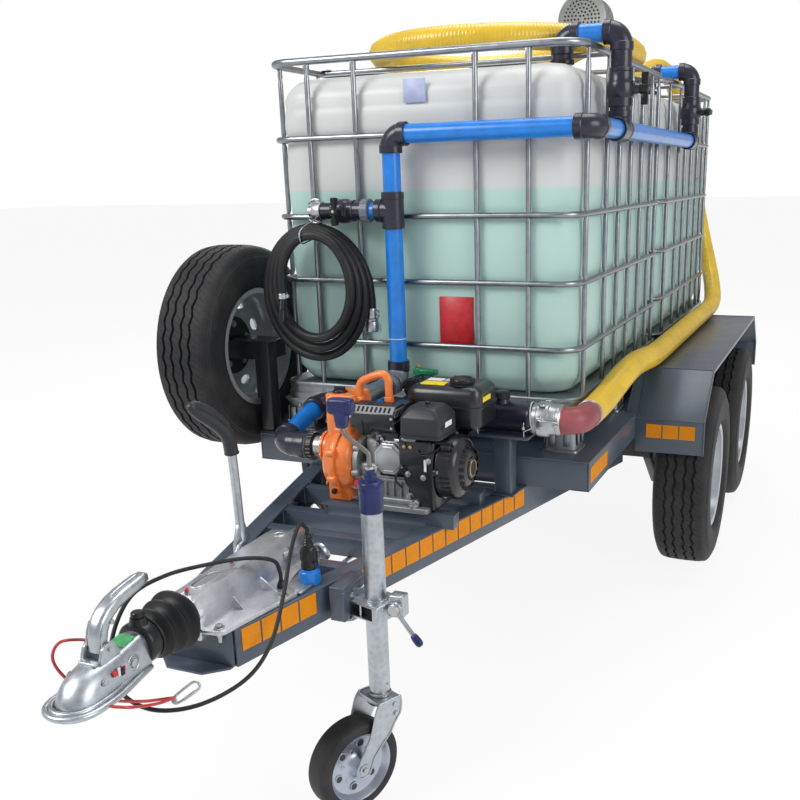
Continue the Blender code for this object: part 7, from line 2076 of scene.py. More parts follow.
class TRAILER_OT_suction_pipes(bpy.types.Operator):
    """Suction run with its union, elbows, manifold and shelf, the tank's outlet valve and the cam coupling"""
    bl_idname = "trailer.suction_pipes"
    bl_label = "Suction Pipes"

    def execute(self, context):
        blue, slate, steel, black = use("blue"), use("fitting"), use("bright"), use("plastic")
        charcoal, tie = use("charcoal"), use("clear_tie")
        run = Shape()
        y, z = -0.4, 0.078
        run.rod(at(-0.1123, y, z), at(-0.152, y, z), 0.03, steel, 40)
        run.solid([(0, 0.031), (0.0015, 0.0325), (0.009, 0.0325), (0.0105, 0.031)], at(-0.1123, y, z), -X,
            steel, 40)
        for index in range(5):
            run.torus(at(-0.126 - 0.0016 * index, y, z), X, 0.0298, 0.0007, steel, 36, 6)
        run.solid([(0, 0.033), (0.002, 0.035), (0.004, 0.0385), (0.018, 0.039), (0.021, 0.037)],
            at(-0.1403, y, z), -X, black, 48)
        ribs(run, at(-0.1505, y, z), X, 0.0385, 0.014, 20, black, 0.0021)
        run.rod(at(-0.158, y, z), at(-0.17, y, z), 0.0405, slate, 8, bevel=0.002)
        run.solid([(0, 0.0375), (0.002, 0.039), (0.02, 0.0385), (0.036, 0.0365)], at(-0.169, y, z), -X,
            slate, 48)
        corner, rise = at(-0.26, y, z), at(-0.27, RUN_Y, SUCTION_Z)
        slant = (rise - corner).normalized()
        elbow(run, corner, X, slant, slate, 0.056, 0.036, turn=0.042)
        run.rod(corner + slant * 0.05, rise - slant * 0.05, PIPE, blue, 40)
        elbow(run, rise, -slant, X, slate, 0.054, 0.035, turn=0.042)
        run.rod(at(-0.22, RUN_Y, SUCTION_Z), at(-0.03, RUN_Y, SUCTION_Z), PIPE, blue, 40)
        run.solid([(0, 0.0265), (0.001, 0.03), (0.012, 0.03), (0.013, 0.0265)],
            at(-0.214, RUN_Y, SUCTION_Z), X, blue, 40)
        nut(run, at(-0.15, RUN_Y, SUCTION_Z), X, 0.0375, 0.034, black, 22)
        mouth(run, at(-0.118, RUN_Y, SUCTION_Z), X, slate, 0.0345, 0.018)
        tee(run, at(0.02, RUN_Y, SUCTION_Z), X, Y, slate)
        run.rod(at(0.07, RUN_Y, SUCTION_Z), at(0.252, RUN_Y, SUCTION_Z), PIPE, blue, 40)
        mouth(run, at(0.226, RUN_Y, SUCTION_Z), -X, slate, 0.0345, 0.03)
        run.solid([(0, 0.0405), (0.002, 0.043), (0.014, 0.044), (0.016, 0.0425), (0.15, 0.0425),
            (0.153, 0.044), (0.165, 0.044), (0.168, 0.0425)], at(0.25, RUN_Y, SUCTION_Z), X, slate, 56)
        run.solid([(0, 0.0225), (0.01, 0.0205), (0.0165, 0.019)], at(0.322, RUN_Y, 0.176), Z, slate, 36)
        run.solid([(0, 0.0205), (0.0015, 0.022), (0.019, 0.0215), (0.0215, 0.0195), (0.0225, 0.016)],
            at(0.322, RUN_Y, 0.191), Z, black, 40)
        ribs(run, at(0.322, RUN_Y, 0.201), Z, 0.0212, 0.0165, 24, black, 0.0013)
        # Shelf, saddle and post
        run.plate([(x - 0.3245, w + 0.15) for x, w in ((0.235, -0.2), (0.414, -0.2), (0.414, -0.1),
            (0.235, -0.1))], 0.008, charcoal, move(at(0.3245, RUN_Y, 0.086)), 0.0015)
        run.box(at(0.27, -0.162, 0.0935), at(0.39, -0.138, 0.104), charcoal, 0.002)
        run.box(at(0.305, -0.175, -0.09), at(0.355, -0.125, 0.087), charcoal, 0.004, 3)
        for side in (-1, 1):
            run.plate([(side * 0.05, 0), (side * 0.028, 0), (side * 0.028, -0.03)], 0.004, charcoal,
                frame_of(at(0.33, -0.152, 0.0865), X, Z))
        run.box(at(0.296, -0.184, -0.0895), at(0.364, -0.116, -0.085), charcoal, 0.001)
        for x, lean in ((0.262, -0.001), (0.399, 0.0012)):
            loop = [Vector((x + lean * k, RUN_Y + 0.0458 * cos(a), SUCTION_Z + 0.0458 * sin(a))) for k,
                a in enumerate(radians(d) for d in range(-24, 205, 12))]
            loop += [Vector((x, -0.1935, 0.11)), Vector((x, -0.1905, 0.0845)), Vector((x, -0.1095, 0.0845)),
                Vector((x, -0.1065, 0.11))]
            run.tube([at(*point) for point in loop], 0.0017, tie, 3, closed=True)
            run.box(at(x - 0.0035, -0.1975, 0.116), at(x + 0.0035, -0.192, 0.1235), tie, 0.0006)
            run.tube([at(x, -0.196, 0.12), at(x + 0.002, -0.203, 0.128), at(x + 0.006, -0.209, 0.139)],
                0.0012, tie, 3)
        # Outlet of the front tank
        run.tube([at(0.02, RUN_Y, SUCTION_Z), at(0.02, -0.105, 0.16), at(0.02, -0.07, 0.19)], 0.0212, slate,
            8)
        run.rod(at(0.02, -0.088, 0.19), at(0.02, 0.0207, 0.19), 0.0215, slate, 36)
        run.box(at(-0.007, -0.088, 0.164), at(0.047, -0.018, 0.216), slate, 0.006, 3)
        for y, length in ((-0.0955, 0.016), (-0.0085, 0.018)):
            nut(run, at(0.02, y, 0.19), Y, 0.03, length, black, 18)
        run.turned([(0, 0), (0, 0.015), (0.004, 0.014), (0.006, 0.01), (0.0055, 0)],
            at(0.02, -0.052, 0.2155), Z, slate, 28)
        run.done("suction_pipes", "trailer", "grey_fitting", "suction_pipework", 35)

        grip, green = Shape(), use("green")
        base = at(0.02, -0.052, 0.2223)
        grip.solid([(0, 0.0115), (0.0015, 0.013), (0.019, 0.013), (0.022, 0.011)], base, Z, green, 32)
        outline = [(-0.016, -0.009), (-0.0135, -0.011), (0.01, -0.012), (0.048, -0.011), (0.058, -0.0098),
            (0.062, -0.006), (0.062, 0.006), (0.058, 0.0098), (0.048, 0.011), (0.01, 0.012),
            (-0.0135, 0.011), (-0.016, 0.009)]
        grip.plate(outline, 0.015, green, move(base + Z * 0.0035), 0.0028, 3)
        grip.plate([(x * 0.86 + 0.004, y * 0.55) for x, y in outline], 0.0016, green,
            move(base + Z * 0.0183), 0.0006)
        for index in range(6):
            grip.box(base + Vector((0.03 + index * 0.005, -0.0122, 0.006)),
                base + Vector((0.0322 + index * 0.005, 0.0122, 0.0165)), green, 0.0006, 1)
        grip.rod(base + Z * 0.02, base + Z * 0.029, 0.0072, use("brass"), 6, bevel=0.0006)
        grip.rod(base + Z * 0.028, base + Z * 0.032, 0.0036, use("brass"), 16, bevel=0.0006)
        grip.done("outlet_grip", "outlet_valve", "green_handle", "tank_valve_handle")

        cam = Shape()
        centre = at(0, RUN_Y, SUCTION_Z)
        cam.solid([(0.4183, 0.0425), (0.4195, 0.044), (0.43, 0.044), (0.4315, 0.048), (0.434, 0.05),
            (0.46, 0.05), (0.464, 0.0485), (0.466, 0.0445), (0.469, 0.043), (0.486, 0.0425),
            (0.488, 0.0445), (0.495, 0.0445), (0.497, 0.042), (0.5, 0.04)], centre, X, steel, 56)
        bend = [at(0.492, RUN_Y, SUCTION_Z), at(0.512, -0.149, 0.14), at(0.53, -0.142, 0.14),
            at(0.542, -0.126, 0.14), at(0.5475, -0.104, 0.14), at(0.548, -0.078, 0.14),
            at(0.548, -0.0455, 0.14)]
        cam.tube(smooth_route(bend, 3), 0.0385, use("cuff"), 10)
        cam.solid([(0.4995, 0.04), (0.501, 0.0405), (0.505, 0.0405), (0.506, 0.0395)], centre, X,
            use("cuff"), 56)
        for y in (-0.06, -0.05):
            cam.torus(at(0.548, y, 0.14), Y, 0.0375, 0.0022, steel, 40, 8)
        for side in (1, -1):
            ear = at(0.448, RUN_Y + side * 0.05, SUCTION_Z)
            cam.box(ear + Vector((-0.011, -0.006, -0.017)), ear + Vector((0.011, 0.006, 0.017)), steel,
                0.004, 3)
            cam.rod(ear + Vector((0, 0, -0.019)), ear + Vector((0, 0, 0.019)), 0.0032, steel, 16,
                bevel=0.0006)
            lever = [ear + Vector((-0.01, side * 0.002, 0)), ear + Vector((0.004, side * 0.0065, 0)),
                ear + Vector((0.022, side * 0.006, 0)), ear + Vector((0.04, side * 0.004, 0)),
                ear + Vector((0.05, side * 0.005, 0))]
            sections = []
            for index, point in enumerate(smooth_route(lever, 3)):
                half = 0.0118 - 0.0004 * index
                sections.append([point + Vector((0, dy, dz)) for dy, dz in round_outline(0.0068, 2 * half,
                    0.0028, 3)])
            cam.loft(sections, steel)
            cam.torus(ear + Vector((0.047, side * 0.012, 0)), Z, 0.0085, 0.0012, steel, 20, 6)
        for lug in (-0.03, 0.03):
            cam.rod(at(0.448, RUN_Y + lug, 0.183), at(0.448, RUN_Y + lug, 0.19), 0.01, steel, 20, bevel=0.002)
        cam.done("cam_coupling", "trailer", "galvanised_steel", "suction_camlock", 35)
        return {"FINISHED"}


# Coupling, overrun housing and handbrake

DRAW_Z = -0.055
BRAKE_X, BRAKE_Z = 0.062, -0.1516


def arch(y, half, low, top, power):
    """An arched section across the trailer: flat below, rounded above."""
    angles = [pi * step / 18 for step in range(19)]
    return [at(half * (1 if cos(a) >= 0 else -1) * abs(cos(a)) ** power, y,
        low + (top - low) * sin(a) ** power) for a in angles]


def leaning(line):
    """Sections (y, z, width, depth) of a bent lever, each with the way its depth runs."""
    out = []
    for before, here, after in zip(line[:1] + line, line, line[1:] + line[-1:]):
        along = Vector((0, after[0] - before[0], after[1] - before[1])).normalized()
        out.append((*here, X.cross(along)))
    return out


class TRAILER_OT_coupling(bpy.types.Operator):
    """Pressed ball coupling with its handle and indicator, the draw tube's collar, and the bellows"""
    bl_idname = "trailer.coupling"
    bl_label = "Coupling"

    def execute(self, context):
        steel, bright, black = use("zinc"), use("bright"), use("plastic")
        head = Shape()
        sections = [arch(y, half, -0.099, top, power) for y, half, top, power in ((-1.5445, 0.01, -0.09, 1),
            (-1.5405, 0.0205, -0.079, 1), (-1.533, 0.03, -0.066, 0.95), (-1.521, 0.037, -0.053, 0.9),
            (-1.507, 0.0408, -0.043, 0.84), (-1.493, 0.0422, -0.0375, 0.78), (-1.478, 0.042, -0.0345, 0.7),
            (-1.462, 0.041, -0.033, 0.6), (-1.44, 0.0395, -0.0325, 0.52), (-1.415, 0.0375, -0.032, 0.5),
            (-1.39, 0.0355, -0.029, 0.52), (-1.365, 0.0345, -0.026, 0.56), (-1.346, 0.034, -0.025, 0.6))]
        cutters = bmesh.new()
        put_bar(cutters, at(0, -1.495, -0.115), at(0, -1.495, -0.083), 0.0257)
        bmesh.ops.create_uvsphere(cutters, u_segments=40, v_segments=20, radius=0.0257,
            matrix=move(at(0, -1.495, -0.083)))
        head.carved(skin(sections), cutters, steel)
        half = [(0, -1.562), (0.018, -1.559), (0.033, -1.5515), (0.045, -1.538), (0.0515, -1.522),
            (0.054, -1.505), (0.0542, -1.47), (0.05, -1.435), (0.042, -1.395), (0.0355, -1.36),
            (0.033, -1.35)]
        outline = half + [(-x, y) for x, y in half[:0:-1]]
        cutters = bmesh.new()
        put_bar(cutters, at(0, -1.495, -0.12), at(0, -1.495, -0.08), 0.0258)
        head.carved(slab([at(x, y, -0.101) for x, y in outline], 0.0105), cutters, steel)
        nose = half[::-1] + [(-x, y) for x, y in half[1:]]
        rim = [at(x * 0.985, y if abs(x) > 0.034 else y + 0.0008, -0.0935) for x, y in nose]
        head.tube(smooth_route(rim, 3), 0.0062, steel, 6)
        fold = [at(x * 0.8, -1.495 + (y + 1.495) * 0.86, -0.089) for x, y in nose]
        head.tube(smooth_route(fold, 3), 0.005, steel, 5)
        head.rod(at(0, -1.35, DRAW_Z), at(0, -0.7225, DRAW_Z), 0.028, bright, 40, bevel=0.002)
        for side in (1, -1):
            x = side * 0.021
            head.plate([(-1.466, -0.056), (-1.412, -0.056), (-1.415, -0.025), (-1.423, -0.008),
                (-1.433, -0.003), (-1.446, -0.003), (-1.456, -0.009), (-1.463, -0.025)], 0.007, steel,
                frame_of(at(x - 0.0035, 0, 0), Y, Z), 0.0012)
            head.bolt(at(side * 0.0245, -1.44, -0.014), X * side, 0.0052, bright, tall=0.5)
            head.bolt(at(side * 0.0405, -1.477, -0.059), X * side, 0.0062, bright)
            head.bolt(at(side * 0.0345, -1.396, -0.062), X * side, 0.0105, bright, tall=0.5)
            head.torus(at(side * 0.035, -1.396, -0.062), X, 0.015, 0.0016, steel, 28, 6)
        head.rod(at(-0.0285, -1.44, -0.014), at(0.0285, -1.44, -0.014), 0.004, bright, 20)
        head.box(at(-0.02, -1.476, -0.036), at(0.02, -1.456, -0.029), steel, 0.003, 3)
        notice, pale = use("notice"), use("pale")
        head.box(at(0.0385, -1.456, -0.061), at(0.042, -1.424, -0.051), notice, 0.0012)
        head.box(at(0.0405, -1.445, -0.064), at(0.0435, -1.439, -0.047), pale, 0.001)
        head.box(at(0.041, -1.438, -0.066), at(0.045, -1.429, -0.05), black, 0.0015)
        band = []
        for y in (-1.402, -1.366):
            band.append([at(x, y, (-0.0247 if y > -1.38 else -0.029) - 0.0012 * (abs(x) / 0.02) ** 2)
                for x in (-0.019, -0.0095, 0, 0.0095, 0.019)])
        label = bmesh.new()
        rows = [[label.verts.new(point) for point in row] for row in band]
        for index in range(4):
            label.faces.new((rows[0][index], rows[0][index + 1], rows[1][index + 1], rows[1][index]))
        bmesh.ops.solidify(label, geom=label.faces[:], thickness=0.0012)
        bmesh.ops.recalc_face_normals(label, faces=label.faces)
        head.take(label, use("green_label"))
        head.turned([(0, 0), (0, 0.0385), (0.002, 0.042), (0.006, 0.044), (0.027, 0.044), (0.031, 0.0425),
            (0.0317, 0)], at(0, -1.35, DRAW_Z), Y, black, 56)
        head.turned([(0, 0), (0, 0.0185), (0.006, 0.017), (0.014, 0.015), (0.0145, 0)],
            at(0.002, -1.335, -0.015), Z, black, 32)
        head.solid([(0, 0.012), (0.001, 0.0128), (0.009, 0.0125), (0.011, 0.0108)],
            at(0.002, -1.335, -0.001), Z, black, 32)
        ribs(head, at(0.002, -1.335, 0.0042), Z, 0.0123, 0.008, 20, black, 0.0009)
        head.done("coupling_body", "coupling", "galvanised_steel", "coupling_head", 35)

        grip = Shape()
        line = [(-1.442, -0.02, 0.031, 0.026), (-1.441, 0, 0.0325, 0.028), (-1.437, 0.017, 0.033, 0.03),
            (-1.428, 0.033, 0.0335, 0.029), (-1.414, 0.045, 0.034, 0.027), (-1.396, 0.054, 0.0345, 0.026),
            (-1.373, 0.06, 0.035, 0.026), (-1.348, 0.064, 0.0345, 0.0255), (-1.324, 0.068, 0.033, 0.024),
            (-1.306, 0.071, 0.026, 0.018), (-1.299, 0.072, 0.012, 0.008)]
        sections = []
        for y, z, wide, deep, up in leaning(line):
            outline = round_outline(wide, deep, min(deep, wide) * 0.36, 4)
            sections.append([at(0, y, z) + X * across + up * high for across, high in outline])
        cutters = bmesh.new()
        put_box(cutters, at(-0.013, -1.43, -0.04), at(0.013, -1.4, 0.024))
        grip.carved(skin(sections), cutters, steel)
        for side in (1, -1):
            grip.rod(at(side * 0.0163, -1.418, 0.029), at(side * 0.0192, -1.418, 0.029), 0.005, bright, 20,
                bevel=0.001)
            grip.tube([at(side * 0.0172, y, z) for y, z in ((-1.4505, -0.01), (-1.45, 0.006),
                (-1.4455, 0.02), (-1.437, 0.0345))], 0.0016, steel, 4)
        grip.tube([at(0, y, z) for y, z in ((-1.396, 0.0668), (-1.373, 0.0728), (-1.348, 0.0765),
            (-1.326, 0.0795))], 0.004, steel, 5)
        grip.done("coupling_grip", "coupling_lever", "galvanised_steel", "coupling_handle", 40)

        folds = Shape()
        start = at(0, -1.318, DRAW_Z)
        profile = [(0, 0.0302), (0, 0.044), (0.003, 0.0452), (0.0055, 0.043)]
        for index in range(3):
            crest = 0.053 + 0.0055 * index
            low = crest - 0.022
            begin = 0.006 + 0.0322 * index
            for t, share in ((0, 0.03), (0.16, 0.14), (0.32, 0.48), (0.43, 0.86), (0.47, 0.98), (0.5, 1),
                    (0.54, 0.98), (0.58, 0.84), (0.68, 0.4), (0.82, 0.1), (0.95, 0.02)):
                profile.append((begin + 0.0322 * t, low + (crest - low) * share))
        profile += [(0.103, 0.048), (0.1058, 0.048), (0.1058, 0.0302)]
        folds.turned(profile, start, Y, use("rubber"), 72, closed=True)
        made = folds.done("rubber_bellows", None, "black_rubber", "bellows", 50)
        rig.blend(made, "coupling", "trailer", start=start, end=at(0, -1.212, DRAW_Z))
        return {"FINISHED"}


class TRAILER_OT_housing(bpy.types.Operator):
    """Cast overrun housing with its bolts and nipples, the plug's socket, the handbrake lever and its rod"""
    bl_idname = "trailer.housing"
    bl_label = "Overrun Housing"

    def execute(self, context):
        cast_skin, steel, bright, black = use("housing"), use("zinc"), use("bright"), use("plastic")
        body = Shape()
        half = [(0.055, -1.208), (0.084, -1.2045), (0.095, -1.196), (0.103, -1.15), (0.136, -0.985),
            (0.128, -0.972), (0.09, -0.95), (0.071, -0.88), (0.058, -0.8)]
        outline = half + [(-x, y) for x, y in half[::-1]]
        body.plate([(x, y + TANK_FRONT) for x, y in outline], 0.008, cast_skin,
            move((0, 0, at(0, 0, -0.09).z)), 0.0018)
        lip = [at(x * 0.972, y + (0.002 if y < -1.19 else 0), -0.0822) for x, y in half[1:6]]
        for side in (1, -1):
            body.tube(smooth_route([Vector((side * p.x, p.y, p.z)) for p in lip], 3), 0.0026, cast_skin, 4)
        sections = []
        for y, top, flat, wide in ((-1.208, -0.024, 0.025, 0.043), (-1.204, -0.019, 0.0275, 0.0455),
                (-1.19, -0.0165, 0.029, 0.047), (-1.1, -0.014, 0.029, 0.047),
                (-0.97, -0.011, 0.0285, 0.046), (-0.85, -0.0082, 0.028, 0.045),
                (-0.822, -0.009, 0.027, 0.044), (-0.806, -0.015, 0.024, 0.042), (-0.8, -0.03, 0.02, 0.038)):
            ring = [(wide + 0.009, -0.085), (wide + 0.002, -0.079), (wide, -0.07),
                (wide - 0.0015, top - 0.022), (flat + 0.003, top - 0.003), (flat, top),
                (flat * 0.5, top + 0.0004)]
            ring = ring + [(0, top + 0.0005)] + [(-x, z) for x, z in ring[::-1]]
            sections.append([at(x, y, z) for x, z in ring])
        body.loft(sections, cast_skin)
        body.turned([(0, 0.0302), (0, 0.044), (0.002, 0.046), (0.016, 0.046), (0.018, 0.044),
            (0.018, 0.0302)], at(0, -1.211, DRAW_Z), Y, cast_skin, 8, closed=True)
        body.torus(at(0, -1.211, DRAW_Z), Y, 0.0455, 0.0022, black, 48, 8)
        body.box(at(-0.04, -1.204, -0.111), at(0.04, -0.802, -0.088), cast_skin, 0.004, 3)
        for side in (1, -1):
            for y, reach in ((-1.09, 0.03), (-0.985, 0.046)):
                body.plate([(0, 0), (reach, 0), (0, 0.03)], 0.005, cast_skin,
                    frame_of(at(side * 0.044, y, -0.083), X * side, Z), 0.0014)
            for x, y in ((0.074, -1.186), (0.112, -1.004)):
                body.rod(at(side * x, y, -0.0825), at(side * x, y, -0.0795), 0.0115, bright, 24, bevel=0.0008)
                body.bolt(at(side * x, y, -0.0797), Z, 0.0082, bright, washer=False, tall=0.75)
                body.rod(at(side * x, y, -0.0895), at(side * x, y, -0.101), 0.0085, bright, 6, bevel=0.0008)
                body.rod(at(side * x, y, -0.1), at(side * x, y, -0.114), 0.0046, bright, 16, bevel=0.0008)
        oval = []
        for a in around(40):
            oval.append(at(-0.002 + 0.015 * (1 if cos(a) > 0 else -1) * abs(cos(a)) ** 0.7,
                -1.118 + 0.043 * (1 if sin(a) > 0 else -1) * abs(sin(a)) ** 0.6, -0.0138))
        body.tube(oval, 0.0013, cast_skin, 4, closed=True)
        middle = at(0, -1.118, 0).y
        body.tube([Vector((p.x * 0.86, middle + (p.y - middle) * 0.93, p.z - 0.0004)) for p in oval],
            0.0007, use("iron"), 3, closed=True)
        red = use("red")
        for y in (-1.194, -1.038):
            body.rod(at(0.008, y, -0.018), at(0.008, y, -0.0085 + (y + 1.194) * 0.02), 0.0058, bright, 6,
                bevel=0.0006)
            body.turned([(0, 0), (0, 0.0034), (0.0025, 0.0044), (0.007, 0.0042), (0.0092, 0.0026),
                (0.0096, 0)], at(0.008, y, -0.009 + (y + 1.194) * 0.02), Z, red, 20)
        body.bolt(at(0.01, -0.848, -0.0085), Z, 0.008, bright, tall=0.35)
        body.torus(at(0.01, -0.848, -0.0078), Z, 0.0125, 0.0014, cast_skin, 28, 6)
        body.box(at(0.044, -0.89, -0.06), at(0.0475, -0.83, -0.035), cast_skin, 0.002)
        for y, z in ((-0.88, -0.048), (-0.842, -0.048), (-0.861, -0.03)):
            body.bolt(at(0.045, y, z), X, 0.0045, bright, tall=0.45)
        for y in (-0.93, -0.888, -0.846):
            body.rod(at(-0.05, y, -0.048), at(-0.0415, y, -0.048), 0.0125 if y == -0.888 else 0.005, steel,
                24, bevel=0.001)
        body.rod(at(-0.044, -0.887, -0.048), at(-0.0835, -0.887, -0.048), 0.0076, bright, 24, bevel=0.001)
        body.bolt(at(-0.077, -0.887, -0.048), -X, 0.0085, bright, tall=0.5)
        body.plate([(-0.925, -0.083), (-0.835, -0.083), (-0.838, -0.06), (-0.862, -0.03), (-0.905, -0.026),
            (-0.924, -0.05)], 0.0035, steel, frame_of(at(-0.06, 0, 0), Y, Z), 0.0008)
        body.tube([at(-0.0575, y, z) for y, z in ((-0.932, -0.06), (-0.93, -0.034), (-0.918, -0.02),
            (-0.905, -0.0165))], 0.0045, bright, 6)
        # Plug bracket, socket with its blue ring, and the cover behind
        body.box(at(0.08, -0.975, -0.0898), at(0.14, -0.885, -0.083), steel, 0.002)
        body.solid([(0, 0.0235), (0.0015, 0.0245), (0.03, 0.0245), (0.032, 0.023), (0.032, 0.0195),
            (0.0355, 0.0185)], at(0.122, -0.905, -0.09), Z, use("blue"), 40)
        cover = at(0.136, -0.874, -0.025)
        lean = Vector((0.32, 0.86, 0.4)).normalized()
        body.turned([(-0.004, 0), (-0.004, 0.02), (-0.002, 0.0228), (0.003, 0.024), (0.008, 0.0225),
            (0.0115, 0.0175), (0.0128, 0.008), (0.013, 0)], cover, lean, bright, 40)
        body.box(at(0.12, -0.884, -0.06), at(0.134, -0.876, -0.02), steel, 0.0015)
        body.rod(at(0.118, -0.879, -0.0215), at(0.144, -0.879, -0.0215), 0.003, bright, 16, bevel=0.0006)
        body.solid([(0, 0.0095), (0.002, 0.0102), (0.01, 0.0098), (0.015, 0.0075), (0.0197, 0.0062)],
            at(0.084, -0.966, -0.0858), Z, black, 24)
        body.done("overrun_body", "trailer", "galvanised_steel", "overrun_housing", 32)

        lever = Shape()
        y, z = -0.887, -0.048
        lever.plate([(y - 0.024, z - 0.02), (y - 0.01, z - 0.026), (y + 0.01, z - 0.026),
            (y + 0.024, z - 0.02), (y + 0.03, z + 0.004), (y + 0.028, z + 0.03), (y + 0.012, z + 0.072),
            (y - 0.012, z + 0.072), (y - 0.028, z + 0.03), (y - 0.03, z + 0.004)], 0.01, steel,
            frame_of(at(-0.075, 0, 0), Y, Z), 0.0014)
        lever.rod(at(-0.078, y, z), at(-0.062, y, z), 0.017, steel, 32, bevel=0.0015)
        route = [at(-0.07, py, pz) for py, pz in ((y, z + 0.03), (y - 0.001, z + 0.08), (y - 0.004, 0.12),
            (y - 0.01, 0.215), (y - 0.018, 0.24))]
        lever.tube(smooth_route(route, 4), 0.0105, steel, 8,
            radii=[1 + 0.12 * max(0, 1 - k / 5) for k in range(17)])
        grip = [(y - 0.0085, 0.198, 0.015, 0.015), (y - 0.009, 0.2, 0.0162, 0.0162),
            (y - 0.0125, 0.222, 0.0158, 0.016), (y - 0.02, 0.243, 0.0152, 0.0168),
            (y - 0.033, 0.262, 0.015, 0.019), (y - 0.05, 0.279, 0.015, 0.0205),
            (y - 0.072, 0.296, 0.015, 0.0215), (y - 0.095, 0.311, 0.0148, 0.021),
            (y - 0.115, 0.323, 0.014, 0.019), (y - 0.132, 0.333, 0.012, 0.015),
            (y - 0.141, 0.338, 0.008, 0.0095), (y - 0.144, 0.34, 0.003, 0.0035)]
        sections = []
        for py, pz, wide, deep, up in leaning(grip):
            sections.append([at(-0.07, py, pz) + X * wide * cos(a) + up * deep * sin(a) for a in around(28)])
        lever.loft(sections, use("satin"))
        for offset in (-0.0155, 0.0155):
            seam = [at(-0.07 + offset * (1 if 1 < i < 10 else 0.8), py, pz) for i,
                (py, pz, *_) in enumerate(grip[3:10])]
            lever.tube(smooth_route(seam, 3), 0.0011, use("plastic"), 3)
        lever.rod(at(-0.07, y - 0.008, 0.1965), at(-0.07, y - 0.0085, 0.201), 0.0172, use("plastic"), 32,
            bevel=0.001)
        lever.done("handbrake_bar", "handbrake", "galvanised_steel", "handbrake_lever", 35)

        rod = Shape()
        rod.rod(at(BRAKE_X, -0.862, BRAKE_Z), at(BRAKE_X, 0.2995, BRAKE_Z), 0.0059, bright, 20, bevel=0.001)
        for x0, x1 in ((0.0463, 0.0535), (0.065, 0.072)):
            rod.box(at(x0, -0.89, -0.1596), at(x1, -0.85, -0.1), steel, 0.0016)
        rod.box(at(0.0465, -0.862, -0.159), at(0.0718, -0.85, -0.143), steel, 0.0016)
        rod.rod(at(0.0445, -0.875, -0.112), at(0.0738, -0.875, -0.112), 0.0048, bright, 20, bevel=0.0008)
        rod.rod(at(BRAKE_X, -0.848, BRAKE_Z), at(BRAKE_X, -0.84, BRAKE_Z), 0.01, bright, 6, bevel=0.0008)
        for index in range(18):
            rod.torus(at(BRAKE_X, -0.836 + index * 0.0022, BRAKE_Z), Y, 0.0056, 0.0005, bright, 16, 5)
        rod.done("brake_bar", "brake_linkage", "galvanised_steel", "brake_rod")
        return {"FINISHED"}


# Jockey wheel

JOCKEY = (0.27, -0.87)


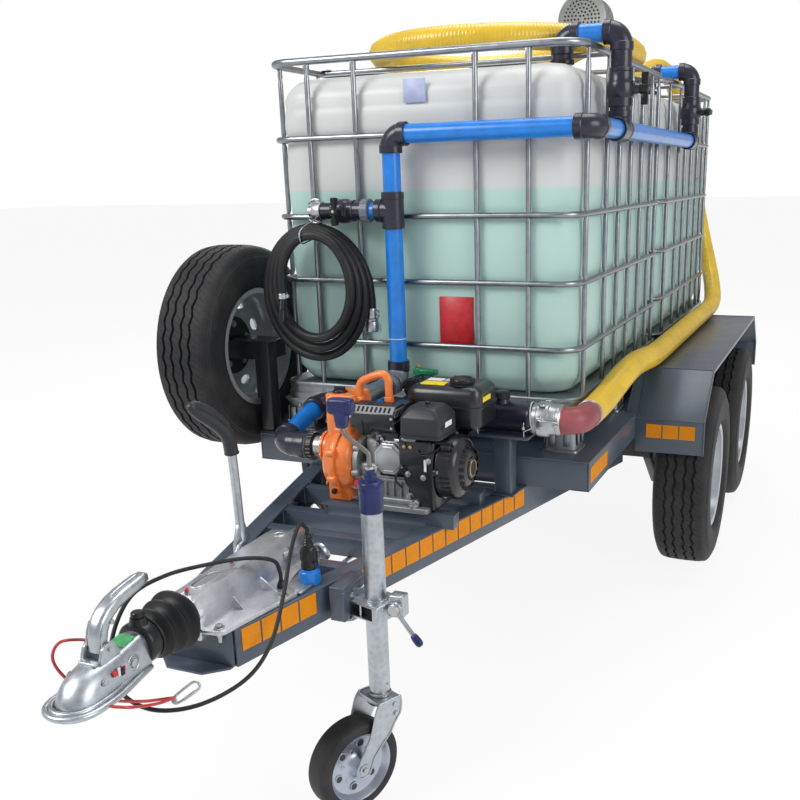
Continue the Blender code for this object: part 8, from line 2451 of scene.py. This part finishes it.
class TRAILER_OT_jockey(bpy.types.Operator):
    """Jockey leg: clamp, blue cap and crank, tubes, fork and wheel"""
    bl_idname = "trailer.jockey"
    bl_label = "Jockey Wheel"

    def execute(self, context):
        steel, bright, blue, charcoal, dark = use("zinc"), use("bright"), use("jockey"), use(
            "charcoal"), use("dark")
        x, y = JOCKEY
        leg = Shape()
        leg.turned([(-0.35, 0.0222), (-0.35, 0.024), (-0.349, 0.0248), (0.092, 0.0248), (0.092, 0),
            (-0.2, 0), (-0.2, 0.0222)], at(x, y, 0), Z, steel, 56)
        leg.solid([(0.0872, 0.0258), (0.0884, 0.027), (0.14, 0.0272), (0.141, 0.028), (0.1425, 0.0285),
            (0.154, 0.0285), (0.1565, 0.0278), (0.1585, 0.0258), (0.159, 0.024), (0.1592, 0.016),
            (0.1605, 0.0148), (0.1725, 0.0146), (0.174, 0.014), (0.1745, 0.012), (0.1752, 0.0114),
            (0.1835, 0.0112), (0.185, 0.01)], at(x, y, 0), Z, blue, 56)
        leg.rod(at(x + 0.023, y - 0.006, -0.33), at(x + 0.027, y - 0.006, -0.33), 0.0036, bright, 16,
            bevel=0.001)
        leg.done("jockey_leg_tube", "jockey_leg", "jockey_blue", "jockey_outer_tube", 30)

        crank = Shape()
        top = 0.1853
        crank.rod(at(x, y, top), at(x, y, top + 0.006), 0.0102, bright, 24, bevel=0.0012)
        crank.rod(at(x, y, -0.193), at(x, y, top + 0.002), 0.007, bright, 20)
        route = rounded([at(x + px, y + py, top + pz) for px, py, pz in ((0, 0, 0.002), (0, 0, 0.034),
            (-0.006, -0.001, 0.04), (-0.052, -0.004, 0.072), (-0.0605, -0.004, 0.084),
            (-0.061, -0.004, 0.102))], 0.012, 5)
        crank.tube(route, 0.0054, use("crank"), 7)
        low = at(x - 0.061, y - 0.004, top + 0.09)
        knob = []
        for z, wide, deep, r in ((0, 0.021, 0.018, 0.005), (0.002, 0.025, 0.021, 0.006),
                (0.012, 0.0275, 0.023, 0.006), (0.03, 0.031, 0.025, 0.006), (0.036, 0.036, 0.0258, 0.006)):
            knob.append([low + Vector((px, py, z)) for px, py in round_outline(wide, deep, r, 4)])
        crank.loft(knob, blue)
        bar = []
        for px, tall, deep in ((-0.03, 0.02, 0.016), (-0.0294, 0.027, 0.0215), (-0.027, 0.033, 0.0258),
                (-0.021, 0.0362, 0.0272), (-0.008, 0.0375, 0.0278), (0.008, 0.0375, 0.0278),
                (0.021, 0.0362, 0.0272), (0.027, 0.033, 0.0258), (0.0294, 0.027, 0.0215),
                (0.03, 0.02, 0.016)):
            bar.append([low + Vector((px, py, 0.047 + pz)) for py,
                pz in round_outline(deep, tall, min(tall, deep) * 0.3, 4)])
        crank.loft(bar, blue)
        for side in (1, -1):
            for index in range(3):
                crank.box(low + Vector((-0.0165 + index * 0.013, side * 0.0134 - 0.0008, 0.035)),
                    low + Vector((-0.0125 + index * 0.013, side * 0.0134 + 0.0008, 0.058)), blue, 0.0006, 1)
        crank.done("jockey_crank_arm", "jockey_screw", "jockey_blue", "jockey_crank", 35)

        stem = Shape()
        stem.solid([(-0.362, 0.025), (-0.3605, 0.0268), (-0.3555, 0.0268), (-0.354, 0.025),
            (-0.354, 0.0216), (-0.061, 0.0216), (-0.06, 0.0205), (-0.06, 0.0085), (-0.3, 0.0085)],
            at(x, y, 0), Z, bright, 48)
        stem.rod(at(x, y, -0.384), at(x, y, -0.36), 0.0098, bright, 28, bevel=0.001)
        stem.done("jockey_stem_tube", "jockey_stem", "galvanised_steel", "jockey_inner_tube")

        low_corner, high_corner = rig.box("jockey_wheel")
        centre = (low_corner + high_corner) / 2
        ahead = Vector((cos(radians(244)), sin(radians(244)), 0))
        across = Vector((-ahead.y, ahead.x, 0))
        crown = at(x, y, -0.3623)
        place = basis(crown, ahead, across, Z)
        drop, trail = crown.z - centre.z, 0.085
        fork = Shape()
        body, cutters = bmesh.new(), bmesh.new()
        put_box(body, Vector((-0.027, -0.0415, -0.0095)), Vector((0.034, 0.0415, 0)))
        put_bar(cutters, Vector((0, 0, -0.03)), Vector((0, 0, 0.02)), 0.0103)
        fork.carved(body, cutters, steel, place)
        side_line = [(-0.027, 0), (0.03, 0), (0.042, -0.014), (0.052, -0.042), (0.064, -0.076),
            (0.088, -0.113), (0.101, -drop + 0.014), (0.105, -drop), (0.1005, -drop - 0.014),
            (0.085, -drop - 0.0195), (0.07, -drop - 0.014), (0.057, -0.132), (0.033, -0.106),
            (0.008, -0.085), (-0.006, -0.064), (-0.018, -0.05), (-0.0255, -0.04), (-0.029, -0.018)]
        fair = smooth_route([Vector((a, b, 0)) for a, b in side_line[1:]] + [Vector((*side_line[0], 0))], 3)
        for side in (1, -1):
            swing = basis((0, 0.037 if side > 0 else -0.042, 0), X, Z, Y)
            fork.plate([(p.x, p.y) for p in fair], 0.005, steel, place @ swing, 0.0008, 1)
            edge = [place @ Vector((p.x, side * 0.0418, p.y)) for p in fair]
            fork.tube(edge, 0.0026, steel, 4, closed=True)
            boss = place @ Vector((trail, side * 0.0418, -drop))
            fork.rod(boss, boss + across * side * 0.0025, 0.0135, steel, 28, bevel=0.0008)
            fork.bolt(boss + across * side * 0.0022, across * side, 0.0078, bright, washer=False, tall=0.65)
            for a, b in ((-0.01, -0.016), (-0.012, -0.04)):
                pin = place @ Vector((a, side * 0.0415, b))
                fork.rod(pin, pin + across * side * 0.0045, 0.006, steel, 16, bevel=0.0015)
        fork.rod(place @ Vector((trail, -0.0465, -drop)), place @ Vector((trail, 0.0465, -drop)), 0.0058,
            bright, 24, bevel=0.0006)
        fork.turned([(0, 0.0105), (0, 0.03), (0.003, 0.032), (0.0085, 0.032), (0.01, 0.029),
            (0.01, 0.0105)], crown + Z * -0.0195, Z, steel, 36, closed=True)
        fork.done("jockey_fork_body", "jockey_caster", "galvanised_steel", "jockey_fork", 35)

        wheel, tyre = Shape(), use("tyre_plain")
        wheel.turned([(-0.03, 0.081), (-0.0325, 0.0835), (-0.033, 0.089), (-0.0326, 0.098),
            (-0.0305, 0.104), (-0.0255, 0.1082), (-0.018, 0.1098), (0, 0.11), (0.018, 0.1098),
            (0.0255, 0.1082), (0.0305, 0.104), (0.0326, 0.098), (0.033, 0.089), (0.0325, 0.0835),
            (0.03, 0.081), (0.018, 0.078), (-0.018, 0.078)], centre, across, tyre, 96, closed=True)
        for offset in (-0.0205, 0.0205):
            wheel.torus(centre + across * offset, across, 0.1084, 0.0012, tyre, 80, 6)
        wheel.turned([(-0.035, 0.0063), (-0.0355, 0.018), (-0.0345, 0.0195), (-0.03, 0.0215),
            (-0.02, 0.026), (-0.014, 0.033), (-0.0115, 0.043), (-0.012, 0.06), (-0.015, 0.071),
            (-0.023, 0.0765), (-0.029, 0.0795), (-0.0322, 0.0825), (-0.03, 0.0842), (-0.02, 0.083),
            (0.02, 0.083), (0.03, 0.0842), (0.0322, 0.0825), (0.029, 0.0795), (0.023, 0.0765),
            (0.015, 0.071), (0.012, 0.06), (0.0115, 0.043), (0.014, 0.033), (0.02, 0.026), (0.03, 0.0215),
            (0.0345, 0.0195), (0.0355, 0.018), (0.035, 0.0063)], centre, across, use("roller"), 72,
            closed=True)
        spin = turn_to(across)
        for side in (1, -1):
            for a in around(6, 0.3):
                spot = centre + across * side * 0.0118 + (spin @ Vector((0, 0.054 * cos(a), 0.054 * sin(a))))
                wheel.solid([(0, 0.0105), (0.0012, 0.0112), (0.0022, 0.0104)], spot, across * side,
                    use("roller"), 24)
                wheel.solid([(0, 0.0082), (0.0006, 0.008)], spot + across * side * 0.002, across * side,
                    use("iron"), 20)
                b = a + pi / 6
                for reach in (0.04, 0.068):
                    spot = centre + across * side * 0.0116 + (spin @ Vector((0, reach * cos(b),
                        reach * sin(b))))
                    wheel.turned([(0, 0), (0, 0.006), (0.0016, 0.0048), (0.0022, 0)], spot, across * side,
                        use("roller"), 16)
        wheel.done("jockey_tyre", "jockey_roller", "tyre_rubber", "jockey_wheel", 30)

        clamp = Shape()
        edge_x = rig.box("jockey_bracket")[0].x
        clamp.box(at(edge_x + 0.02, y - 0.052, -0.168), at(x - 0.052, y + 0.052, -0.085), charcoal, 0.003, 3)
        clamp.box(at(x - 0.058, y - 0.058, -0.16), at(x - 0.05, y + 0.058, -0.094), charcoal, 0.002)
        body, cutters = bmesh.new(), bmesh.new()
        skew = move(at(x, y, -0.14)) @ Matrix.Rotation(-0.3, 4, "Z")
        put_box(body, Vector((-0.044, -0.044, -0.02)), Vector((0.044, 0.043, 0.02)))
        soften(body, body.edges[:], 0.003)
        put_bar(cutters, Vector((0, 0, -0.05)), Vector((0, 0, 0.05)), 0.0252, 56)
        put_box(cutters, Vector((-0.039, -0.05, -0.015)), Vector((0.03, -0.029, 0.015)))
        put_box(cutters, Vector((-0.05, 0.029, -0.0165)), Vector((0.03, 0.05, 0.0165)))
        clamp.carved(body, cutters, steel, skew)
        # Painted shade: a near-black sheet stands in for the shade at the back of the clamp's slit.
        clamp.box((-0.0385, -0.03, -0.015), (0.029, -0.0285, 0.015), dark, 0.0004, 1, place=skew)
        clamp.rod(skew @ Vector((-0.012, -0.037, -0.018)), skew @ Vector((-0.012, -0.037, 0.018)), 0.0034,
            bright, 16)
        clamp.turned([(0, 0.0252), (0, 0.0295), (0.0022, 0.029), (0.003, 0.027), (0.003, 0.0252)],
            at(x, y, -0.1202), Z, steel, 48, closed=True)
        wave = [(-0.05, -0.034), (-0.02, -0.039), (0, -0.033), (0.02, -0.039), (0.05, -0.034), (0.052, 0),
            (0.048, 0.034), (0.02, 0.039), (0, 0.033), (-0.02, 0.039), (-0.048, 0.034), (-0.052, 0)]
        clamp.plate([(p.x, p.y) for p in smooth_route([Vector((a, b, 0)) for a, b in wave + wave[:1]],
            3)[:-1]], 0.006, steel, skew @ frame_of(Vector((-0.05, 0, 0)), Y, Z), 0.001)
        for z in (-0.029, 0.029):
            for side in (1, -1):
                spot = skew @ Vector((-0.044, side * 0.036, z))
                clamp.bolt(spot, skew.to_3x3() @ X, 0.0072, bright, tall=0.8)
        clamp.rod(at(x + 0.032, y - 0.039, -0.1268), at(x + 0.032, y + 0.039, -0.1268), 0.006, bright, 20,
            bevel=0.001)
        clamp.box(at(x + 0.04, y - 0.016, -0.154), at(x + 0.076, y + 0.016, -0.101), steel, 0.004, 3)
        clamp.rod(at(x + 0.061, y - 0.016, -0.1268), at(x + 0.061, y + 0.025, -0.1268), 0.0095, bright, 6,
            bevel=0.001)
        clamp.done("jockey_clamp_block", "trailer", "galvanised_steel", "jockey_bracket", 32)

        bar = Shape()
        base = at(x + 0.061, y - 0.0163, -0.1268)
        bar.turned([(0, 0), (0, 0.0125), (0.0015, 0.0138), (0.0195, 0.0138), (0.0215, 0.012), (0.0218, 0)],
            base, -Y, bright, 32)
        bar.torus(base + Vector((0, -0.011, 0)), Y, 0.014, 0.0022, steel, 32, 8)
        bar.tube(smooth_route([base + Vector(p) for p in ((0, -0.014, 0), (0.016, -0.0185, -0.013),
            (0.038, -0.024, -0.035), (0.062, -0.03, -0.058))], 4), 0.0052, bright, 6)
        out = Vector((0.022, -0.0055, -0.0205)).normalized()
        bar.turned([(0, 0), (0, 0.0062), (0.002, 0.0078), (0.008, 0.0088), (0.02, 0.0094), (0.027, 0.0082),
            (0.0305, 0.005), (0.0315, 0)], base + Vector((0.05, -0.027, -0.0468)), out, blue, 32)
        bar.done("jockey_clamp_bar", "jockey_clamp", "galvanised_steel", "jockey_clamp_lever")
        return {"FINISHED"}


# The panel and the run

OPERATORS = (TRAILER_OT_stage, TRAILER_OT_suction_hose, TRAILER_OT_delivery_hose, TRAILER_OT_cables,
             TRAILER_OT_tanks, TRAILER_OT_cages, TRAILER_OT_pallets, TRAILER_OT_deck, TRAILER_OT_drawbar,
             TRAILER_OT_wheels, TRAILER_OT_spare_wheel, TRAILER_OT_mudguards, TRAILER_OT_axles,
             TRAILER_OT_pump, TRAILER_OT_engine, TRAILER_OT_engine_covers, TRAILER_OT_delivery_pipes,
             TRAILER_OT_suction_pipes, TRAILER_OT_coupling, TRAILER_OT_housing, TRAILER_OT_jockey)


class TRAILER_PT_panel(bpy.types.Panel):
    """Lists the trailer's pieces, sizes and colours"""
    bl_label = "Trailer"
    bl_idname = "TRAILER_PT_panel"
    bl_space_type = "VIEW_3D"
    bl_region_type = "UI"
    bl_category = "Trailer"

    def draw(self, context):
        for group in (context.scene.trailer_sizes, context.scene.trailer_colors):
            box = self.layout.box()
            for name in type(group).__annotations__:
                box.prop(group, name)
        for operator in OPERATORS:
            self.layout.operator(operator.bl_idname)


CLASSES = (TrailerColors, TrailerSizes, *OPERATORS, TRAILER_PT_panel)


def register():
    for each in CLASSES:
        bpy.utils.register_class(each)
    bpy.types.Scene.trailer_colors = bpy.props.PointerProperty(type=TrailerColors)
    bpy.types.Scene.trailer_sizes = bpy.props.PointerProperty(type=TrailerSizes)


def unregister():
    del bpy.types.Scene.trailer_sizes
    del bpy.types.Scene.trailer_colors
    for each in reversed(CLASSES):
        bpy.utils.unregister_class(each)


def main():
    register()
    for operator in OPERATORS:
        group, name = operator.bl_idname.split(".")
        getattr(getattr(bpy.ops, group), name)()
    with open("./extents.json", "w") as out:
        json.dump({"cad": CAD_BOX, "visual": [list(corner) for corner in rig.bounds()]}, out)


if __name__ == "__main__":
    main()
